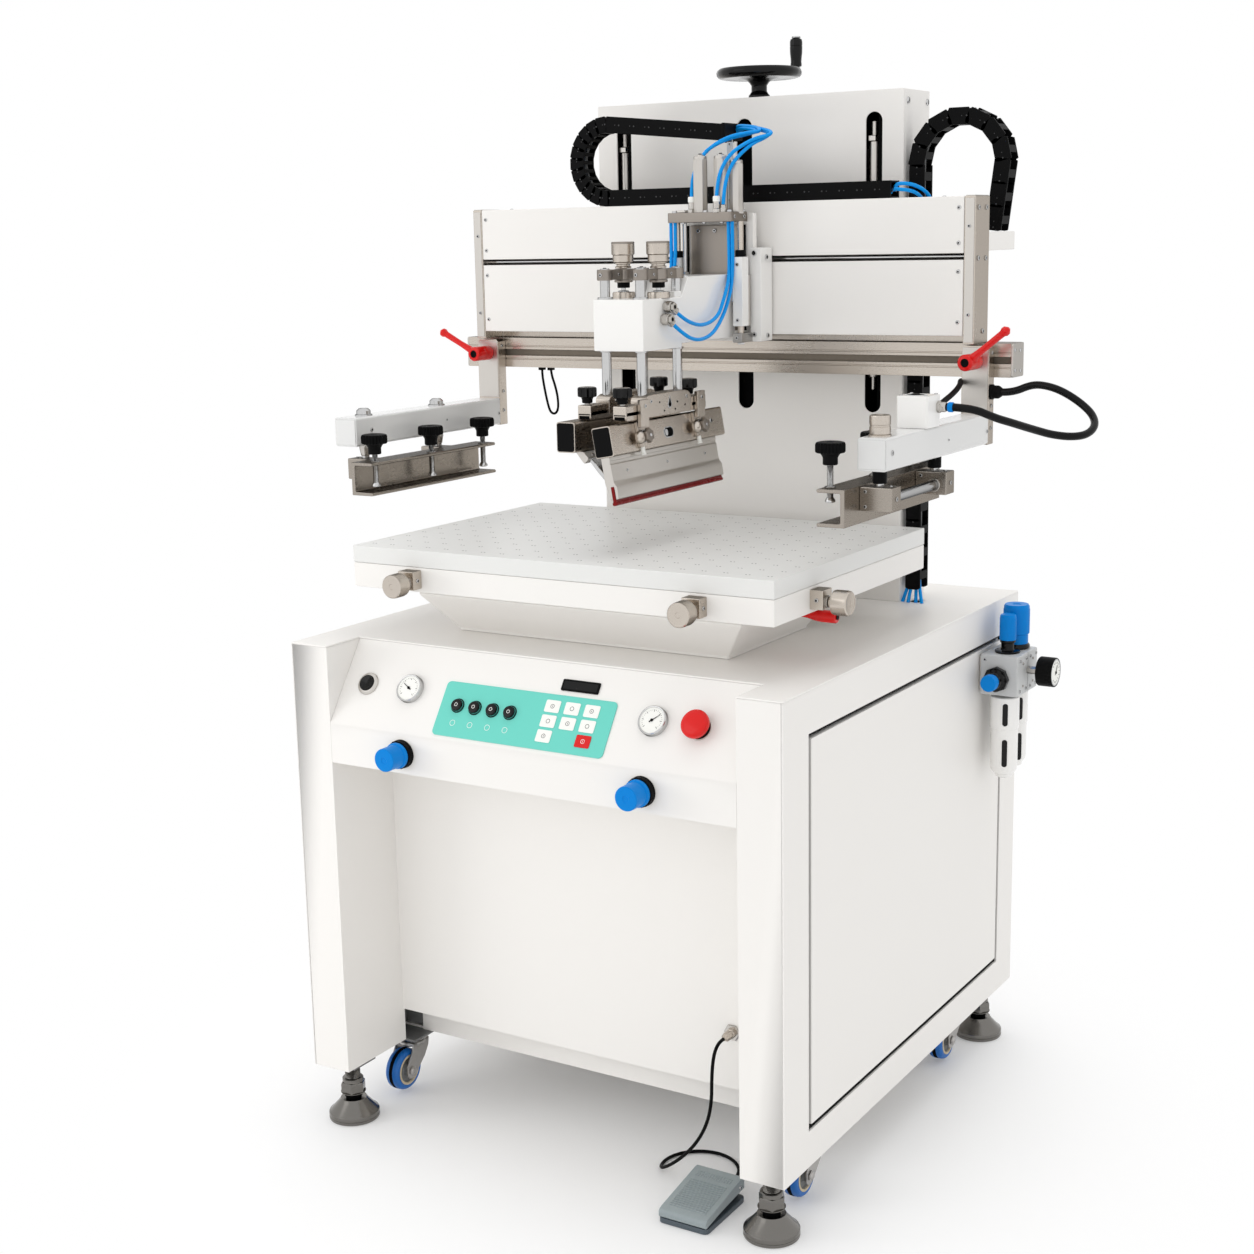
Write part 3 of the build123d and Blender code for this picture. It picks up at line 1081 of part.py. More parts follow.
PEDAL_FRONT_Y = PEDAL_BACK_Y - PEDAL_LENGTH
PEDAL_PIN_R = 2.0
PEDAL_PIN_Y = PEDAL_FRONT_Y + 8.0
PEDAL_PIN_Z = 13.0
PEDAL_EARS = (14.0, 20.0)


def pedal_base():
    x0, x1 = PEDAL_X - PEDAL_WIDTH / 2, PEDAL_X + PEDAL_WIDTH / 2
    tray = block(x0, x1, PEDAL_FRONT_Y, PEDAL_BACK_Y, 0, 8)
    tray = fillet(tray.edges().filter_by(Axis.Z), 8)
    tray += block(x0 + 10, x1 - 10, PEDAL_FRONT_Y + 30, PEDAL_BACK_Y - 2, 8, 17)
    for s in (-1, 1):
        x0, x1 = PEDAL_X + s * PEDAL_EARS[0], PEDAL_X + s * PEDAL_EARS[1]
        tray += block(x0, x1, PEDAL_PIN_Y - 4, PEDAL_PIN_Y + 4, 7, PEDAL_PIN_Z + 3.5)
    reach = PEDAL_EARS[1] + 8
    return tray + rod_x(PEDAL_PIN_R, PEDAL_PIN_Y, PEDAL_PIN_Z, PEDAL_X - reach, PEDAL_X + reach)


def pedal_treadle():
    x0, x1 = PEDAL_X - PEDAL_WIDTH / 2 + 1, PEDAL_X + PEDAL_WIDTH / 2 - 1
    front = PEDAL_FRONT_Y
    back = PEDAL_BACK_Y - 1
    outline = [(front, 8.3), (front, 18), (front + 8, 22), (back - 6, 38), (back, 36), (back, 28)]
    wedge = prism_x(outline, x0, x1)
    under = prism_x(
        [(front + 16, 8), (front + 16, 18), (back, 33.5), (back, 8)], x0 + 3, x1 - 3
    )
    skirt = prism_x([(front, 8.3), (front, 18), (back, 36), (back, 20)], x0, x1)
    treadle = (wedge + skirt) - under
    reach = PEDAL_EARS[1] + 8 + SLIDING
    treadle -= rod_x(PEDAL_PIN_R + RUNNING, PEDAL_PIN_Y, PEDAL_PIN_Z, PEDAL_X - reach, PEDAL_X + reach)
    for s in (-1, 1):
        gap0, gap1 = PEDAL_X + s * (PEDAL_EARS[0] - 0.6), PEDAL_X + s * (PEDAL_EARS[1] + 0.6)
        treadle -= block(gap0, gap1, PEDAL_PIN_Y - 5, PEDAL_PIN_Y + 5, 7, PEDAL_PIN_Z + 4.5)
    return treadle


# ---------------------------------------------------------------- cords
def cord_tube(points, diameter, name):
    # straight runs joined by arcs as large as their two runs allow
    corners = [Vector(*p) for p in points]
    radii = []
    for before, corner, after in zip(corners, corners[1:], corners[2:]):
        into, out = corner - before, after - corner
        turn = radians(into.get_angle(out))
        radii.append(0.45 * min(into.length, out.length) / tan(turn / 2))
    path = FilletPolyline(*points, radius=radii)
    start = Plane(origin=corners[0], z_dir=corners[1] - corners[0])
    tube = sweep(start * Circle(diameter / 2), path=path)
    ratio = tube.volume / (3.141592653589793 * diameter**2 / 4 * path.length)
    print(name, "length", round(path.length, 1), "volume ratio", round(ratio, 4), [round(r) for r in radii])
    return tube


PEDAL_CABLE = [
    (SOCKET_X, PLUG_END_Y, SOCKET_Z),
    (SOCKET_X, PLUG_END_Y - 10, SOCKET_Z),
    (SOCKET_X - 0.4, PLUG_END_Y - 20, SOCKET_Z - 5),
    (SOCKET_X - 1, PLUG_END_Y - 26, SOCKET_Z - 15.5),
    (SOCKET_X - 2.5, PLUG_END_Y - 27.5, SOCKET_Z - 31),
    (249, PLUG_END_Y - 25.5, 179),
    (246.5, PLUG_END_Y - 22, 147),
    (238, PLUG_END_Y - 18, 113),
    (221, PLUG_END_Y - 15, 79),
    (196, PLUG_END_Y - 12, 48),
    (168, PLUG_END_Y - 6, 23),
    (147, PLUG_END_Y + 4, 8.5),
    (136, PLUG_END_Y + 21, 3),
    (134, PLUG_END_Y + 42, 3),
    (141, PLUG_END_Y + 63, 3),
    (157, PLUG_END_Y + 82, 3),
    (181, PLUG_END_Y + 93, 3),
    (207, PLUG_END_Y + 92, 3),
    (230, PLUG_END_Y + 80, 3),
    (245, PLUG_END_Y + 61, 3),
    (251.5, PLUG_END_Y + 38, 4),
    (PEDAL_X + 1, PLUG_END_Y + 20, 8.5),
    (PEDAL_X, PLUG_END_Y + 5, 12),
    (PEDAL_X, PEDAL_BACK_Y - 2, 12),
]

SENSOR_Y = 176.0
SENSOR_XS = (-349.0, -321.0)
SENSOR_LOOP = [
    (SENSOR_XS[0], SENSOR_Y, RAIL_BOTTOM - 6),
    (SENSOR_XS[0], SENSOR_Y, 1110),
    (SENSOR_XS[0] - 0.6, SENSOR_Y + 0.6, 1097),
    (SENSOR_XS[0] - 1.6, SENSOR_Y + 0.9, 1078),
    (SENSOR_XS[0] - 1.5, SENSOR_Y + 1, 1057),
    (SENSOR_XS[0] + 7.3, SENSOR_Y + 1.2, 1048),
    (SENSOR_XS[1] - 8.3, SENSOR_Y + 1.2, 1048),
    (SENSOR_XS[1] + 0.5, SENSOR_Y + 1, 1057),
    (SENSOR_XS[1] + 1.4, SENSOR_Y + 0.8, 1075),
    (SENSOR_XS[1] + 0.6, SENSOR_Y + 0.5, 1095),
    (SENSOR_XS[1], SENSOR_Y, 1110),
    (SENSOR_XS[1], SENSOR_Y, RAIL_BOTTOM - 6),
]

HOSE_START_X = RIGHT_ARM_X + ARM_HALF + 16
HOSE_START_Y = RAIL_FRONT_Y - SLIDING - ARM_PLATE / 2
HOSE_END_X = RIGHT_ARM_X + 36
ARM_HOSE = [
    (HOSE_START_X, HOSE_START_Y, GLAND_Z),
    (HOSE_START_X + 17, HOSE_START_Y, GLAND_Z),
    (519.4, 143.1, 1116.4),
    (546.1, 136.8, 1114.9),
    (569.1, 135.2, 1107.2),
    (592.5, 137.3, 1092.7),
    (613.2, 130.0, 1077.4),
    (624.9, 108.1, 1063.7),
    (621.7, 82.5, 1053.8),
    (606.8, 60.6, 1052.2),
    (584.6, 44.6, 1056.0),
    (569.9, 26.0, 1063.0),
    (559.0, 4.0, 1070.0),
    (549.0, -17.0, 1077.0),
    (534.0, -40.0, 1085.0),
    (508.2, FITTING_Y, FITTING_Z),
    (HOSE_END_X, FITTING_Y, FITTING_Z),
]


# ---------------------------------------------------------------- write one file for each sub-part
save("cabinet_frame", *cabinet_frame())
save("cabinet_panels", *cabinet_panels())
save("cabinet_top", cabinet_top())
save("cabinet_internals", *cabinet_internals())
save("control_console", control_console())
save("panel_fittings", *panel_fittings())
save("estop_button", estop_button())
save("push_buttons", *push_buttons())
save("left_regulator_knob", regulator_knob(REGULATOR_XS[0]))
save("right_regulator_knob", regulator_knob(REGULATOR_XS[1]))
save("side_door", side_door())
save("air_unit", *air_unit())
save("column_cover", column_cover())
save("column_guides", *column_guides())
save("handwheel", *handwheel())
save("crank_grip", crank_grip())
save("height_carriage", *height_carriage())
save("head_frame", *head_frame())
save("head_covers", *head_covers())
save("traverse_guides", *traverse_guides())
save("clamp_rail", *clamp_rail())
save("traverse_chain", traverse_chain())
save("lift_cable_chain", lift_cable_chain())
save("print_carriage", *print_carriage())
save("unit_housing", *unit_housing())
save("squeegee_guide", *tool_guide(SQUEEGEE_X))
save("flood_guide", *tool_guide(FLOOD_X))
save("squeegee_holder", *squeegee_holder())
save("flood_holder", *flood_holder())
save("squeegee_stroke_knob", stroke_knob(SQUEEGEE_X))
save("flood_stroke_knob", stroke_knob(FLOOD_X))
save("left_arm", *left_arm())
save("right_arm", *right_arm())
save("left_clamp_lever", clamp_lever(LEFT_ARM_X, 152))
save("right_clamp_lever", clamp_lever(RIGHT_ARM_X, 38))
save("left_frame_clamp", *frame_clamp(LEFT_ARM_X, 1))
save("right_frame_clamp", *frame_clamp(RIGHT_ARM_X, -1))
save("left_clamp_screws", *clamp_screws(LEFT_ARM_X, 1, 0))
save("right_clamp_screws", *clamp_screws(RIGHT_ARM_X, -1, 18))
save("table_pedestal", *table_pedestal())
save("table_base", table_base())
save("print_table", *print_table())
save(
    "vacuum_plate",
    block(-TABLE_HALF_X, TABLE_HALF_X, TABLE_FRONT_Y, TABLE_BACK_Y, PLATE_UNDER, TABLE_TOP),
)
for name, x in (("front_left_knob", KNOB_XS[0]), ("front_right_knob", KNOB_XS[1])):
    save(name, Pos(x, TABLE_FRONT_Y, KNOB_Z) * Rot(90, 0, 0) * adjust_knob())
save("side_knob", Pos(TABLE_HALF_X, SIDE_KNOB_Y, KNOB_Z) * Rot(0, 90, 0) * adjust_knob())
save("levelling_feet", *levelling_feet())
corner_names = ("front_left", "front_right", "rear_left", "rear_right")
for corner, (x, y) in zip(corner_names, castor_places()):
    save(f"{corner}_castor_fork", castor_fork(x, y))
    save(f"{corner}_castor_wheel", *castor_wheel(x, y))
save("pedal_base", pedal_base())
save("pedal_treadle", pedal_treadle())
save("pedal_cable", cord_tube(PEDAL_CABLE, PEDAL_CABLE_D, "pedal cable"))
save("sensor_cable", cord_tube(SENSOR_LOOP, SENSOR_CABLE_D, "sensor cable"))
save("arm_hose", cord_tube(ARM_HOSE, HOSE_D, "arm hose"))
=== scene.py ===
"""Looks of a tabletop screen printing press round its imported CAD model, in millimetres unless noted."""
import math

import bmesh
import bpy
from mathutils import Matrix, Vector


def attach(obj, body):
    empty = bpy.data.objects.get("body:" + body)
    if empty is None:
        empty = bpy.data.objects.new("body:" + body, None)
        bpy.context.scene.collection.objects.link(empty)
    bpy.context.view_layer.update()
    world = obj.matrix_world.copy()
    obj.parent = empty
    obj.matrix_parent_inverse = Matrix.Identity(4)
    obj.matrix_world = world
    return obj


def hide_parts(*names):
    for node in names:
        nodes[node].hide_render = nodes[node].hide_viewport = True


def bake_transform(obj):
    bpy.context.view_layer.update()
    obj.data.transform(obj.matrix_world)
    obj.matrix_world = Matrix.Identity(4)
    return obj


MM = 0.001
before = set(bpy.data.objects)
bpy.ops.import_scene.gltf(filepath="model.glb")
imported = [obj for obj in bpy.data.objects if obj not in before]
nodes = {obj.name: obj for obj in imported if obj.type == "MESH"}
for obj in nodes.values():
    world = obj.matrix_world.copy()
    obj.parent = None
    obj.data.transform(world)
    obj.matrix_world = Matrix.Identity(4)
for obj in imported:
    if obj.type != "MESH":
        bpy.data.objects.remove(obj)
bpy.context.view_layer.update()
scene = bpy.context.scene

# ------------------------------------------------------------ camera
IMAGE_PX = 1254
FOCAL_PX = 1893.6
SENSOR_WIDTH = 36
CAMERA_PLACE = (1454.3, -2479.7, 1335.0)
CAMERA_ANGLES = (31.79, -11.65, -1.17)  # yaw, pitch and roll in degrees


def make_camera():
    yaw, pitch, roll = (math.radians(a) for a in CAMERA_ANGLES)
    look = Vector((-math.sin(yaw) * math.cos(pitch), math.cos(yaw) * math.cos(pitch), math.sin(pitch)))
    level = Vector((math.cos(yaw), math.sin(yaw), 0))
    upright = level.cross(look)
    right = level * math.cos(roll) + upright * math.sin(roll)
    up = upright * math.cos(roll) - level * math.sin(roll)
    data = bpy.data.cameras.new("camera")
    data.sensor_width = SENSOR_WIDTH
    data.lens = SENSOR_WIDTH * FOCAL_PX / IMAGE_PX
    data.clip_start, data.clip_end = 0.05, 100
    camera = bpy.data.objects.new("camera", data)
    turn = Matrix((right, up, -look)).transposed().to_4x4()
    camera.matrix_world = Matrix.Translation(Vector(CAMERA_PLACE) * MM) @ turn
    scene.collection.objects.link(camera)
    scene.camera = camera


make_camera()


# ------------------------------------------------------------ materials
def linear(colour):
    return [c / 12.92 if c <= 0.04045 else ((c + 0.055) / 1.055) ** 2.4 for c in colour]


def new_node(tree, kind, operation=None, **inputs):
    node = tree.nodes.new("ShaderNode" + kind)
    if operation:
        node.operation = operation
    for name, value in inputs.items():
        node.inputs[name.replace("_", " ")].default_value = value
    return node


def link(tree, a, out, b, into):
    tree.links.new(a.outputs[out], b.inputs[into])


def finish_of(
    name, colour, rough, grain, tone, bump=0.0, depth=0.0002, metallic=0.0, vary=0.05, smudge=0.04,
    coat=0.0, specular=0.5, edge=1.0, along=None
):
    """A surface: grain noise for tone, roughness and relief, and broad faint smudges on its roughness.

    The grain is drawn out along the named axis. edge is how bright a metal's grazing reflections stay.
    """
    material = bpy.data.materials.new(name)
    material.use_nodes = True
    tree = material.node_tree
    shader = tree.nodes["Principled BSDF"]
    shader.inputs["Metallic"].default_value = metallic
    shader.inputs["Coat Weight"].default_value = coat
    shader.inputs["Coat Roughness"].default_value = 0.08
    shader.inputs["Specular Tint"].default_value = (edge, edge, edge, 1)
    shader.inputs["Specular IOR Level"].default_value = specular
    scale = [grain] * 3
    if along:
        scale["xyz".index(along)] = grain / 10
    coord = new_node(tree, "TexCoord")
    mapping = new_node(tree, "Mapping", Scale=scale)
    noise = new_node(tree, "TexNoise", Scale=1, Detail=3, Roughness=0.6)
    broad = new_node(tree, "TexNoise", Scale=9, Detail=4)
    link(tree, coord, "Object", mapping, "Vector")
    link(tree, mapping, "Vector", noise, "Vector")
    link(tree, coord, "Object", broad, "Vector")
    mix = new_node(tree, "Mix")
    mix.data_type = "RGBA"
    for socket, level in ((6, 1 - tone), (7, 1 + tone)):
        mix.inputs[socket].default_value = [min(1, c * level) for c in linear(colour)] + [1]
    link(tree, noise, "Fac", mix, 0)
    link(tree, mix, 2, shader, "Base Color")
    fine = new_node(tree, "Math", "MULTIPLY_ADD")
    fine.inputs[1].default_value = 2 * vary
    fine.inputs[2].default_value = rough - vary - smudge
    link(tree, noise, "Fac", fine, 0)
    total = new_node(tree, "Math", "MULTIPLY_ADD")
    total.inputs[1].default_value = 2 * smudge
    link(tree, broad, "Fac", total, 0)
    link(tree, fine, 0, total, 2)
    link(tree, total, 0, shader, "Roughness")
    if bump:
        relief = new_node(tree, "Bump", Strength=bump, Distance=depth)
        link(tree, noise, "Fac", relief, "Height")
        link(tree, relief, "Normal", shader, "Normal")
    return material


def brushed(name, colour, rough, along):
    return finish_of(name, colour, rough, 900, 0.012, 0.015, 0.00003, 1, 0.02, edge=0.3, along=along)


# name, colour, roughness, grain, tone, bump and its depth
WHITE = finish_of("powder_white", (0.935, 0.925, 0.91), 0.42, 900, 0.012, 0.16, 0.00008)
WHITE_GLOSS = finish_of("gloss_white", (0.945, 0.94, 0.93), 0.2, 400, 0.01, 0.04, 0.00006, coat=0.4)
ARM_WHITE = finish_of("arm_white", (0.855, 0.855, 0.85), 0.2, 400, 0.01, 0.04, 0.00006, coat=0.4)
PLATE_WHITE = finish_of("plate_white", (0.89, 0.89, 0.88), 0.36, 500, 0.015, 0.08, 0.00006)
CHAMPAGNE = {a: brushed("champagne_" + a, (0.80, 0.765, 0.725), 0.27, a) for a in "xyz"}
BRONZE = {a: brushed("dark_champagne_" + a, (0.66, 0.63, 0.595), 0.27, a) for a in "xyz"}
CHAMPAGNE_DARK = brushed("champagne_dark", (0.61, 0.58, 0.55), 0.38, "z")
ALUMINIUM = {a: brushed("aluminium_" + a, (0.825, 0.808, 0.785), 0.32, a) for a in "xyz"}
STEEL = finish_of(
    "polished_steel", (0.80, 0.80, 0.80), 0.14, 300, 0.03, metallic=1, vary=0.03, smudge=0.03, edge=0.12
)
NICKEL = finish_of("nickel_steel", (0.78, 0.765, 0.745), 0.24, 500, 0.05, 0.05, 0.00005, metallic=1, edge=0.2)
ZINC = finish_of("zinc_plate", (0.70, 0.69, 0.68), 0.34, 120, 0.12, 0.06, 0.0001, metallic=1, vary=0.08)
FOOT_NICKEL = finish_of("foot_nickel", (0.47, 0.46, 0.445), 0.22, 500, 0.05, 0.05, 0.00005, metallic=1)
BLACK = finish_of("black_plastic", (0.05, 0.05, 0.052), 0.46, 700, 0.15, 0.2, 0.0001, specular=0.06)
BLACK_GLOSS = finish_of("black_gloss", (0.03, 0.03, 0.032), 0.14, 90, 0.1, coat=0.2, specular=0.15)
RUBBER = finish_of("black_rubber", (0.05, 0.05, 0.052), 0.6, 500, 0.15, 0.25, 0.0001, specular=0.06)
SLOT_DARK = finish_of("slot_shadow", (0.60, 0.56, 0.51), 0.6, 200, 0.1, specular=0.1)
# DARK is painted shade where it fills holes, sockets, slots and gaps that are only shaded; it also colours a
# band round each tyre's tread, the stem under each foot's nut and a disc on the right arm's block
DARK = finish_of("dark_inside", (0.035, 0.035, 0.037), 0.7, 200, 0.2, specular=0.03)
GREY = finish_of("grey_plastic", (0.50, 0.505, 0.505), 0.4, 500, 0.05, 0.1)
GREY_DARK = finish_of("hole_shadow", (0.36, 0.36, 0.355), 0.6, 500, 0.05, specular=0.1)
LIGHT_GREY = finish_of("light_grey", (0.78, 0.785, 0.785), 0.4, 500, 0.03, 0.1)
BLUE = finish_of("blue_plastic", (0.0, 0.50, 0.83), 0.35, 300, 0.05, 0.06, specular=0.12)
TUBE_BLUE = finish_of("blue_tube", (0.0, 0.58, 0.90), 0.22, 200, 0.06, specular=0.2)
RED = finish_of("red_plastic", (0.84, 0.05, 0.04), 0.2, 250, 0.04, coat=0.2, specular=0.25)
RED_BLADE = finish_of("red_polyurethane", (0.46, 0.01, 0.02), 0.26, 120, 0.08, specular=0.2)
MINT = finish_of("fascia_mint", (0.40, 0.81, 0.75), 0.33, 600, 0.02, 0.05)
DIAL = finish_of("dial_face", (0.95, 0.95, 0.93), 0.5, 300, 0.01)
PEDAL_GREY = finish_of("pedal_hammertone", (0.58, 0.62, 0.63), 0.36, 260, 0.08, 0.5, 0.0005)
BLUE_TREAD = finish_of("castor_tread", (0.05, 0.40, 0.72), 0.4, 300, 0.08, 0.1)
BEIGE = finish_of("beige_rim", (0.80, 0.74, 0.62), 0.45, 300, 0.04)
HOSE = finish_of("hose_jacket", (0.035, 0.035, 0.038), 0.26, 150, 0.15, coat=0.1, specular=0.12)
FRAME_PAINT = finish_of("frame_paint", (0.42, 0.42, 0.42), 0.5, 300, 0.06, 0.1)
RIVET = finish_of("rivet_grey", (0.16, 0.16, 0.165), 0.4, 300, 0.1)
NAVY = finish_of("navy_cable", (0.07, 0.13, 0.22), 0.3, 200, 0.1)
PEDAL_FLANGE = finish_of("pedal_flange", (0.30, 0.34, 0.37), 0.45, 260, 0.08, 0.4, 0.0003)


# ------------------------------------------------------------ mesh toolkit, in millimetres
CORNER_STEPS = 6
SMOOTH_BELOW = 38  # degrees between faces
OUT = {1: "x", -1: "-x"}  # the axis that points away from the middle, by side
CORNERS = ((-1, -1), (1, -1), (-1, 1), (1, 1))
YZ = Matrix(((0, 0, 1, 0), (1, 0, 0, 0), (0, 1, 0, 0), (0, 0, 0, 1)))  # local (x, y, z) to (y, z, x)
YZ_BACK = Matrix(((0, 0, 1, 0), (-1, 0, 0, 0), (0, 1, 0, 0), (0, 0, 0, 1)))  # the same, with y turned round
XZ = Matrix(((1, 0, 0, 0), (0, 0, 1, 0), (0, 1, 0, 0), (0, 0, 0, 1)))  # local (x, y, z) to (x, z, y)


def spin(degrees, axis="Z"):
    return Matrix.Rotation(math.radians(degrees), 4, axis)


def place(x, y, z, axis="z"):
    """Local +Z along the named axis, at a point."""
    turns = {
        "z": Matrix(), "-z": spin(180, "X"), "x": spin(90, "Y"), "-x": spin(-90, "Y"),
        "y": spin(-90, "X"), "-y": spin(90, "X"),
    }
    return Matrix.Translation((x, y, z)) @ turns[axis]


def lathe(profile, n, closed=False):
    """Profile points (radius, height[, flute depth]) turned about Z."""
    bm = bmesh.new()
    rings = []
    for point in profile:
        r, h = point[0], point[1]
        flute = point[2] if len(point) > 2 else 0
        if r < 1e-6:
            rings.append([bm.verts.new((0, 0, h))])
            continue
        ring = []
        for j in range(n):
            a = 2 * math.pi * j / n
            q = r - (flute if j % 2 else 0)
            ring.append(bm.verts.new((q * math.cos(a), q * math.sin(a), h)))
        rings.append(ring)
    pairs = list(zip(rings, rings[1:]))
    if closed:
        pairs.append((rings[-1], rings[0]))
    for a, b in pairs:
        for j in range(n):
            k = (j + 1) % n
            if len(a) > 1 and len(b) > 1:
                bm.faces.new((a[j], a[k], b[k], b[j]))
            elif len(b) > 1:
                bm.faces.new((a[0], b[k], b[j]))
            elif len(a) > 1:
                bm.faces.new((a[j], a[k], b[0]))
    if not closed:
        if len(rings[0]) > 1:
            bm.faces.new(rings[0][::-1])
        if len(rings[-1]) > 1:
            bm.faces.new(rings[-1])
    bmesh.ops.recalc_face_normals(bm, faces=bm.faces)
    return bm


def soften(bm, edge, steps=2, angle=25):
    """Bevel the edges that are sharper than an angle in degrees."""
    if edge > 0:
        sharp = [e for e in bm.edges if len(e.link_faces) == 2 and e.calc_face_angle(0) > math.radians(angle)]
        bmesh.ops.bevel(
            bm, geom=sharp, offset=edge, segments=steps, affect="EDGES", profile=0.5, clamp_overlap=True
        )
    return bm


def slab(x0, x1, y0, y1, z0, z1, edge):
    """A block with broken edges."""
    bm = bmesh.new()
    bmesh.ops.create_cube(bm, size=1)
    x0, x1, y0, y1, z0, z1 = (*sorted((x0, x1)), *sorted((y0, y1)), *sorted((z0, z1)))
    scale = Matrix.Diagonal((x1 - x0, y1 - y0, z1 - z0, 1))
    bm.transform(Matrix.Translation(((x0 + x1) / 2, (y0 + y1) / 2, (z0 + z1) / 2)) @ scale)
    return soften(bm, min(edge, 0.3 * min(x1 - x0, y1 - y0, z1 - z0)))


def prism(points, h0, h1, edge, steps=2, angle=25):
    """A closed outline in local XY pushed from h0 to h1."""
    bm = bmesh.new()
    low = [bm.verts.new((x, y, h0)) for x, y in points]
    high = [bm.verts.new((x, y, h1)) for x, y in points]
    n = len(points)
    bm.faces.new(low[::-1])
    bm.faces.new(high)
    for i in range(n):
        j = (i + 1) % n
        bm.faces.new((low[i], low[j], high[j], high[i]))
    bmesh.ops.recalc_face_normals(bm, faces=bm.faces)
    return soften(bm, edge, steps, angle)


def round_rect(w, h, r):
    """The outline of a rectangle with round corners."""
    points = []
    for cx, cy, start in ((1, 1, 0), (-1, 1, 90), (-1, -1, 180), (1, -1, 270)):
        for k in range(CORNER_STEPS + 1):
            a = math.radians(start + 90 * k / CORNER_STEPS)
            points.append((cx * (w / 2 - r) + r * math.cos(a), cy * (h / 2 - r) + r * math.sin(a)))
    return points


def sweep(line, radius, n):
    """A round tube along points, with its own radius at each point if radius is a list."""
    bm = bmesh.new()
    line = [Vector(p) for p in line]
    side = None
    rings = []
    for i, p in enumerate(line):
        along = (line[min(i + 1, len(line) - 1)] - line[max(i - 1, 0)]).normalized()
        if side is None:
            side = along.orthogonal().normalized()
        side = (side - along * side.dot(along)).normalized()
        other = along.cross(side)
        r = radius[i] if isinstance(radius, (list, tuple)) else radius
        ring = []
        for j in range(n):
            a = 2 * math.pi * j / n
            ring.append(bm.verts.new(p + side * r * math.cos(a) + other * r * math.sin(a)))
        rings.append(ring)
    for a, b in zip(rings, rings[1:]):
        for j in range(n):
            k = (j + 1) % n
            bm.faces.new((a[j], a[k], b[k], b[j]))
    bm.faces.new(rings[0][::-1])
    bm.faces.new(rings[-1])
    bmesh.ops.recalc_face_normals(bm, faces=bm.faces)
    return bm


class Piece:
    """Parts gathered into one object. Sizes are millimetres."""

    def __init__(self, name):
        self.name, self.bm, self.mats = name, bmesh.new(), []

    def add(self, bm, mat, at=None):
        if mat not in self.mats:
            self.mats.append(mat)
        for f in bm.faces:
            f.material_index = self.mats.index(mat)
        if at is not None:
            bm.transform(at)
            if at.determinant() < 0:
                bmesh.ops.reverse_faces(bm, faces=bm.faces)
        mesh = bpy.data.meshes.new("part")
        bm.to_mesh(mesh)
        bm.free()
        self.bm.from_mesh(mesh)
        bpy.data.meshes.remove(mesh)

    def box(self, x0, x1, y0, y1, z0, z1, mat, edge, at=None):
        self.add(slab(x0, x1, y0, y1, z0, z1, edge), mat, at)

    def drum(self, r, h0, h1, mat, at, edge, n=40):
        """A cylinder with broken edges."""
        e = min(edge, r * 0.4, abs(h1 - h0) * 0.4)
        h0, h1 = min(h0, h1), max(h0, h1)
        self.turn([(r - e, h0), (r, h0 + e), (r, h1 - e), (r - e, h1)], n, mat, at)

    def turn(self, profile, n, mat, at):
        self.add(lathe(profile, n), mat, at)

    def ring(self, profile, n, mat, at):
        """A turned part whose profile closes on itself."""
        self.add(lathe(profile, n, True), mat, at)

    def cap_screw(self, at, r, h):
        """A socket screw head standing on the local plane."""
        self.turn([
            (r, 0), (r, h - r * 0.15), (r * 0.85, h), (r * 0.55, h), (r * 0.5, h * 0.35)
        ], 24, STEEL, at)
        # painted shade: a dark hexagon at the bottom of the socket
        self.turn([(r * 0.52, h * 0.36), (0, h * 0.36)], 6, DARK, at)

    def pan_screw(self, at, r, mat=STEEL):
        top = r * 0.45
        self.turn([
            (r, 0), (r * 0.97, top * 0.35), (r * 0.8, top * 0.8), (r * 0.45, top), (r * 0.4, top * 0.5),
            (0, top * 0.5)
        ], 24, mat, at)
        # painted shade: a dark disc in the recess of the head
        self.turn([(r * 0.38, top * 0.55), (0, top * 0.55)], 6, DARK, at)

    def nut(self, at, r, h, mat, edge):
        self.turn([(r - edge, 0), (r, edge), (r, h - edge), (r - edge, h)], 6, mat, at)

    def done(self, body=None, replaces=(), blend=None):
        self.bm.transform(Matrix.Scale(MM, 4))
        mesh = bpy.data.meshes.new(self.name)
        self.bm.to_mesh(mesh)
        self.bm.free()
        for m in self.mats:
            mesh.materials.append(m)
        mesh.polygons.foreach_set("use_smooth", [True] * len(mesh.polygons))
        mesh.set_sharp_from_angle(angle=math.radians(SMOOTH_BELOW))
        obj = bpy.data.objects.new(self.name, mesh)
        scene.collection.objects.link(obj)
        normals = obj.modifiers.new("normals", "WEIGHTED_NORMAL")
        normals.keep_sharp = True
        normals.weight = 100
        if blend:
            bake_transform(obj)
        else:
            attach(obj, body)
        if replaces:
            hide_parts(*replaces)
        return obj


def dress(node, mat, edge=0.0008):
    """A CAD node keeps its shape; its edges are broken and its material set."""
    obj = nodes[node]
    for s in obj.material_slots:
        s.material = mat
    if edge:
        weld = obj.modifiers.new("weld", "WELD")
        weld.merge_threshold = 0.00001
        flat = obj.modifiers.new("flat", "DECIMATE")
        flat.decimate_type = "DISSOLVE"
        flat.angle_limit = math.radians(1)
        bevel = obj.modifiers.new("edges", "BEVEL")
        bevel.width = edge
        bevel.segments = 2
        bevel.limit_method = "ANGLE"
        bevel.angle_limit = math.radians(40)
        normals = obj.modifiers.new("normals", "WEIGHTED_NORMAL")
        normals.keep_sharp = False
        normals.weight = 100


# ------------------------------------------------------------ cords
def metres(*values):
    return tuple(v * MM for v in values)


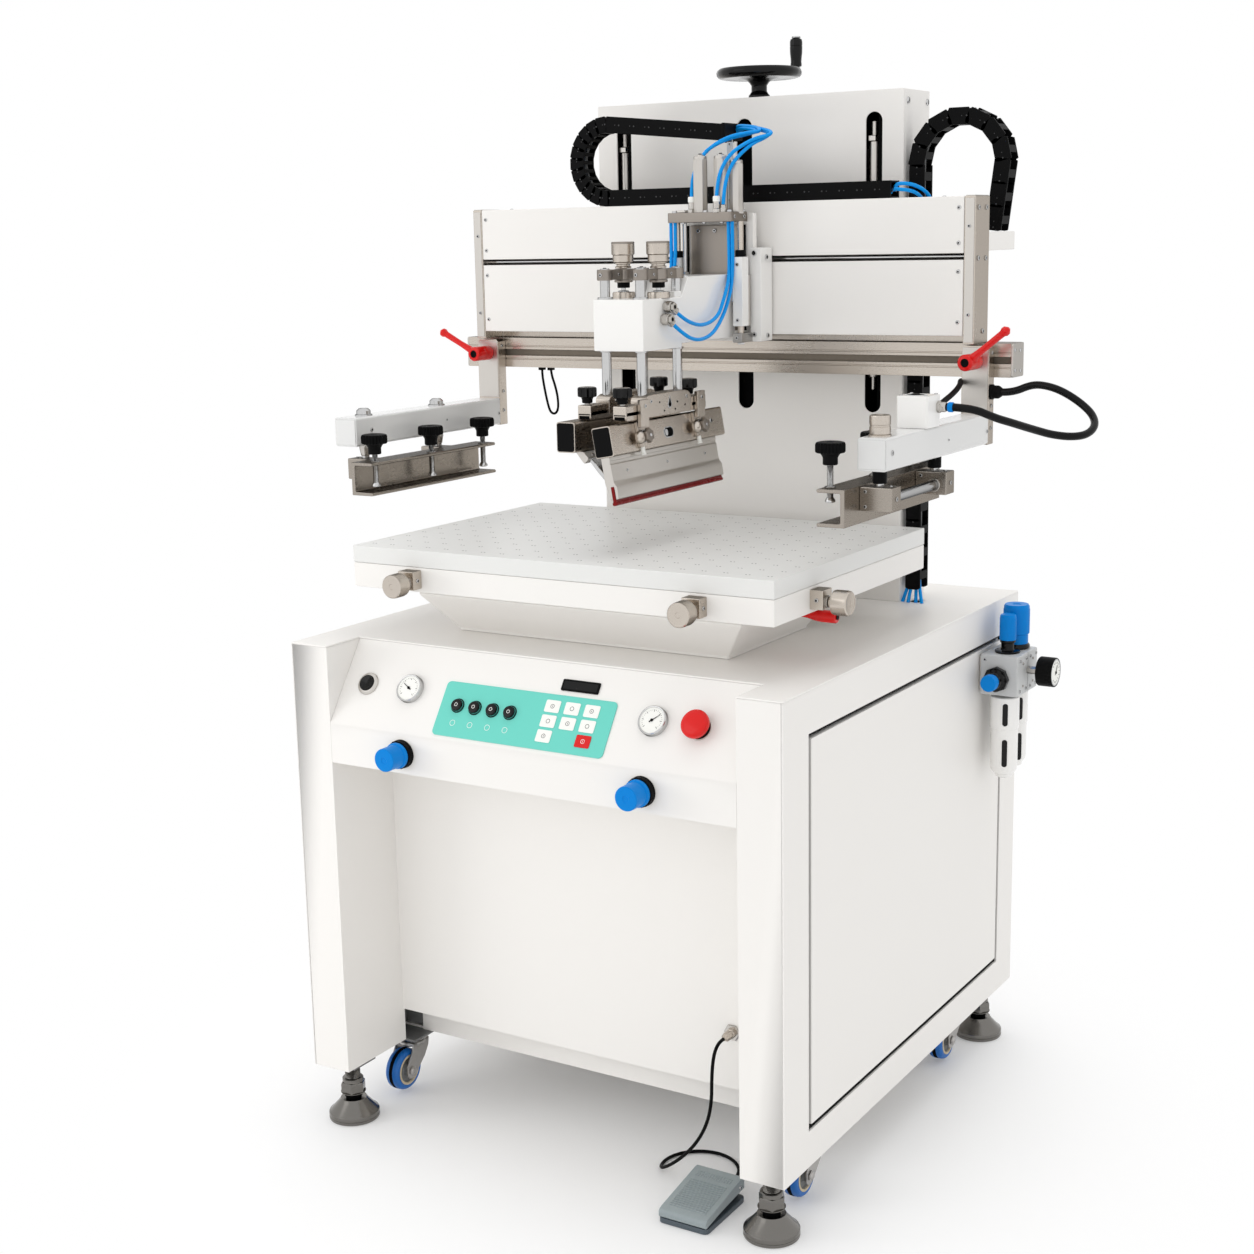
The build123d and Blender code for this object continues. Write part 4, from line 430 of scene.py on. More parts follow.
def route(name, points):
    """A curve whose control points are the route's points, in metres, with no thickness yet."""
    curve = bpy.data.curves.new(name, "CURVE")
    curve.dimensions = "3D"
    curve.resolution_u = 10
    spline = curve.splines.new("NURBS")
    spline.points.add(len(points) - 1)
    for p, q in zip(spline.points, points):
        p.co = (*q, 1)
    spline.order_u = 3
    spline.use_endpoint_u = True
    obj = bpy.data.objects.new(name, curve)
    scene.collection.objects.link(obj)
    return obj


def line_of(obj):
    mesh = bpy.data.meshes.new_from_object(obj)
    line = [v.co.copy() for v in mesh.vertices]
    bpy.data.meshes.remove(mesh)
    return line


def length_of(line):
    return sum((b - a).length for a, b in zip(line, line[1:]))


def nurbs(name, points, diameter, mat, body, replaces=()):
    obj = route(name, points)
    obj.data.bevel_depth = diameter / 2
    obj.data.bevel_resolution = 6
    obj.data.use_fill_caps = True
    obj.data.materials.append(mat)
    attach(obj, body)
    if replaces:
        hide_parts(*replaces)
    return obj


AIR_TUBE = 0.0055  # diameter in metres


def air_tube(name, points, body=None, blend=None):
    """A blue air tube through points in millimetres, and a mesh tube where it crosses a joint."""
    points = [metres(*q) for q in points]
    bare = route(name + "_route", points)
    line = line_of(bare)
    bpy.data.objects.remove(bare)
    if body:
        obj = nurbs(name, points, AIR_TUBE, TUBE_BLUE, body)
    else:
        p = Piece(name)
        p.add(sweep([v / MM for v in line], AIR_TUBE / MM / 2, 14), TUBE_BLUE)
        obj = p.done(blend=blend)


PEDAL_CABLE = [
    (0.254, -0.310, 0.233), (0.254, -0.320, 0.233), (0.2536, -0.330, 0.228), (0.253, -0.336, 0.2175),
    (0.2515, -0.3375, 0.202), (0.249, -0.3355, 0.179), (0.2465, -0.332, 0.147), (0.238, -0.328, 0.113),
    (0.221, -0.325, 0.079), (0.196, -0.322, 0.048), (0.168, -0.316, 0.023), (0.147, -0.306, 0.0085),
    (0.136, -0.289, 0.003), (0.134, -0.268, 0.003), (0.141, -0.247, 0.003), (0.157, -0.228, 0.003),
    (0.181, -0.217, 0.003), (0.207, -0.218, 0.003), (0.230, -0.230, 0.003), (0.245, -0.249, 0.003),
    (0.2515, -0.272, 0.004), (0.253, -0.290, 0.0085), (0.252, -0.305, 0.012), (0.252, -0.318, 0.012),
]
SENSOR_LOOP = [
    (-0.349, 0.176, 1.118), (-0.349, 0.176, 1.110), (-0.3475, 0.1766, 1.097), (-0.344, 0.1769, 1.078),
    (-0.3395, 0.177, 1.059), (-0.335, 0.1772, 1.047), (-0.3255, 0.1772, 1.0445), (-0.319, 0.177, 1.054),
    (-0.3195, 0.1768, 1.074), (-0.3245, 0.1765, 1.094), (-0.330, 0.176, 1.109), (-0.331, 0.176, 1.118),
]
ARM_HOSE = [
    (0.474, 0.14265, 1.104), (0.491, 0.14265, 1.104), (0.5194, 0.1431, 1.1164), (0.5461, 0.1368, 1.1149),
    (0.5691, 0.1352, 1.1072), (0.5925, 0.1373, 1.0927), (0.6132, 0.1300, 1.0774), (0.6249, 0.1081, 1.0637),
    (0.6217, 0.0825, 1.0538), (0.6068, 0.0606, 1.0522), (0.5846, 0.0446, 1.0560), (0.5699, 0.0260, 1.0630),
    (0.5590, 0.0040, 1.0700), (0.5490, -0.0170, 1.0770), (0.5340, -0.0400, 1.0850), (0.5082, -0.0620, 1.1000),
    (0.4730, -0.0620, 1.1000),
]


def make_cords():
    cable = nurbs("pedal_lead", PEDAL_CABLE, 0.005, BLACK, "stand", ["pedal_cable"])
    sensor = nurbs("sensor_lead", SENSOR_LOOP, 0.004, BLACK, "head", ["sensor_cable"])
    hose = nurbs("arm_hose_jacket", ARM_HOSE, 0.011, HOSE, "right_clamp", ["arm_hose"])
    end = Piece("hose_fitting")
    at = place(459.5, -62, 1100, "x")
    end.nut(at, 8.4, 5, NICKEL, 0.6)
    end.turn([(6.4, 4.4), (7, 5.4), (7, 11), (6.3, 12), (5.8, 13)], 32, NICKEL, at)
    end.turn([(3.6, 12.6), (3.6, 16.2)], 24, TUBE_BLUE, at)
    end.turn([(6.2, 16), (6.9, 16.6), (6.9, 22), (6.3, 23), (5.7, 23)], 32, BLUE, at)
    fitting = end.done("right_clamp")
    # a shorter hose runs back from the block to the plate
    points = [metres(*q) for q in (
        (448, -46, 1098), (447.5, -32, 1099), (445, -10, 1101), (440, 20, 1104), (436, 50, 1108),
        (430, 84, 1113), (421, 116, 1117), (412, 138, 1119), (407, 158, 1118), (405, 172, 1116)
    )]
    short = route("short_route", points)
    length = length_of(line_of(short))
    bpy.data.objects.remove(short)
    short = nurbs("arm_hose_short", points, 0.008, RUBBER, "right_clamp")
    # air tubes from the traverse chain's moving end to the cylinders
    air_tube("air_tube_a", [
        (40, 141, 1490), (44.4, 138, 1496.4), (71.4, 130, 1494.1), (94.5, 118, 1490.2), (103.2, 104, 1484),
        (89.8, 95, 1483.1), (66.6, 86, 1479.1), (47.3, 80, 1471.3), (29.5, 76, 1459.9), (17, 70, 1443.3),
        (13.8, 60, 1423.9), (14.9, 52, 1404.3), (17, 48, 1389.7)
    ], "carriage")
    air_tube("air_tube_b", [
        (34, 141, 1487), (51.1, 136, 1492.8), (80.1, 124, 1489.4), (94.8, 112, 1484.7), (84.4, 100, 1481.1),
        (62.7, 88, 1476.2), (45.5, 78, 1468.5), (35.7, 70, 1461.1), (32.1, 62, 1455), (32, 56, 1450)
    ], "carriage")
    air_tube("air_tube_c", [
        (38, 141, 1482), (57.9, 134, 1496.3), (93.5, 120, 1489.8), (123.9, 104, 1483.1),
        (125.1, 92, 1477.4), (109.5, 84, 1474.7), (95, 70, 1465.6), (84.2, 50, 1452.9), (73, 42, 1434.1),
        (67.2, 38, 1412.6), (65, 38, 1391)
    ], "carriage")
    air_tube("air_tube_d", [
        (36, 145, 1484), (59.7, 136, 1494.4), (95.2, 122, 1487.4), (119.1, 108, 1481.1),
        (115.6, 96, 1474.1), (103.7, 80, 1466.4), (93.2, 64, 1452.8), (85.5, 48, 1436.3), (80, 42, 1417.2),
        (76.8, 40, 1398.1), (74.5, 41, 1379)
    ], "carriage")
    # air tubes from the carriage's top plate down to the unit
    down = ("carriage", "unit", (0, 0, 1.35), (0, 0, 1.24))
    air_tube("air_tube_g", [
        (80.6, 45, 1355), (81.6, 45, 1313), (81.2, 45, 1277), (90, 23.4, 1260.7), (90, 10.2, 1239.4),
        (90, -2.9, 1220.6), (92, -31.8, 1209.9), (94, -65.1, 1206.8), (95, -95.7, 1211.8),
        (94, -119.9, 1221.1), (90, -129.2, 1229)
    ], blend=down)
    air_tube("air_tube_h", [
        (87, 45, 1355), (87.6, 45, 1313), (86.8, 45, 1277), (90, 33.6, 1253.1), (90, 17.6, 1227),
        (92, -6.8, 1206.3), (95, -35.1, 1192.2), (98, -72.7, 1186.4), (98, -101.6, 1189.9),
        (96, -121.6, 1199.1), (92, -133.3, 1207.8), (90, -139, 1212.7)
    ], blend=down)
    air_tube("air_tube_i", [
        (-16, 42, 1355), (-16, 42, 1330), (-16, 42, 1300), (-16, 39, 1268), (-13, 33, 1248), (-3.5, 28, 1240)
    ], blend=down)
    air_tube("air_tube_j", [
        (-8.8, 42, 1355), (-8.8, 42, 1330), (-8.8, 41, 1300), (-9, 34, 1264), (-9, 22, 1242), (-3.5, 8, 1230)
    ], blend=down)
    # air tubes from the traverse chain's fixed end down behind the head
    air_tube("air_tube_e", [
        (303, 141, 1392), (304.5, 143, 1402.8), (318.6, 152, 1403), (326.3, 168, 1400),
        (334.9, 182, 1392.5), (340.7, 190, 1382), (344, 194, 1362), (345, 195, 1340)
    ], "head")
    air_tube("air_tube_f", [
        (299, 138, 1389), (302, 138, 1396), (311.8, 143, 1394.5), (321.5, 154, 1393.1),
        (326.4, 168, 1390.1), (331, 181, 1382), (334, 186, 1362), (335, 187, 1340)
    ], "head")
    # four tubes fan out from the lift chain's low end into the deck
    for k, (dx, dy, x1, y1) in enumerate((
        (-8, -6, -17, -15), (-3, -8, -6, -19), (3, -6, 6, -16), (8, -8, 17, -18)
    )):
        air_tube(f"air_tube_k{k}", [
            (291 + dx, 270 + dy, 808), (291 + dx, 270 + dy, 793),
            (291 + (dx + x1) / 2, 270 + (dy + y1) / 2 - 1, 776), (291 + x1, 270 + y1, 759.6)
        ], blend=("crosshead", "stand", (0, 0, 0.793), (0, 0, 0.762)))


make_cords()


# ------------------------------------------------------------ cabinet
CABINET_FRONT, CABINET_BACK = -420, 420
for node_name in (
    "cabinet_panels", "cabinet_top", "control_console", "side_door", "column_cover", "head_covers"
):
    dress(node_name, WHITE, 0.0012)
dress("cabinet_frame", FRAME_PAINT)
dress("cabinet_internals", GREY, 0.002)
dress("column_guides", STEEL)
dress("height_carriage", ALUMINIUM["x"])
dress("traverse_guides", STEEL, 0)
dress("table_base", ALUMINIUM["x"])


def cabinet_details():
    # a dark rubber seal lies in the gap round the door
    p = Piece("door_seal")
    y0, y1, z0, z1, x0, x1, wide = -346.0, 353.0, 147.0, 700.0, 398.5, 402.5, 3.4
    for y in (y0, y1 - wide):
        p.box(x0, x1, y, y + wide, z0, z1, RUBBER, 0.8)
    for z in (z0, z1 - wide):
        p.box(x0, x1, y0 + wide, y1 - wide, z, z + wide, RUBBER, 0.8)
    p.done("stand")
    p = Piece("cabinet_screws")
    for x in (-380, -190, 0, 190, 380):
        for z in (115, 420, 730):
            p.pan_screw(place(x, CABINET_BACK, z, "y"), 4.5, NICKEL)
    p.done("stand")
    p = Piece("rear_louvres")
    for k in range(9):
        louvre = prism([(0, 0), (0, 12), (-6, 0)], -150, 150, 0.6)
        p.add(louvre, WHITE, place(-190, CABINET_BACK + 0.2, 200 + 22 * k) @ YZ_BACK)
    p.done("stand")


cabinet_details()


# ------------------------------------------------------------ console
FASCIA_LOW, FASCIA_HIGH, FASCIA_DEPTH = 645, 757, 76
BUTTON_XS = (-124, -94, -64, -34)
GAUGES = ((-214, 150), (194, 40))  # x and needle angle
REGULATORS = (("left", -206), ("right", 196))
STOP_X = 264


def on_fascia(x, up):
    """Local +Z out of the sloping fascia, with up measured along its slope."""
    a = math.atan2(FASCIA_HIGH - FASCIA_LOW, FASCIA_DEPTH)
    slope = Matrix((
        (1, 0, 0, 0), (0, math.cos(a), -math.sin(a), CABINET_FRONT),
        (0, math.sin(a), math.cos(a), FASCIA_LOW), (0, 0, 0, 1)
    ))
    return slope @ place(x, up, 0)


DIAL_START, DIAL_SWEEP = 225, 270  # degrees


def gauge_face(p, at, r, needle_angle):
    """A pressure gauge lying on the local plane: bezel, dial, scale and pointer."""
    p.turn([
        (r, 0), (r, 5.5), (r * 0.98, 7.6), (r * 0.94, 8.4), (r * 0.89, 8.2), (r * 0.87, 7)
    ], 56, STEEL, at)
    p.turn([(r * 0.88, 6.2), (r * 0.88, 7.2), (0, 7.2)], 40, DIAL, at)
    for k in range(25):
        a = DIAL_START - DIAL_SWEEP * k / 24
        long = k % 4 == 0
        r0, r1 = r * (0.58 if long else 0.66), r * 0.73
        tick = slab(r0, r1, -0.28 if long else -0.16, 0.28 if long else 0.16, 7.2, 7.4, 0)
        p.add(tick, BLACK, at @ spin(a))
    needle = prism([
        (-r * 0.22, -0.9), (-r * 0.22, 0.9), (r * 0.62, 0.22), (r * 0.62, -0.22)
    ], 7.5, 8.0, 0.1, 1)
    p.add(needle, BLACK, at @ spin(needle_angle))
    p.drum(r * 0.1, 7.2, 8.6, BLACK, at, 0.3, 20)


def console_parts():
    p = Piece("fascia_pad")
    p.add(prism(round_rect(286, 82, 7), 0, 1.5, 0.4), MINT, on_fascia(-11, 46.5))
    for row, up in enumerate((69.5, 47.5, 25.5)):
        for column, x in enumerate((31.5, 63.5, 95.5)):
            if (row, column) == (2, 1):
                continue
            mat = RED if (row, column) == (2, 2) else DIAL
            p.add(prism(round_rect(24, 18, 2.2), 1.5, 2.3, 0.3), mat, on_fascia(x, up))
            mark = BLACK if mat is DIAL else DIAL
            p.ring([(3.2, 2.25), (3.2, 2.4), (2.6, 2.4), (2.6, 2.25)], 20, mark, on_fascia(x, up))
            if (row + column) % 2 == 0:
                p.add(slab(-0.35, 0.35, -1.2, 1.2, 2.25, 2.4, 0), mark, on_fascia(x, up))
    for x in BUTTON_XS:
        p.ring([(10.8, 1.5), (10.8, 2.1), (10.2, 2.3), (9.4, 2.3), (9.4, 1.5)], 36, BLACK, on_fascia(x, 52))
        p.ring([(4.4, 1.5), (4.4, 1.7), (3.8, 1.7), (3.8, 1.5)], 20, DIAL, on_fascia(x, 26))
    p.add(prism(round_rect(61, 17, 2), 0, 2.0, 0.5), BLACK, on_fascia(66, 103))
    p.add(prism(round_rect(55, 11.5, 1), 1.9, 2.1, 0.1, 1), BLACK_GLOSS, on_fascia(66, 103))
    at = on_fascia(-293, 67)
    p.turn([(17, 0), (17, 2.0), (15.6, 3.6), (13, 4.4), (12.4, 4.4), (12.4, 1.5)], 48, ALUMINIUM["z"], at)
    p.turn([(12.3, 2), (12.3, 5.6), (11.2, 7), (4, 6.2), (0, 6.0)], 40, BLACK_GLOSS, at)
    for x, needle_angle in GAUGES:
        gauge_face(p, on_fascia(x, 67), 21, needle_angle)
    at = on_fascia(STOP_X, 67)
    p.turn([(16, 0), (16, 3), (15, 6), (11.5, 6), (11.5, 2)], 44, BLACK, at)
    p.ring([(17.5, 0), (17.5, 1.0), (16.8, 1.5), (16, 1.5), (16, 0)], 44, ALUMINIUM["z"], at)
    for _, x in REGULATORS:
        at = place(x, CABINET_FRONT, 615, "-y")
        p.turn([(20.6, 0), (21, 0.6), (21, 2.5), (20.4, 3.0), (20.4, 9), (19.4, 10)], 48, BLACK, at)
        p.turn([(20.9, 3.2, 1.0), (20.9, 8.6, 1.0)], 36, BLACK, at)
    # socket and plug of the pedal cable on the knee panel
    at = place(254, -282, 233, "-y")
    p.nut(at, 12.4, 4, NICKEL, 0.8)
    p.turn([
        (7.4, 4), (7.4, 8), (6.5, 8.6), (6.5, 21), (5.6, 22), (4.4, 24), (3.2, 28)
    ], 6, CHAMPAGNE["y"], at)
    p.done("stand", replaces=["panel_fittings"])

    p = Piece("stop_mushroom")
    p.turn([
        (8, -8), (8, 6.4), (10.6, 7.2), (11.2, 8.4), (11.2, 12), (19.4, 12.2), (20, 13), (20, 17),
        (19.2, 19.2), (17, 20.9), (12, 21.7), (0, 22)
    ], 56, RED, on_fascia(STOP_X, 67))
    p.done("estop", replaces=["estop_button"])

    p = Piece("round_buttons")
    for x in BUTTON_XS:
        at = on_fascia(x, 52)
        p.turn([
            (4, -7), (4, 3.6), (9, 4), (9.1, 5.4), (8.4, 6.6), (6.6, 7.3), (3, 7.0), (0, 6.9)
        ], 36, BLACK_GLOSS, at)
        p.ring([(2.7, 6.9), (2.7, 7.1), (2.0, 7.1), (2.0, 6.9)], 20, DIAL, at)
    p.done("buttons", replaces=["push_buttons"])
    for side, x in REGULATORS:
        p = Piece(f"{side}_regulator_cap")
        p.turn([
            (14, 10.4), (18.6, 10.6), (19, 11.4), (19, 15.2), (18.2, 16.2), (16.9, 17), (17, 40.2),
            (16.6, 41.6), (15.2, 42.3), (5, 42.1), (4.2, 41.4), (0, 41.4)
        ], 60, BLUE, place(x, CABINET_FRONT, 615, "-y"))
        p.done(f"regulator_{side}", replaces=[f"{side}_regulator_knob"])


console_parts()


# ------------------------------------------------------------ air unit on the side door
def air_unit():
    p = Piece("air_treatment")
    x0, xc, x1 = 409, 442, 470
    p.box(405, x0, 252, 328, 632, 684, ALUMINIUM["z"], 0.8)
    p.box(x0, x1, 246, 291.4, 626, 690, LIGHT_GREY, 2.5)
    p.box(x0, x1, 292.6, 334, 626, 690, LIGHT_GREY, 2.5)
    p.box(x0 + 3, x1 - 3, 290, 294, 630, 686, BLACK, 0.5)
    for y in (255, 283, 301, 326):
        for z in (634, 682):
            p.cap_screw(place(x1, y, z, "x"), 2.6, 1.6)
    for z in (634, 682):
        p.cap_screw(place(x0 + 8, 246, z, "-y"), 2.6, 1.6)
    for y, r, low, facing in ((269, 22.5, 498, -68), (313, 20.5, 506, -46)):
        at = place(xc, y, 0)
        p.turn([(r - 1, 622), (r, 621), (r, 572), (r - 1, 570.6)], 48, WHITE_GLOSS, at)
        p.turn([
            (r - 1.4, 571), (r - 1.4, low + 12), (r - 2.6, low + 6), (r - 6, low + 1), (14, low), (0, low)
        ], 48, WHITE_GLOSS, at)
        p.turn([
            (13, low + 1), (13, low - 4), (12, low - 5.4), (7, low - 5.4), (6, low - 8), (0, low - 8)
        ], 36, WHITE_GLOSS, at)
        # painted shade: six dark discs under each bowl stand in for its holes
        for k in range(6):
            a = math.radians(60 * k)
            p.drum(
                1.3, 0, 0.6, DARK, place(xc + 9.6 * math.cos(a), y + 9.6 * math.sin(a), low - 5.4, "-z"),
                0.1, 12
            )
        # windows: a lip with round ends, and the dark glass
        for middle, tall, out in ((596, 36, r), (534, 44, r - 1.4)):
            side = at @ spin(facing) @ place(0, 0, middle) @ YZ
            p.add(prism(round_rect(12, tall + 4, 5.9), out - 3, out + 0.3, 0.3), WHITE_GLOSS, side)
            p.add(prism(round_rect(8.4, tall, 4.1), out - 3, out + 0.7, 0.2), BLACK_GLOSS, side)
        for z in (640, 676):
            p.drum(2.2, 0, 1.2, NICKEL, place(x1, y, z, "x"), 0.4, 20)
    knob = [
        (12.2, 710, 0), (13, 711.5, 0.7), (13, 744, 0.7), (12.4, 745.5, 0), (12.4, 748, 0), (11, 750, 0),
        (4, 749.6), (0, 749.6)
    ]
    p.turn([
        (19, 690), (19.6, 691), (19.6, 693), (18, 694), (11, 694.6), (10, 697), (10, 705), (12, 706.5),
        (12, 710)
    ], 40, BLACK_GLOSS, place(xc, 276, 0))
    p.turn(knob, 48, BLUE, place(xc, 276, 0))
    p.turn([
        (19, 690), (21.6, 692), (21.6, 695), (20, 697.6), (18, 698.6)
    ], 48, BLACK_GLOSS, place(xc, 313, 0))
    p.turn([
        (18.6, 698, 0), (18.6, 713, 0), (20, 714, 0), (20.5, 715, 0.8), (20.5, 752, 0.8), (19.8, 753.5, 0),
        (19.8, 757, 0), (18, 760, 0), (7, 759.4), (6, 758.4), (0, 758.4)
    ], 60, BLUE, place(xc, 313, 0))
    at = place(xc - 5, 246, 653, "-y")
    p.turn([(19.4, 0), (20, 0.8), (20, 8.6), (18.6, 10)], 8, BLACK_GLOSS, at)
    p.turn([(17, 9), (17, 14), (14, 16), (13, 22), (12, 23)], 40, BLACK_GLOSS, at)
    p.turn([(11.6, 22), (11.6, 27), (13, 28), (13, 37.6), (12, 39.6), (10, 40), (0, 39.6)], 40, BLUE, at)
    p.turn([(6, 0), (6, 14), (9, 14.6), (9, 18)], 6, NICKEL, place(x1, 290, 662, "x"))
    at = place(488, 290, 662, "x")
    p.turn([(15, 0), (22, 1.5), (23, 3), (23, 26), (22.4, 27.4), (21.6, 27.6), (21, 26.8)], 56, BLACK, at)
    p.turn([(21.2, 26.9), (20, 27.8), (19, 27.4), (18.6, 26.9)], 56, LIGHT_GREY, at)
    p.turn([(19, 26.2), (19, 27.2), (0, 27.2)], 48, DIAL, at)
    for k in range(13):
        p.add(slab(14, 17, -0.3, 0.3, 27.1, 27.5, 0), BLACK, at @ spin(DIAL_START - DIAL_SWEEP * k / 12))
    p.add(slab(-4, 12, -0.5, 0.5, 27.6, 28.0, 0), BLACK, at @ spin(150))
    p.drum(2.2, 27, 28.6, BLACK, at, 0.3, 20)
    # inlet port, a threaded hole at the back, lined with painted shade
    p.turn([(9.5, 0), (9.5, 0.1), (5.8, 0.1), (5.8, -15.8), (0, -15.8)], 32, DARK, place(442, 334, 663, "y"))
    p.done("door", replaces=["air_unit"])


air_unit()


# ------------------------------------------------------------ column and handwheel
WHEEL_Y = 300
GRIP_REACH, GRIP_ANGLE = 60, 38.5


def column_parts():
    p = Piece("column_fixings")
    for s in (1, -1):
        for y in (263, 336):
            p.pan_screw(place(s * 272, y, 1528, OUT[s]), 5.2)
    for x in (-240, -80, 80, 240):
        for z in (800, 1160, 1520):
            p.pan_screw(place(x, 346, z, "y"), 4.5)
    p.done("stand")
    # painted shade: dark sheets behind the slots stand in for the shade inside the column
    p = Piece("column_lining")
    for x in (-223, 0, 223):
        p.box(x - 24, x + 24, 338, 342.5, 1010, 1530, DARK, 1)
        for s in (-1, 1):
            p.box(x + s * 24, x + s * 22.5, 252.5, 342.5, 1010, 1530, DARK, 0.3)
    for z0, z1 in ((1395, 1530), (1040, 1145)):
        p.box(-20, 20, 262, 268, z0, z1, DARK, 1)
    p.done("stand")
    # rods just behind the outer slots, with a nut and a stud on top
    p = Piece("slot_rods")
    for x in (-230, 217):
        p.drum(8.5, 1395, 1470, ALUMINIUM["z"], place(x, 264, 0), 0.8)
        # painted shade: dark strips beside each rod, where the slot lies in shade
        p.box(x + 9, x + 26, 258, 263, 1395, 1530, DARK, 0.8)
        p.box(x + 9, x + 26, 258, 263, 1040, 1145, DARK, 0.8)
        p.nut(place(x, 264, 1470), 11, 9, NICKEL, 1)
        p.drum(5, 1478, 1500, ALUMINIUM["z"], place(x, 264, 0), 0.8)
    p.drum(8.5, 1112, 1145, ALUMINIUM["z"], place(217, 264, 0), 0.8)
    p.drum(4, 1092, 1113, NICKEL, place(217, 264, 0), 0.8)
    p.done("stand")

    p = Piece("hand_wheel")
    axle = place(0, WHEEL_Y, 0)
    hub = [
        (0, 1545.3), (15.5, 1545.3), (17, 1546.5), (17, 1551), (15, 1553), (12.5, 1557), (12.5, 1566),
        (16, 1571), (21, 1574.5)
    ]
    web = [(34, 1578), (50, 1577.5)]
    under = [(55, 1577, 0.0), (60, 1576.8, 0.9), (64.5, 1578.2, 1.6), (67.3, 1581.5, 1.8)]
    over = [
        (68, 1586, 1.2), (66.6, 1590, 0.6), (63, 1592.6, 0.0), (58, 1592.4), (54, 1589.4), (40, 1585),
        (22, 1585), (17, 1587), (16, 1590), (9, 1591), (0, 1591)
    ]
    p.turn(hub + web + under + over, 48, BLACK_GLOSS, axle)
    p.drum(6, 1590.5, 1593, STEEL, axle, 0.6, 24)
    gx = GRIP_REACH * math.cos(math.radians(GRIP_ANGLE))
    gy = WHEEL_Y + GRIP_REACH * math.sin(math.radians(GRIP_ANGLE))
    p.drum(6.5, 1588, 1594, STEEL, place(gx, gy, 0), 0.5, 24)
    p.drum(4, 1590, 1638.5, STEEL, place(gx, gy, 0), 0.5, 20)
    p.drum(7, 1638.2, 1641, STEEL, place(gx, gy, 0), 0.9, 24)
    p.drum(10, 1388, 1560, STEEL, axle, 0.8)
    for k in range(28):
        p.turn([(10, 0), (10.6, 1.2), (10.6, 1.8), (10, 3)], 32, STEEL, place(0, WHEEL_Y, 1392 + 5 * k))
    p.done("wheel", replaces=["handwheel"])
    p = Piece("crank_handle")
    p.turn([
        (7.6, 1594.4), (8.8, 1595.2), (9, 1598), (8.5, 1602), (8.9, 1608), (9.8, 1616), (10, 1624),
        (10, 1625.6), (9.6, 1626), (9.6, 1626.6), (10, 1627), (9.9, 1633), (9, 1636.4), (7, 1637.7),
        (0, 1637.7)
    ], 44, BLACK_GLOSS, place(gx, gy, 0))
    p.done("grip", replaces=["crank_grip"])


column_parts()


# ------------------------------------------------------------ energy chains
TRAVERSE_RADIUS, LIFT_RADIUS = 56.6, 67.5
SAG = math.atan2(22, 220)
CHAIN_THICK, CHAIN_WIDE = 25, 32


def chain_link(p, at, pitch, closed):
    """Two side plates with rivets and a crossbar on each face. Local x runs along and z is outward."""
    h, w = CHAIN_THICK / 2, CHAIN_WIDE / 2
    half = pitch / 2
    for s in (-1, 1):
        y0, y1 = sorted((s * w, s * (w - 3.4)))
        if closed:
            p.add(slab(-half, half, y0, y1, -h, h, 0), BLACK, at)
        else:
            outline = [
                (-half - 4.5, -h * 0.6), (-half - 2, -h), (half - 1.5, -h), (half, -h * 0.6),
                (half, h * 0.6), (half - 1.5, h), (-half - 2, h), (-half - 4.5, h * 0.6)
            ]
            p.add(prism(outline, y0, y1, 0.5, 1, 50), BLACK, at @ XZ)
        for x, r in ((half * 0.72, 1.3), (half * 0.2, 0.9)):
            p.turn([
                (r, 0), (r, 0.3), (r * 0.6, 0.5), (0, 0.5)
            ], 10, RIVET, at @ place(x, s * w, 0, "y" if s > 0 else "-y"))
    reach = half if closed else half * 0.36
    for z0, z1 in ((h - 2.4, h - 0.1), (-h + 0.1, -h + 2.4)):
        p.box(-reach, reach, -w + 2, w - 2, z0, z1, BLACK, 0 if closed else 0.5, at)


def chain_run(name, path, start, end, links, blend, replaces=(), closed=False):
    """Links and the tubes inside them, from path(start) to path(end).

    A path gives a point on the chain, the direction of the run and the outward side.
    """
    p = Piece(name)
    pitch = (end - start) / links
    for k in range(links):
        point, along, outward = path(start + pitch * (k + 0.5))
        side = outward.cross(along)
        at = Matrix((along, side, outward)).transposed().to_4x4()
        at.translation = point
        chain_link(p, at, pitch, closed)
    for offset, lift, mat, r in (
        (-8, 1, NAVY, 3), (-1.5, -1, BLACK, 3.2), (5, 1, NAVY, 3), (10, -2, GREY, 2)
    ):
        line = []
        for k in range(links * 3 + 1):
            point, along, outward = path(start + pitch * k / 3)
            line.append(point + outward.cross(along) * offset + outward * lift)
        p.add(sweep(line, r, 10), mat)
    return p.done(replaces=replaces, blend=blend)


def traverse_path(s):
    """The place, direction and outward side at s along the run, the bend and the upper run of the chain."""
    low, high, bend, radius, x0 = 1394.8, 1508.0, -180.0, TRAVERSE_RADIUS, 305.0
    run = x0 - bend
    arc = math.pi * radius
    if s <= run:
        return Vector((x0 - s, 141, low)), Vector((-1, 0, 0)), Vector((0, 0, -1))
    if s <= run + arc:
        a = (s - run) / radius
        out = Vector((-math.sin(a), 0, -math.cos(a)))
        return Vector((bend, 141, (low + high) / 2)) + out * radius, Vector((
            -math.cos(a), 0, math.sin(a)
        )), out
    # the upper run sags towards its moving end
    along = Vector((math.cos(SAG), 0, -math.sin(SAG)))
    return Vector((bend, 141, high)) + along * (s - run - arc), along, Vector((
        math.sin(SAG), 0, math.cos(SAG)
    ))


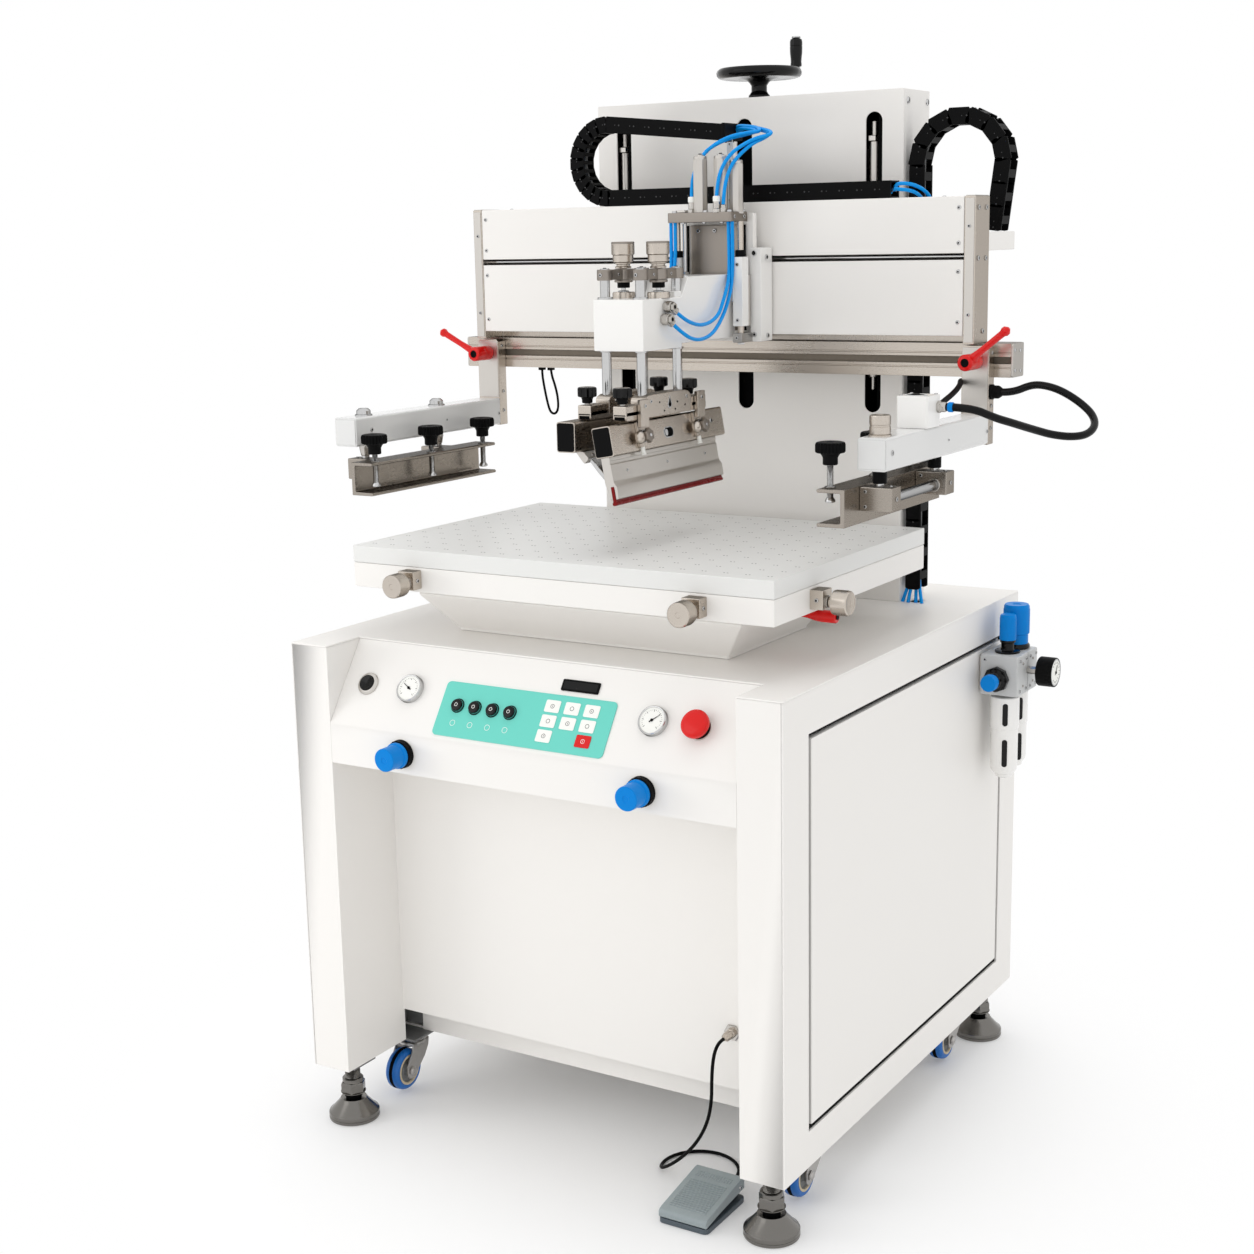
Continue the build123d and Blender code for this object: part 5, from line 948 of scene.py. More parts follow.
def lift_path(s):
    """As above, for the chain that stands beside the column and hangs over to the crosshead."""
    x1, x2, low, top, radius = 291.0, 426.0, 752.0, 1433.0, LIFT_RADIUS
    run = top - low
    arc = math.pi * radius
    if s <= run:
        return Vector((x1, 270, low + s)), Vector((0, 0, 1)), Vector((-1, 0, 0))
    if s <= run + arc:
        a = (s - run) / radius
        out = Vector((-math.cos(a), 0, math.sin(a)))
        return Vector(((x1 + x2) / 2, 270, top)) + out * radius, Vector((math.sin(a), 0, math.cos(a))), out
    # the short end hangs a little inwards
    along = Vector((-0.13, 0, -1)).normalized()
    return Vector((x2, 270, top)) + along * (s - run - arc), along, Vector((1, 0, -0.13)).normalized()


def chains():
    arc = math.pi * TRAVERSE_RADIUS
    chain_run(
        "traverse_chain_fixed", traverse_path, 0, 485, 17,
        ("head", "carriage", metres(305, 0, 1400), metres(-665, 0, 1400)), ["traverse_chain"], closed=True
    )
    chain_run("traverse_chain_bend", traverse_path, 485, 485 + arc, 11,
              ("head", "carriage", (0, -60, 1.4), (0, 60.282, 1.4)))
    chain_run("traverse_chain_moving", traverse_path, 485 + arc, 705 + arc, 8,
              ("head", "carriage", metres(-400, 0, 1500), metres(40, 0, 1500)), closed=True)
    arc = math.pi * LIFT_RADIUS
    chain_run("lift_chain_fixed", lift_path, 33, 681, 18,
              ("crosshead", "head", metres(291, 270, 760), metres(291, 270, 2106)), ["lift_cable_chain"])
    chain_run("lift_chain_bend", lift_path, 681, 681 + arc, 7,
              ("crosshead", "head", (0, -60, 1.4), (0, 60.54, 1.4)))
    chain_run("lift_chain_moving", lift_path, 681 + arc, 782 + arc, 3,
              ("crosshead", "head", metres(426, 270, 1535), metres(426, 270, 1331)))


chains()


# ------------------------------------------------------------ head, rail
RAIL_END = 483
dress("head_frame", CHAMPAGNE["z"], 0.0012)


def head_parts():
    p = Piece("head_trim")
    for s in (-1, 1):
        p.box(s * 424, s * 437.4, 117.6, 118.9, 1176, 1379, ALUMINIUM["z"], 0.5)
        p.box(s * 423.5, s * 437.8, 120, 172, 1381.6, 1383.2, ALUMINIUM["y"], 0.5)
        for y, z in ((130.6, 1295), (160, 1294.5), (152, 1190.6), (130, 1366), (160, 1366)):
            p.cap_screw(place(s * 438.7, y, z, OUT[s]), 3.6, 2.2)
        for z in (1366.4, 1316.7, 1276.3, 1204.6):
            p.pan_screw(place(s * 414, 118.6, z, "-y"), 3.2)
        for z in (1340, 1215):
            p.cap_screw(place(s * 430, 117.7, z, "-y"), 2.6, 1.6)
    for x in (-380, -190, 0, 190, 380):
        p.pan_screw(place(x, 146, 1382, "z"), 3.2)
    p.box(397.6, 434.4, 173.9, 290.4, 1304.6, 1331.4, WHITE, 1.2)
    p.done("head")

    p = Piece("slide_bushes")
    for x in (-223, 223):
        p.ring([
            (13, 1370), (19, 1370), (20, 1371.2), (20, 1374), (18.5, 1375.4), (13, 1375.4)
        ], 40, BLACK, place(x, 300, 0))
        for y in (282, 318):
            p.cap_screw(place(x, y, 1370), 3.2, 3)
    p.done("head")

    p = Piece("t_slot_rail")
    y0, y1, z0, z1, zt = 153.6, 197.6, 1124, 1173, 1148.5
    groove = 1.0
    outline = [
        (y0, z0), (y0, z0 + 13), (y0 + groove, z0 + 13), (y0 + groove, z0 + 15), (y0, z0 + 15),
        (y0, zt - 5), (y0 + 5, zt - 5), (y0 + 5, zt - 10), (y0 + 14, zt - 10), (y0 + 14, zt + 10),
        (y0 + 5, zt + 10), (y0 + 5, zt + 5), (y0, zt + 5), (y0, z1 - 15), (y0 + groove, z1 - 15),
        (y0 + groove, z1 - 13), (y0, z1 - 13), (y0, z1), (y1, z1), (y1, zt + 5), (y1 - 5, zt + 5),
        (y1 - 5, zt + 10), (y1 - 14, zt + 10), (y1 - 14, zt - 10), (y1 - 5, zt - 10), (y1 - 5, zt - 5),
        (y1, zt - 5), (y1, z0), (y0 + 27, z0), (y0 + 27, z0 + 5), (y0 + 17, z0 + 5), (y0 + 17, z0)
    ]
    p.add(prism(outline, -RAIL_END, RAIL_END, 0.35, 1, 40), CHAMPAGNE["x"], YZ)
    for s in (-1, 1):
        p.add(
            prism(round_rect(44, 49, 3), 0, 3, 0.6), ALUMINIUM["y"],
            place(s * RAIL_END, (y0 + y1) / 2, zt, OUT[s]) @ spin(90)
        )
        for y, z in ((161, 1163.3), (183.5, 1162), (162.8, 1133.8), (185.3, 1132.2)):
            p.pan_screw(place(s * (RAIL_END + 3), y, z, OUT[s]), 2.8)
    for x in (-349, -331):
        p.box(x - 4, x + 4, 170, 182, 1118, 1124, BLACK, 1)
    p.box(-482, 482, y0 + 12.6, y0 + 13.8, zt - 9, zt + 9, SLOT_DARK, 0.3)
    for x in (-300, 0, 300):
        p.cap_screw(place(x, 185, 1173), 4, 2)
    p.done("head", replaces=["clamp_rail"])


head_parts()


# ------------------------------------------------------------ carriage
SLIDE_XS = (-14, 94)  # the unit's two vertical guides
ROD_XS = (-1.5, 80)


def carriage_parts():
    p = Piece("carriage_plate")
    p.box(-22, 98, 90, 102, 1176, 1366, WHITE, 1)
    p.box(-6, 78, 84, 90.2, 1192, 1349.2, CHAMPAGNE_DARK, 0.8)
    for x in (8, 36, 64):
        p.cap_screw(place(x, 84, 1341, "-y"), 3, 2.2)
    # painted shadow: dark strips in the gaps beside the back plate
    for x0, x1 in ((-19, -12), (82, 86)):
        p.box(x0, x1, 86.5, 90.2, 1192, 1349, DARK, 0.5)
    p.add(prism(round_rect(109, 55, 4), 1353.6, 1368, 1), CHAMPAGNE_DARK, place(35.5, 62.5, 0))
    p.box(-18.5, -2, 60, 88, 1367.6, 1372, ALUMINIUM["x"], 1)
    for x, y in ((-10, 43), (84, 42), (84, 84), (44, 42)):
        p.cap_screw(place(x, y, 1368), 4, 3)
    for y in (46, 76):
        p.cap_screw(place(90, y, 1361, "x"), 3, 1.6)
    for x in (4, 40, 70):
        p.cap_screw(place(x, 44, 1353.6, "-z"), 3, 2)
    for x in SLIDE_XS:
        p.box(x - 8, x + 8, 45, 90.2, 1176, 1190, ZINC, 1)
        p.drum(5, 1189, 1354, CHAMPAGNE["z"], place(x, 57, 0), 0.4)
    for x in ROD_XS:
        p.drum(3.5, 1236, 1354, STEEL, place(x, 58, 0), 0.4)
    for x in SLIDE_XS:
        p.nut(place(x, 57, 1176, "-z"), 6, 3, STEEL, 0.6)
        p.cap_screw(place(x, 45, 1183, "-y"), 2.6, 1.8)
    for x, y, top in ((30, 52, 1449), (61, 58.5, 1449), (82, 68, 1442)):
        at = place(x, y, 0)
        p.turn([(10.2, 1365), (10.8, 1366), (10.8, top - 5), (10.2, top - 4)], 8, ALUMINIUM["z"], at)
        p.turn([
            (9.6, top - 4.4), (10, top - 3.6), (10, top - 0.6), (8.8, top + 0.8), (5, top + 0.8),
            (5, top + 3), (0, top + 3.4)
        ], 40, ALUMINIUM["z"], at)
        p.nut(place(x, y, 1365), 12, 3, NICKEL, 0.8)
        # painted shade: a dark disc in the port on each cylinder's top
        p.drum(2.6, top + 3, top + 4.6, DARK, at, 0.5, 16)
    # upright tube fittings on the top plate, and one on a cylinder's cap
    for x, y in ((17, 48), (65, 38)):
        at = place(x, y, 1367)
        p.nut(at, 6.4, 6, NICKEL, 0.6)
        p.turn([(4.4, 5.6), (5.2, 6.4), (5.2, 15), (4.6, 16)], 30, NICKEL, at)
        p.turn([(4.9, 15.8), (5.6, 16.6), (5.6, 23), (4.9, 24.2), (3.6, 24.2)], 30, DIAL, at)
    p.turn([(5, 0), (5, 6), (4.2, 7), (4.2, 10), (3.4, 10.6)], 24, NICKEL, place(74.5, 41, 1368))
    # light strip and end block that carry the chain's moving end
    p.box(50, 60, 98, 101, 1352, 1480, LIGHT_GREY, 0.8)
    p.box(40.3, 46.3, 98, 157, 1474.5, 1499.5, BLACK, 1.5)
    p.box(46, 60, 98, 104, 1470, 1480, BLACK, 1)
    for z in (1374, 1386, 1468):
        p.pan_screw(place(55, 98, z, "-y"), 2.6)
    # white side block, its screws and the truck behind the covers
    p.box(98, 117, 79, 115.5, 1176, 1315, WHITE_GLOSS, 1.5)
    for z in (1307, 1186.4):
        p.cap_screw(place(106, 79, z, "-y"), 3.6, 2.4)
    for y, z in ((94.6, 1301), (98, 1184.4)):
        p.cap_screw(place(117, y, z, "x"), 3.6, 2.4)
    p.box(3, 73, 124, 129, 1176, 1315, ALUMINIUM["z"], 0.8)
    p.box(3, 73, 102, 124, 1176, 1182, ALUMINIUM["x"], 0.8)
    p.box(3, 73, 102, 124, 1295.3, 1299.7, ALUMINIUM["x"], 0.5)
    for z, r, h in ((1197, 8, 16), (1297.5, 8, 18), (1247, 15, 20)):
        for x0, x1 in ((3, 27), (49, 73)):
            profile = [(r + 0.2, x0), (h, x0), (h, x1), (r + 0.2, x1)]
            p.ring(profile, 32, ALUMINIUM["x"], place(0, 146, z, "x"))
    p.done("carriage", replaces=["print_carriage"])


carriage_parts()


# ------------------------------------------------------------ squeegee unit
TOOLS = {"flood": 9, "squeegee": 67}  # x of each tool's guide rods
GUIDE_YS = (-188, -88)
STROKE_Y = -138
UNIT_SIDE = 79  # x of the unit's right wall


def banjo(p, y, z, end):
    """A banjo fitting on the unit's right wall, with an outlet to a tube's end."""
    at = place(UNIT_SIDE, y, z, "x")
    p.nut(at, 8.2, 3, NICKEL, 0.6)
    p.turn([(6.4, 2.6), (8, 3.4), (8.4, 5), (8.4, 10.5), (8, 12), (6.6, 12.8)], 40, NICKEL, at)
    head = place(UNIT_SIDE + 12.6, y, z, "x")
    p.nut(head, 7.2, 4, NICKEL, 0.7)
    # painted shade: a dark hexagon in the head's socket
    p.turn([(3.2, 4.2), (2.4, 4.2), (0, 3)], 6, DARK, head)
    a, b = Vector((UNIT_SIDE + 7.5, y, z)), Vector(end)
    line = [a + (b - a) * t for t in (0, 0.5, 0.52, 0.95, 1)]
    p.add(sweep(line, [4.6, 4.6, 5.8, 5.8, 4.8], 24), NICKEL)


def unit_parts():
    p = Piece("unit_case")
    outline = [
        (-202, 1177), (-94, 1177), (-94, 1183), (67, 1183), (67, 1277), (-74, 1277), (-94, 1249),
        (-202, 1249)
    ]
    p.add(prism(outline, -3, UNIT_SIDE, 1.6), WHITE_GLOSS, YZ)
    for x in TOOLS.values():
        at = place(x, STROKE_Y, 0)
        p.turn([
            (15.4, 1248.5), (16.2, 1249), (16.2, 1256), (15.4, 1257.4), (8, 1257.8)
        ], 48, CHAMPAGNE["z"], at)
        p.turn([(7.4, 1257.6), (7.8, 1258), (7.8, 1258.8), (7, 1259.4), (5, 1259.6)], 40, STEEL, at)
        for y in GUIDE_YS:
            p.ring([
                (7.4, 1248.4), (10.6, 1248.4), (11, 1249), (11, 1251), (10.2, 1251.8), (7.4, 1251.8)
            ], 40, STEEL, place(x, y, 0))
            p.ring([
                (7.2, 1175), (9, 1175), (9.4, 1175.4), (9.4, 1177.5), (7.2, 1177.5)
            ], 40, STEEL, place(x, y, 0))
    banjo(p, -141.5, 1236.5, (90, -129.2, 1229))
    banjo(p, -148.5, 1219.5, (90, -139, 1212.7))
    for y, z in ((28, 1240), (8, 1230)):
        p.turn([(5, 0), (5, 3), (4, 4), (3.4, 6)], 24, NICKEL, place(-3, y, z, "-x"))
    p.box(-22, 102, 67, 74, 1200, 1275, ALUMINIUM["x"], 1)
    p.box(44, 78, -112, -92, 1248, 1257.5, WHITE_GLOSS, 2)
    for x in SLIDE_XS:
        for y0, y1 in ((63.4, 67.2), (47, 50.4)):
            p.box(x - 8, x + 8, y0, y1, 1200, 1302, WHITE_GLOSS, 0.8)
        for x0, x1 in ((x - 8, x - 6.4), (x + 6.4, x + 8)):
            p.box(x0, x1, 50, 64, 1200, 1302, WHITE_GLOSS, 0.5)
        p.ring([
            (6.1, 1302), (7.6, 1302), (7.8, 1303), (7.8, 1311), (7, 1312), (6.1, 1312)
        ], 36, BLACK, place(x, 57, 0))
        for z in (1209, 1291):
            p.cap_screw(place(x, 47, z, "-y"), 2.6, 1.6)
    for x in ROD_XS:
        p.nut(place(x, 58, 1277), 6, 4, NICKEL, 0.7)
    p.done("unit", replaces=["unit_housing"])


def tool_guides():
    for name, x in TOOLS.items():
        p = Piece(f"{name}_slide")
        for y in GUIDE_YS:
            at = place(x, y, 0)
            p.drum(7, 1112, 1291.4, STEEL, at, 0.8)
            p.ring([
                (7.1, 1275), (10.4, 1275), (11, 1276), (11, 1289), (10.2, 1290), (7.1, 1290)
            ], 44, CHAMPAGNE_DARK, at)
            # painted shade: a dark disc in the hole at each rod's top
            p.drum(2.6, 1291, 1292.4, DARK, at, 0.3, 16)
            p.cap_screw(
                place(x, y - 11, 1282.5, "-y") if y < STROKE_Y else place(x, y + 11, 1282.5, "y"), 2.6, 1.6
            )
        for y0, y1 in ((-178.5, -150), (-126, -97.5)):
            p.box(x - 6.6, x + 6.6, y0, y1, 1275.4, 1289.6, CHAMPAGNE_DARK, 1)
        p.ring([
            (5.2, 1275), (12.4, 1275), (13, 1276), (13, 1289), (12, 1290), (5.2, 1290)
        ], 48, CHAMPAGNE_DARK, place(x, STROKE_Y, 0))
        for y in (-162, -114):
            p.cap_screw(place(x + 6.6, y, 1282.5, "x"), 2.2, 1.2)
        # crossbar with curved shoulders and slots
        bar = [
            (-204, 1088), (-200, 1084.5), (-76, 1084.5), (-72, 1088), (-72, 1106), (-74, 1110), (-80, 1114),
            (-88, 1116), (-118, 1116.5), (-158, 1116.5), (-192, 1116), (-201, 1113), (-204, 1109)
        ]
        p.add(prism(bar, x - 10, x + 13, 1, 2), CHAMPAGNE["y"], YZ)
        flange = [
            (-252, 1087), (-249.5, 1084.5), (-29.5, 1084.5), (-27, 1087), (-27, 1094), (-30, 1097),
            (-249, 1097), (-252, 1094)
        ]
        p.add(prism(flange, x - 9.4, x + 12.4, 0.9, 2), CHAMPAGNE["y"], YZ)
        for s in (1, -1):
            end = x + 13 if s > 0 else x - 10
            # pear-shaped keyhole with a bright rim and painted shade inside it, and set-screw holes painted
            # as dark discs of shade
            at = place(end, -134, 1099) @ YZ
            for r, tip, out, mat in ((5.6, 13, 0.5, STEEL), (3.7, 9.2, 0.8, DARK)):
                arc = [math.radians(140 + 260 * k / 20) for k in range(21)]
                drop = [(r * math.cos(a), r * math.sin(a)) for a in arc] + [(0.4, tip), (-0.4, tip)]
                p.add(prism(drop, min(-0.4, out * s), max(0.4, out * s), 0.15, 1), mat, at)
            for y, z in ((-162, 1104), (-149, 1091), (-112, 1101), (-118, 1091), (-90, 1095)):
                p.drum(1.5, -0.4, 0.4, DARK, place(end, y, z, OUT[s]), 0.1, 14)
            for y in (-186, -86):
                p.cap_screw(place(end, y, 1107, OUT[s]), 2.6, 1.2)
        for y0, y1 in ((-252, -209), (-70, -27.5)):
            p.box(x - 9.4, x + 12.4, y0, y1, 1090, 1105, CHAMPAGNE["y"], 1.4)
            # painted shade: a dark slot under each end block
            p.box(x - 7, x + 10, y0 - 0.3, y1 + 0.3, 1085.6, 1090.4, DARK, 0.3)
        for y in (-241, -44 if name == "flood" else -58):
            at = place(x, y, 4)
            p.drum(4, 1096, 1107, ZINC, at, 0.4)
            p.turn([(6.4, 1103.5), (7.4, 1104.3), (7.6, 1109), (9.6, 1112.4)], 36, BLACK, at)
            p.turn([
                (10, 1111.6, 0), (13, 1112.6, 1.6), (13.5, 1114.4, 2.0), (13.5, 1123.5, 2.0),
                (12.6, 1125.4, 1.5), (10.6, 1126, 0), (4, 1126, 0), (3.6, 1125.4, 0), (0, 1125.4, 0)
            ], 24, BLACK_GLOSS, at)
        p.done(name, replaces=[f"{name}_guide"])

        p = Piece(f"{name}_stroke_screw")
        at = place(x, STROKE_Y, -8)
        p.turn([
            (4.9, 1281), (4.9, 1298.6), (11, 1298.6), (11.6, 1299.4), (11.6, 1301), (9.6, 1302),
            (9.6, 1304), (12, 1305), (12, 1306.4), (11, 1307.4)
        ], 48, CHAMPAGNE["z"], at)
        p.turn([
            (12, 1307, 0), (14.6, 1307.8, 0), (14.8, 1308.6, 0.7), (14.8, 1316, 0.7), (14.4, 1316.8, 0),
            (13, 1317.4, 0)
        ], 40, CHAMPAGNE["z"], at)
        p.turn([
            (14.6, 1316.8, 0), (15.4, 1317.4, 0), (16.3, 1318.4, 0), (16.5, 1319.4, 0.9),
            (16.5, 1331.6, 0.9), (16.3, 1332.4, 0), (16.3, 1333, 0)
        ], 64, CHAMPAGNE["z"], at)
        p.turn([
            (15.8, 1332.6), (16.6, 1333), (16.6, 1334.8), (15.6, 1335.8), (6, 1336), (5, 1335), (0, 1335)
        ], 64, CHAMPAGNE_DARK, at)
        p.turn([(3, 1271.2), (8.2, 1271.2), (9, 1272), (9, 1279), (4, 1279.4)], 44, RUBBER, at)
        p.drum(3.4, 1252, 1275, STEEL, at, 0.4)
        p.turn([
            (4.2, 1278.6), (12.4, 1279), (13, 1279.8), (13, 1281.6), (12.2, 1282.6), (4.2, 1282.7)
        ], 48, CHAMPAGNE_DARK, at)
        p.done(f"{name}_knob", replaces=[f"{name}_stroke_knob"])


TUBE_WIDE, TUBE_TALL, CAP = 30, 42.5, 1.2


def tool_bar(p, y0, y1, at):
    """The square tube that carries a blade, with a black cap in front and a bare one at the back."""
    p.add(prism(round_rect(TUBE_WIDE, TUBE_TALL, 3.5), y0, y1, 0.5, 1, 40), CHAMPAGNE["y"], at @ XZ)
    for low, high, mat in ((y0 - CAP, y0, BLACK), (y1, y1 + CAP, ALUMINIUM["z"])):
        p.add(prism(round_rect(TUBE_WIDE - 3, TUBE_TALL - 3, 3), low, high, 0.3, 1, 40), mat, at @ XZ)


def squeegee_holder():
    # tube, holder and blade lean together
    lean = place(62.3, 0, 1058.5) @ spin(-10, "Y")
    y0, y1 = -288, 12
    w = TUBE_WIDE / 2
    p = Piece("squeegee_bar")
    tool_bar(p, y0, y1 + 17, lean)
    # aluminium holder with steps, and the blade that it grips
    holder = [
        (-7, -21.2), (7, -21.2), (7, -26), (6, -27), (6, -31), (7, -32), (7, -54), (8, -58), (11, -63),
        (11, -79), (10, -80), (6.6, -80), (6.6, -66), (1.4, -66), (1.4, -80), (-2, -80), (-3, -79),
        (-3.4, -70), (-6.4, -60), (-7, -56)
    ]
    p.add(prism(holder, y0, y1, 0.4, 1, 40), ALUMINIUM["y"], lean @ XZ)
    blade = [
        (1.5, -62), (6.5, -62), (6.5, -83), (8.2, -85), (8, -87.6), (5.6, -88.5), (2.4, -88.5), (0, -87.6),
        (-0.2, -85), (1.5, -83)
    ]
    p.add(prism(blade, y0 - 1, y1 + 1, 0.5, 1, 30), RED_BLADE, lean @ XZ)
    for k in range(3):
        p.cap_screw(lean @ place(7, y0 + 40 + 110 * k, -43, "x"), 2.2, 1.2)
    p.cap_screw(lean @ place(w, -8, 3, "x"), 3.4, 1.4)
    at = lean @ place(w, -134, -2) @ YZ
    p.add(prism(round_rect(27, 16, 7.9), -0.4, 0.4, 0.2, 1), STEEL, at)
    # painted shade: a dark disc inside the round hole in the tube's side
    p.add(prism(round_rect(23.6, 13, 6.4), 0, 0.7, 0.1, 1), DARK, at)
    p.add(prism(round_rect(8, 9.6, 3.8), 0.4, 1.0, 0.1, 1), STEEL, at @ place(-7, 0, 0))
    for y in (-212, -52):
        # strap from the crossbar's top down over the tube
        p.box(80, 86, y - 11, y + 11, 1074, 1112, CHAMPAGNE["z"], 0.8)
        p.cap_screw(place(86, y, 1103, "x"), 2.6, 1.4)
        strap = [(y - 11, -14), (y - 9, -16), (y + 9, -16), (y + 11, -14), (y + 11, 20), (y - 11, 20)]
        p.add(prism(strap, w, w + 5, 0.9), CHAMPAGNE["z"], lean @ YZ)
        at = lean @ place(w + 5, y, -1, "x")
        p.turn([(8.6, -0.4), (9, 0.4), (9, 2.6), (8.2, 3.2)], 36, STEEL, at)
        p.turn([(5.5, 2.8), (5.5, 5.6), (4.6, 6)], 30, NICKEL, at)
        p.turn([
            (6, 0), (8.4, 1.4), (9.2, 4.4), (8.2, 8), (5, 10.4), (0, 11)
        ], 32, CHAMPAGNE["z"], lean @ place(w + 4, y - 14, -2, "x"))
        star = [
            (5, 4.8, 0), (10.2, 5.2, 2.0), (10.8, 6.2, 2.4), (10.8, 11, 2.4), (10, 12.2, 2.0), (4, 12.6, 0)
        ]
        p.turn(star, 12, CHAMPAGNE_DARK, at)
        p.drum(2.4, 12.2, 13.6, STEEL, at, 0.4, 18)
        for r, h0, h1 in ((3.2, 0, 10), (4.2, 9.4, 12)):
            p.drum(r, h0, h1, DIAL, lean @ place(w + 2, y - 2, -15, "-z"), 0.8, 20)
    p.done("squeegee", replaces=["squeegee_holder"])


def flood_holder():
    p = Piece("flood_bar")
    y0, y1 = -285, 9
    level = place(0, 0, 1062.95)
    tool_bar(p, y0, y1, level)
    jaw = [(2, -21.2), (15, -21.2), (17, -22.6), (24, -30), (22.6, -33), (17.2, -38), (14.6, -36)]
    p.add(prism(jaw, y0 + 20, y1 - 20, 0.6), ALUMINIUM["y"], level @ XZ)
    flood = [
        (17.5, -29.5), (20, -27), (40, -46), (50, -56.4), (57, -64), (55.5, -67), (46, -60.5), (34, -48.6)
    ]
    p.add(prism(flood, y0 + 26, y1 - 26, 0.5, 1, 40), STEEL, level @ XZ)
    for y in (-200, -76):
        arm = [(-13, -20), (-9, -30), (2, -39), (12, -42), (16, -38), (6, -33), (-2, -26), (-5, -20)]
        p.add(prism(arm, y - 5, y + 5, 0.8), BLACK, level @ XZ)
    for k in range(5):
        p.cap_screw(level @ place(20.4, y0 + 36 + k * 56, -26.8, "x"), 2.6, 1.8)
    p.done("flood", replaces=["flood_holder"])


unit_parts()
tool_guides()
squeegee_holder()
flood_holder()


# ------------------------------------------------------------ arms, levers, clamps
# side, x of the arm, y of its front end, and the way to the middle
ARMS = (("left", -428, -245, 1), ("right", 437, -226, -1))
HANGER_YS = (-201, -16)
SCREW_YS = (-242, -102, 36)
LEVER_Z = 1148.5


def arm_bar(side, x, front):
    p = Piece(f"{side}_arm_bar")
    p.add(prism(round_rect(42, 44, 4), front, 132.5, 0.8), ARM_WHITE, place(x, 0, 1051) @ XZ)
    plate = [(x - 21, 1028), (x + 21, 1028), (x + 21, 1167), (x + 17, 1171), (x - 17, 1171), (x - 21, 1167)]
    p.add(prism(plate, 132, 153.3, 1, 2), CHAMPAGNE["z"], XZ)
    p.box(x - 19.5, x + 19.5, 131.2, 132.4, 1075, 1168, ALUMINIUM["z"], 0.5)
    for sx in (-1, 1):
        for y, z, r in ((127.8, 1048, 2.6), (-18, 1050.4, 1.6), (-209, 1052.4, 3.6)):
            p.cap_screw(place(x + sx * 21, y, z, OUT[sx]), r, 1.4)
        for z in (1052, 1084, 1160):
            p.cap_screw(place(x + sx * 21, 143, z, OUT[sx]), 2.8, 1.6)
    p.drum(4, 96.5, 159, STEEL, place(x, 0, LEVER_Z, "y"), 0.5)
    p.box(x - 12, x + 12, 158.9, 165.9, 1139.5, 1157.5, ZINC, 0.8)
    p.box(x - 19, x + 19, front - 1.4, front + 0.4, 1032, 1070, ARM_WHITE, 0.6)
    if side == "left":
        for y in HANGER_YS:
            at = place(x, y, 1073)
            p.turn([
                (13.4, -0.2), (13.4, 1.2), (12.6, 2), (11, 2.2), (11, 7.4), (9.8, 8.6), (7, 11), (4.6, 11),
                (4.2, 8)
            ], 40, STEEL, at)
            # painted shade: a dark hexagon in each hanger's socket
            p.turn([(4.4, 8.2), (0, 8.2)], 6, DARK, at)
    else:
        at = place(x, -201, 1073)
        p.turn([
            (15, -0.2, 0), (15, 2, 0), (13.4, 2.8, 0), (14, 3.6, 0.25), (14, 12.4, 0.25), (13.2, 13, 0),
            (13.2, 15, 0), (14, 15.6, 0.25), (14, 26, 0.25), (13.2, 27.4, 0), (12, 28, 0), (4.6, 28, 0),
            (4.2, 25, 0)
        ], 96, CHAMPAGNE["z"], at)
        # painted shade: a dark hexagon in the hanger's socket
        p.turn([(4.3, 25.2), (0, 25.2)], 6, DARK, at)
        p.add(prism(round_rect(46, 46, 4), 1073, 1116.6, 1.2), WHITE_GLOSS, place(x, -75, 0))
        p.ring([
            (12, 1116.2), (15, 1116.2), (15, 1117), (12.4, 1117), (12, 1116.4)
        ], 44, LIGHT_GREY, place(x - 4, -75, 0))
        p.drum(12.2, 1116, 1116.8, DARK, place(x - 4, -75, 0), 0.2)
        p.turn([(6.4, 1116.6), (6.4, 1117.6), (5.4, 1118.2), (0, 1118.2)], 30, BLACK, place(x - 4, -75, 0))
        for sx, sy in CORNERS:
            p.cap_screw(place(x + sx * 18, -75 + sy * 18, 1116.6), 2.4, 1.4)
        p.turn([
            (11, 0), (11, 3), (9.5, 4), (9.5, 11), (8.4, 13), (6.4, 16)
        ], 36, BLACK, place(458, 142.65, 1104, "x"))
        # the short black hose's fitting on the block
        p.drum(6, 0, 7, NICKEL, place(448, -52.4, 1098, "y"), 0.8, 24)
    p.done(f"{side}_clamp", replaces=[f"{side}_arm"])


def lever(side, x):
    # thick hub and tapered handle with a round end
    p = Piece(f"{side}_lever_handle")
    y1 = 131.7
    hub = [
        (4.2, 0.2), (11.2, 0.2), (12, 1.2), (12, 16), (11.2, 18.4), (11.2, 20), (12, 22.4), (12, 39),
        (10.6, 41), (6.4, 41.8), (6, 40.2)
    ]
    at = place(x, y1, LEVER_Z, "-y")
    p.turn(hub, 44, RED, at)
    p.turn([(6.1, 40.4), (5.8, 41.2), (5.2, 41.4), (3.6, 41.2), (3.4, 39.4), (0, 39.4)], 24, BLACK, at)
    angle = math.radians(152 if side == "left" else 38)
    line, radius = [], []
    for k in range(19):
        t = k / 18
        reach = 7 + t * 73
        line.append((
            x + reach * math.cos(angle), y1 - 31.4 - 3 * math.sin(math.pi * t * 0.5),
            LEVER_Z + reach * math.sin(angle)
        ))
        neck = 6.6 - 2.2 * math.sin(min(1, t / 0.45) * math.pi / 2)
        ball = 7.2 * math.sqrt(max(0.02, 1 - ((reach - 73) / 7.4) ** 2)) if reach > 66 else 0
        radius.append(max(neck + 0.9 * t, ball) if reach < 73 else max(0.8, ball))
    p.add(sweep(line, radius, 24), RED)
    p.done(f"{side}_lever", replaces=[f"{side}_clamp_lever"])


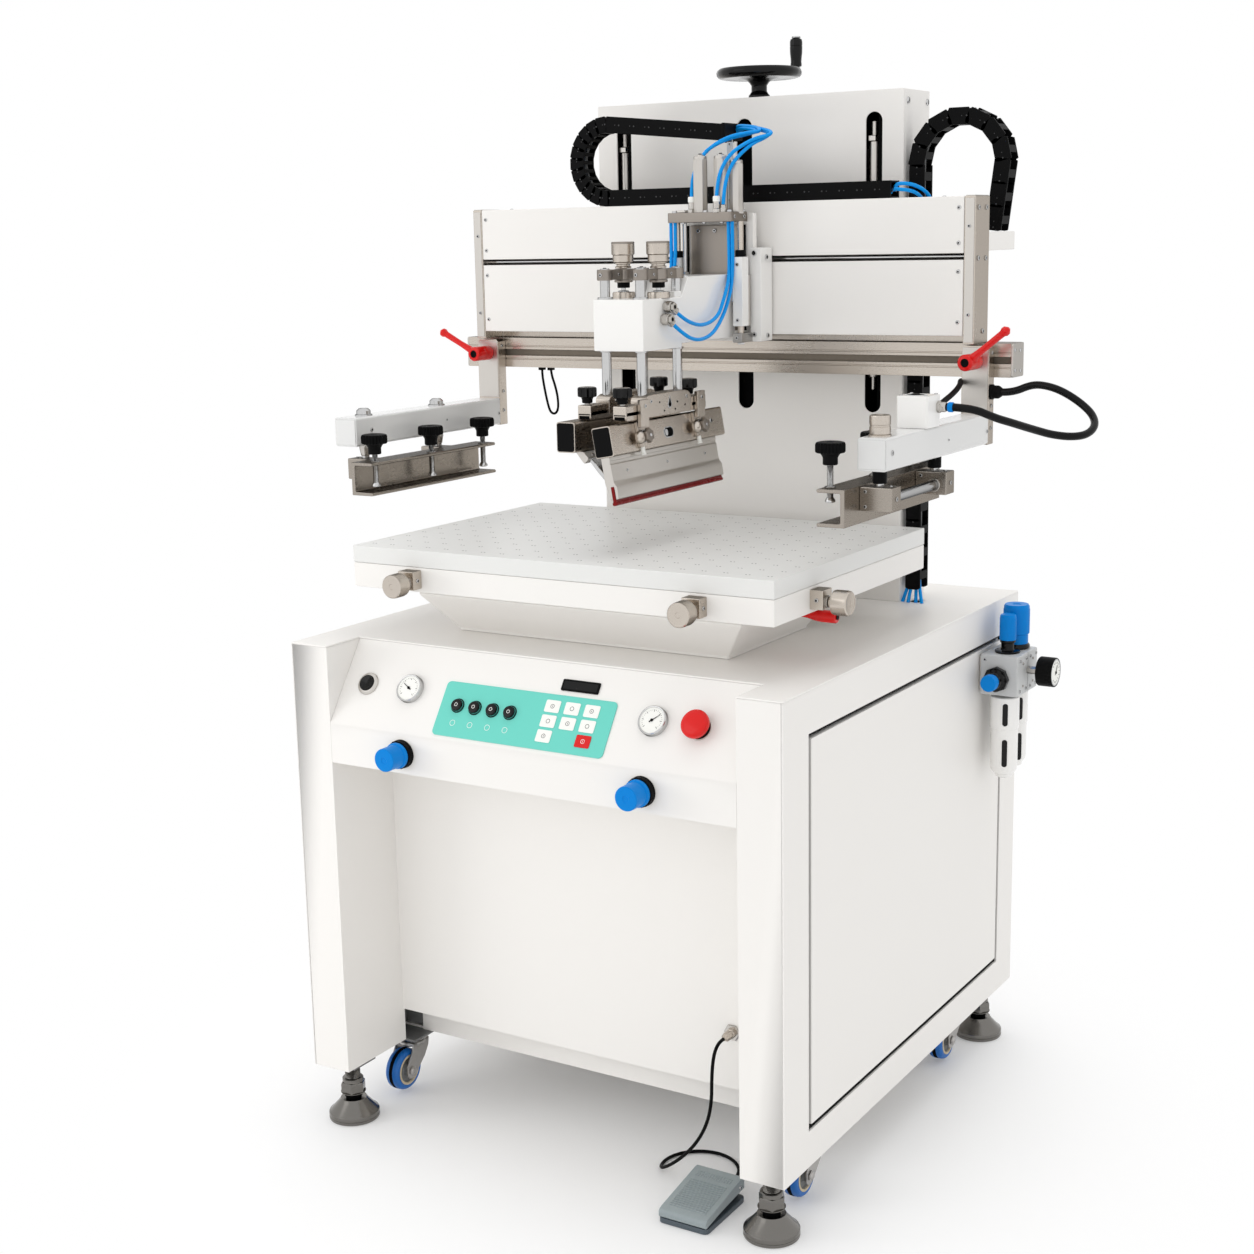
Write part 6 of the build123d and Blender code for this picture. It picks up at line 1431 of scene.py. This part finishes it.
def frame_clamp(side, x, s):
    # a channel on two hangers, with a shaft between them
    p = Piece(f"{side}_channel")
    xc = x + s * 42
    web, tip = xc - s * 20, xc + s * 20
    outline = [
        (web, 958), (tip - s * 1.5, 958), (tip, 959.5), (tip, 961.5), (tip - s * 1.5, 963),
        (web + s * 7.5, 963), (web + s * 6, 964.5), (web + s * 6, 1001.5), (web + s * 7.5, 1003),
        (tip - s * 1.5, 1003), (tip, 1004.5), (tip, 1006.5), (tip - s * 1.5, 1008), (web, 1008)
    ]
    p.add(prism(outline, -263, 57, 0.5, 1, 30), BRONZE["y"], XZ)
    for y in SCREW_YS:
        at = place(tip - s * 10, y, 1008)
        p.ring([(4.9, -0.4), (7.2, -0.2), (7.6, 0.4), (7.6, 1.0), (6.8, 1.6), (4.9, 1.6)], 32, STEEL, at)
    outer = web - s * 46
    for y in HANGER_YS:
        p.box(web, outer, y - 15, y + 15, 975, 1007, BRONZE["x"], 1.6)
        if side == "left":
            p.turn([(6.2, 1011), (7, 1012), (9.2, 1024), (9.2, 1029)], 40, NICKEL, place(x, y, 0))
        else:
            p.turn([(9, 1011), (9.6, 1012), (9.6, 1026), (9, 1029)], 40, BLACK, place(x, y, 0))
        p.drum(6, 1006, 1030, STEEL, place(x, y, 0), 0.5)
        for z in (981, 1001):
            p.cap_screw(place(web - s * 8, y - 15, z, "-y"), 2.4, 1.4)
        p.cap_screw(place(outer, y, 991, OUT[-s]), 3, 1.6)
        p.cap_screw(place(outer + s * 8, y, 1007), 2.6, 1.4)
    p.drum(7, -187, -30, STEEL, place(web - s * 29, 0, 989, "y"), 0.8)
    for y in (-186, -37):
        p.ring([
            (7.2, 0), (9.2, 0), (9.8, 0.8), (9.8, 4), (9, 5), (7.2, 5)
        ], 36, NICKEL, place(web - s * 29, y, 989, "y"))
    p.done(f"{side}_clamp", replaces=[f"{side}_frame_clamp"])

    lift = 0 if side == "left" else 18
    p = Piece(f"{side}_thumb_screws")
    for y in SCREW_YS:
        at = place(tip - s * 10, y, lift)
        p.turn([(5, 970), (6.6, 970.6), (6.8, 971.6), (6.8, 973), (5, 976), (4.2, 976.8)], 36, STEEL, at)
        ridge = [(4.4 if k % 2 else 3.8, 976.5 + 0.8 * k) for k in range(54)]
        p.turn(ridge, 24, STEEL, at)
        p.turn([(9, 1019.6), (10, 1020.6), (10, 1029), (11.4, 1032), (14, 1035.4)], 40, BLACK, at)
        p.turn([
            (14, 1035, 0), (18.8, 1035.6, 1.6), (20, 1037.4, 2.0), (20, 1046.4, 2.0), (18.8, 1049, 1.6),
            (15, 1050, 0), (6, 1049.6, 0), (5, 1049, 0), (0, 1049, 0)
        ], 48, BLACK, at)
    p.done(f"{side}_screws", replaces=[f"{side}_clamp_screws"])


for side, x, front, s in ARMS:
    arm_bar(side, x, front)
    lever(side, x)
    frame_clamp(side, x, s)


# ------------------------------------------------------------ table
FRONT_KNOB_XS = (-238, 236)
SIDE_KNOB_Y = -218
KNOB_Z = 850
HOLE_ROWS, HOLE_COLUMNS, HOLE_PITCH = 12, 21, (33, 40)
HOLE_RADIUS, HOLE_APART = 1.3, 2.6
EIGHTHS = [k * math.pi / 4 for k in range(8)]


def table_parts():
    p = Piece("table_pan")
    p.box(-350, 350, -335, 159.5, 833.7, 870.7, WHITE, 2.4)
    for x in FRONT_KNOB_XS:
        p.box(x - 14, x + 14, -355, -334.6, 840, 867, CHAMPAGNE["x"], 1.2)
        p.ring([
            (5.4, 355), (8.2, 355), (8.6, 355.8), (8.6, 357.4), (7.6, 358), (5.4, 358)
        ], 32, STEEL, place(x, 0, KNOB_Z, "-y"))
        p.cap_screw(place(x + 14, -345, 853, "x"), 3, 1.4)
    p.box(349.6, 370, -232, -204, 840, 867, CHAMPAGNE["y"], 1.2)
    p.ring([
        (5.4, 370), (8.2, 370), (8.6, 370.8), (8.6, 372.4), (7.6, 373), (5.4, 373)
    ], 32, STEEL, place(0, SIDE_KNOB_Y, KNOB_Z, "x"))
    p.cap_screw(place(360, -232, 853, "-y"), 3, 1.4)
    p.done("table", replaces=["print_table"])

    # suction holes: a grid of pairs, each a dark disc
    p = Piece("suction_holes")
    bm = bmesh.new()
    for i in range(HOLE_ROWS):
        for j in range(2 * HOLE_COLUMNS):
            x = -330 + HOLE_PITCH[0] * (j // 2) + (HOLE_APART if j % 2 else -HOLE_APART)
            y = -307.75 + HOLE_PITCH[1] * i
            edge = [(x + HOLE_RADIUS * math.cos(a), y + HOLE_RADIUS * math.sin(a)) for a in EIGHTHS]
            high = [bm.verts.new((*q, 895.76)) for q in edge]
            low = [bm.verts.new((*q, 895.5)) for q in edge]
            bm.faces.new(high)
            for k in range(8):
                bm.faces.new((low[k], low[(k + 1) % 8], high[(k + 1) % 8], high[k]))
    p.add(bm, GREY_DARK)
    p.done("table")

    p = Piece("pedestal_skirt")
    low = [(-230, -239), (230, -239), (230, 5), (-230, 5)]
    high = [(-272, -281), (272, -281), (272, 47), (-272, 47)]
    bm = bmesh.new()
    rings = []
    for points, z in ((low, 760.2), (low, 764), (high, 818), (high, 822)):
        rings.append([bm.verts.new((a, b, z)) for a, b in points])
    bm.faces.new(rings[0][::-1])
    bm.faces.new(rings[-1])
    for a, b in zip(rings, rings[1:]):
        for k in range(4):
            bm.faces.new((a[k], a[(k + 1) % 4], b[(k + 1) % 4], b[k]))
    bmesh.ops.recalc_face_normals(bm, faces=bm.faces)
    p.add(soften(bm, 2.5, 3, 12), WHITE)
    at = place(0, -190, 823.5, "x")
    p.turn([
        (0, 262), (4, 262), (4, 322), (4.6, 326), (8, 342), (8.6, 350), (8.6, 369), (7.6, 370.6), (0, 371)
    ], 40, RED, at)
    p.turn([(4, 372), (3.6, 372), (3.2, 370.6), (0, 370.6)], 20, BLACK, at)
    p.box(262, 272, -201, -179, 808, 832, BLACK, 1.5)
    p.done("stand", replaces=["table_pedestal"])

    knob = [
        (4.9, 0.4, 0), (4.9, 24, 0), (8, 24.4, 0), (8.6, 25.4, 0), (8.6, 29, 0), (15, 29.6, 0),
        (16.6, 30.6, 0), (16.8, 32, 0), (17.3, 33, 0.7), (17.3, 50, 0.7), (16.8, 51, 0), (16.8, 52.4, 0),
        (15.6, 53.8, 0), (13.6, 53.8, 0), (12.8, 53.2, 0), (4, 53.2, 0), (3.6, 52.6, 0), (0, 52.6, 0)
    ]
    for name, body, at in (
        ("front_left", "knob_front_left", place(FRONT_KNOB_XS[0], -335, KNOB_Z, "-y")),
        ("front_right", "knob_front_right", place(FRONT_KNOB_XS[1], -335, KNOB_Z, "-y")),
        ("side", "knob_side", place(350, SIDE_KNOB_Y, KNOB_Z, "x"))
    ):
        p = Piece(f"{name}_adjuster")
        p.turn(knob, 80, CHAMPAGNE["z"], at)
        p.done(body, replaces=[f"{name}_knob"])


dress("vacuum_plate", PLATE_WHITE, 0.0012)
table_parts()


# ------------------------------------------------------------ feet, castors, pedal
FOOT_X, FOOT_Y = 365, 380
CASTORS = (
    ("front_left", -352, -247), ("front_right", 352, -247), ("rear_left", -352, 275),
    ("rear_right", 352, 275)
)
PEDAL_X, PEDAL_FRONT, PEDAL_BACK = 252, -428, -316


def ground_parts():
    p = Piece("machine_feet")
    for sx, sy in CORNERS:
        at = place(sx * FOOT_X, sy * FOOT_Y, 0)
        p.turn([
            (36, 0), (38.4, 0.8), (39, 2), (39, 5), (38.3, 5.5), (38.3, 6.3), (39, 6.8), (39, 11.2),
            (38.2, 12.6), (36.4, 13.4), (24, 27), (20.6, 31.4), (20, 33), (14, 33), (14, 32), (0, 32)
        ], 64, FOOT_NICKEL, at)
        p.turn([(12.4, 32), (12.4, 42), (0, 42)], 32, DARK, at)
        thread = [(12 if k % 2 else 11.1, 41 + 1.2 * k) for k in range(46)]
        p.turn(thread, 32, FOOT_NICKEL, at)
        p.turn([(15, 42), (18.2, 42), (19.6, 44), (19.6, 57), (18.2, 59)], 6, FOOT_NICKEL, at)
        p.turn([(18.6, 41.6), (19.4, 42.2), (19.4, 43), (18, 43.4)], 40, FOOT_NICKEL, at)
        p.turn([(15.4, 58.6), (16.2, 59.4), (16.2, 65), (15.2, 66)], 40, FOOT_NICKEL, at)
    p.done("stand", replaces=["levelling_feet"])

    p = Piece("foot_plates")
    for sx, sy in CORNERS:
        p.box(-26, 26, -26, 26, 90.4, 94, FRAME_PAINT, 1, place(sx * FOOT_X, sy * FOOT_Y, 0))
    for _, x, y in CASTORS:
        p.turn([(17, 84.4), (24, 84.6), (26, 86.6), (27, 91)], 48, ZINC, place(x, y, 0))
    p.done("stand")

    for corner, x, y in CASTORS:
        wy, wz = y - 25, 39
        p = Piece(f"{corner}_stirrup")
        p.turn([
            (16, 73), (20, 74), (22, 76.4), (22, 80.2), (20.6, 81.6), (8, 81.6)
        ], 48, ZINC, place(x, y, 0))
        outline = [
            (y - 18, 81), (y + 18, 81), (y + 20, 78), (y + 18, 67), (y + 8, 52), (wy + 12, 33),
            (wy + 6, 27), (wy, 25), (wy - 7, 27), (wy - 12, 33), (wy - 12.4, 48), (y - 22, 70), (y - 20, 79)
        ]
        for s in (-1, 1):
            a, b = x + s * 16, x + s * 19
            p.add(prism(outline, min(a, b), max(a, b), 0.9, 2), ZINC, YZ)
            at = place(x + s * 19, wy, wz, OUT[s])
            p.nut(at, 8, 2.4, ZINC, 0.6)
            p.turn([(6, 2.2), (5.4, 3.4), (3.4, 4.4), (0, 4.8)], 32, ZINC, at)
        p.box(x - 19, x + 19, y - 20, y + 20, 77.4, 80.8, ZINC, 1.2)
        p.drum(5, -16.4, 16.4, STEEL, place(x, wy, wz, "x"), 0.3)
        p.done(f"{corner}_fork", replaces=[f"{corner}_castor_fork"])

        p = Piece(f"{corner}_tyre")
        at = place(x, wy, wz, "x")
        tread = [
            (24, -12), (27, -12.8), (30, -11.6), (32.2, -9), (33, -6), (33, -3), (32.6, -2.6), (32.6, 2.6),
            (33, 3), (33, 6), (32.2, 9), (30, 11.6), (27, 12.8), (24, 12)
        ]
        p.ring(tread, 64, BLUE_TREAD, at)
        p.ring([(32.5, -3.6), (33.1, -3.2), (33.2, 0), (33.1, 3.2), (32.5, 3.6)], 64, DARK, at)
        for s in (-1, 1):
            rim = [(23.6, 10.4), (24.4, 12.6), (22, 13.2), (20.6, 12.4), (20.6, 10.4)]
            p.ring([(r, s * h) for r, h in rim], 56, BEIGE, at)
        p.ring([
            (5.1, -14.8), (9.2, -14.8), (10, -14), (10, -9), (12, -7.6), (19, -8), (21, -11), (23.8, -11.6),
            (23.8, 11.6), (21, 11), (19, 8), (12, 7.6), (10, 9), (10, 14), (9.2, 14.8), (5.1, 14.8)
        ], 56, GREY, at)
        p.done(f"{corner}_wheel", replaces=[f"{corner}_castor_wheel"])


def pedal_parts():
    x0, x1, f, b = PEDAL_X - 39, PEDAL_X + 39, PEDAL_FRONT, PEDAL_BACK
    p = Piece("pedal_tray")
    p.add(prism(round_rect(78, 112, 8), 0, 8, 1.2), PEDAL_FLANGE, place(PEDAL_X, (f + b) / 2, 0))
    p.box(x0 + 10, x1 - 10, f + 30, b - 2, 7.6, 17, BLACK, 1.5)
    for s in (-1, 1):
        p.box(PEDAL_X + s * 14, PEDAL_X + s * 20, -424, -416, 7, 16.5, ZINC, 0.8)
    p.drum(2, -28, 28, STEEL, place(PEDAL_X, -420, 13, "x"), 0.3, 24)
    p.turn([
        (6.4, 0), (6.4, 4), (5.2, 5), (4.6, 9), (3.2, 12), (2.6, 13)
    ], 32, BLACK, place(PEDAL_X, -318, 12, "y"))
    p.done("stand", replaces=["pedal_base"])

    p = Piece("pedal_lid")
    outline = [
        (f, 9), (f, 17), (f + 2.5, 20), (f + 8, 22), (b - 8, 37.6), (b - 3, 37.4), (b - 1, 35), (b - 1, 28),
        (b - 1, 20), (f + 40, 14)
    ]
    p.add(prism(outline, x0 + 1, x1 - 1, 2, 3), PEDAL_GREY, YZ)
    slope = math.atan2(38 - 22, (b - 6) - (f + 8))
    top = place(PEDAL_X, f + 8, 22) @ Matrix.Rotation(slope, 4, "X")
    for k in range(15):
        y = 6 + 4.4 * k
        p.box(-29, 29, y, y + 2.3, -0.4, 1.1, PEDAL_GREY, 0.5, top)
    for k in range(3):
        for j in range(14):
            p.turn([
                (1.5, -0.3), (1.3, 0.6), (0.7, 1.0), (0, 1.0)
            ], 10, PEDAL_GREY, top @ place(-27 + 4.15 * j, 79 + 4.6 * k, 0))
    for s in (-1, 1):
        p.pan_screw(place(PEDAL_X + s * 38, -330, 26, OUT[s]), 2.8)
    p.done("pedal", replaces=["pedal_treadle"])


ground_parts()
pedal_parts()


# ------------------------------------------------------------ light, floor, background
WORLD_LEVEL = 0.90
FLOOR_RADIUS = 12
GLOW_FROM, GLOW_TO = 0.3, 0.95  # metres from the middle
AIM = Vector((0, -0.1, 0.85))
LAMPS = (
    ("key", (-2.4, -3.7, 2.8), (2.6, 2.2), 12),
    ("front", (-0.4, -4.3, 1.2), (2.8, 1.6), 9),
    ("fill", (-1.7, -1.5, 0.95), (0.8, 0.5), 6),
    ("top", (0.2, 0.6, 3.8), (3.0, 2.4), 28),
)


def seen_directly(tree):
    """1 for camera, glossy and transmission rays, and 0 for the rest."""
    path = new_node(tree, "LightPath")
    last = path.outputs["Is Camera Ray"]
    for name in ("Is Glossy Ray", "Is Transmission Ray"):
        both = new_node(tree, "Math", "MAXIMUM")
        tree.links.new(last, both.inputs[0])
        link(tree, path, name, both, 1)
        last = both.outputs[0]
    return last


def background():
    """White where it is seen, and the world's level where it lights the object."""
    world = bpy.data.worlds.new("studio")
    scene.world = world
    world.use_nodes = True
    tree = world.node_tree
    plain = tree.nodes["Background"]
    plain.inputs["Color"].default_value = (1, 1, 1, 1)
    plain.inputs["Strength"].default_value = WORLD_LEVEL
    white = new_node(tree, "Background", Color=(1, 1, 1, 1), Strength=1)
    mix = new_node(tree, "MixShader")
    tree.links.new(seen_directly(tree), mix.inputs[0])
    link(tree, plain, 0, mix, 1)
    link(tree, white, 0, mix, 2)
    link(tree, mix, 0, tree.nodes["World Output"], 0)


def lamps():
    for name, spot, size, power in LAMPS:
        data = bpy.data.lights.new(name, "AREA")
        data.shape = "RECTANGLE"
        data.size, data.size_y = size
        data.energy = power
        lamp = bpy.data.objects.new(name, data)
        lamp.location = spot
        lamp.visible_camera = False
        lamp.visible_glossy = name == "key"
        lamp.rotation_euler = (AIM - Vector(spot)).to_track_quat("-Z", "Y").to_euler()
        scene.collection.objects.link(lamp)


def floor_paint():
    """A pale floor that keeps the shadow near the object and fades into the background away from it."""
    paint = bpy.data.materials.new("floor")
    paint.use_nodes = True
    tree = paint.node_tree
    shader = tree.nodes["Principled BSDF"]
    shader.inputs["Base Color"].default_value = (0.95, 0.95, 0.95, 1)
    shader.inputs["Roughness"].default_value = 0.8
    glow = new_node(tree, "Emission")
    coord = new_node(tree, "TexCoord")
    reach = new_node(tree, "VectorMath", "LENGTH")
    spread = new_node(tree, "MapRange", From_Min=GLOW_FROM, From_Max=GLOW_TO)
    spread.interpolation_type = "SMOOTHSTEP"
    link(tree, coord, "Object", reach, 0)
    link(tree, reach, "Value", spread, "Value")
    times = new_node(tree, "Math", "MULTIPLY")
    link(tree, spread, "Result", times, 0)
    tree.links.new(seen_directly(tree), times.inputs[1])
    mix = new_node(tree, "MixShader")
    link(tree, times, 0, mix, 0)
    link(tree, shader, 0, mix, 1)
    link(tree, glow, 0, mix, 2)
    link(tree, mix, 0, tree.nodes["Material Output"], "Surface")
    return paint


def floor_disc():
    mesh = bpy.data.meshes.new("floor")
    bm = bmesh.new()
    bmesh.ops.create_circle(bm, cap_ends=True, segments=96, radius=FLOOR_RADIUS)
    bm.to_mesh(mesh)
    bm.free()
    mesh.materials.append(floor_paint())
    floor = bpy.data.objects.new("floor", mesh)
    floor.location.z = -0.0005
    scene.collection.objects.link(floor)


background()
lamps()
floor_disc()
scene.view_settings.view_transform = "Standard"
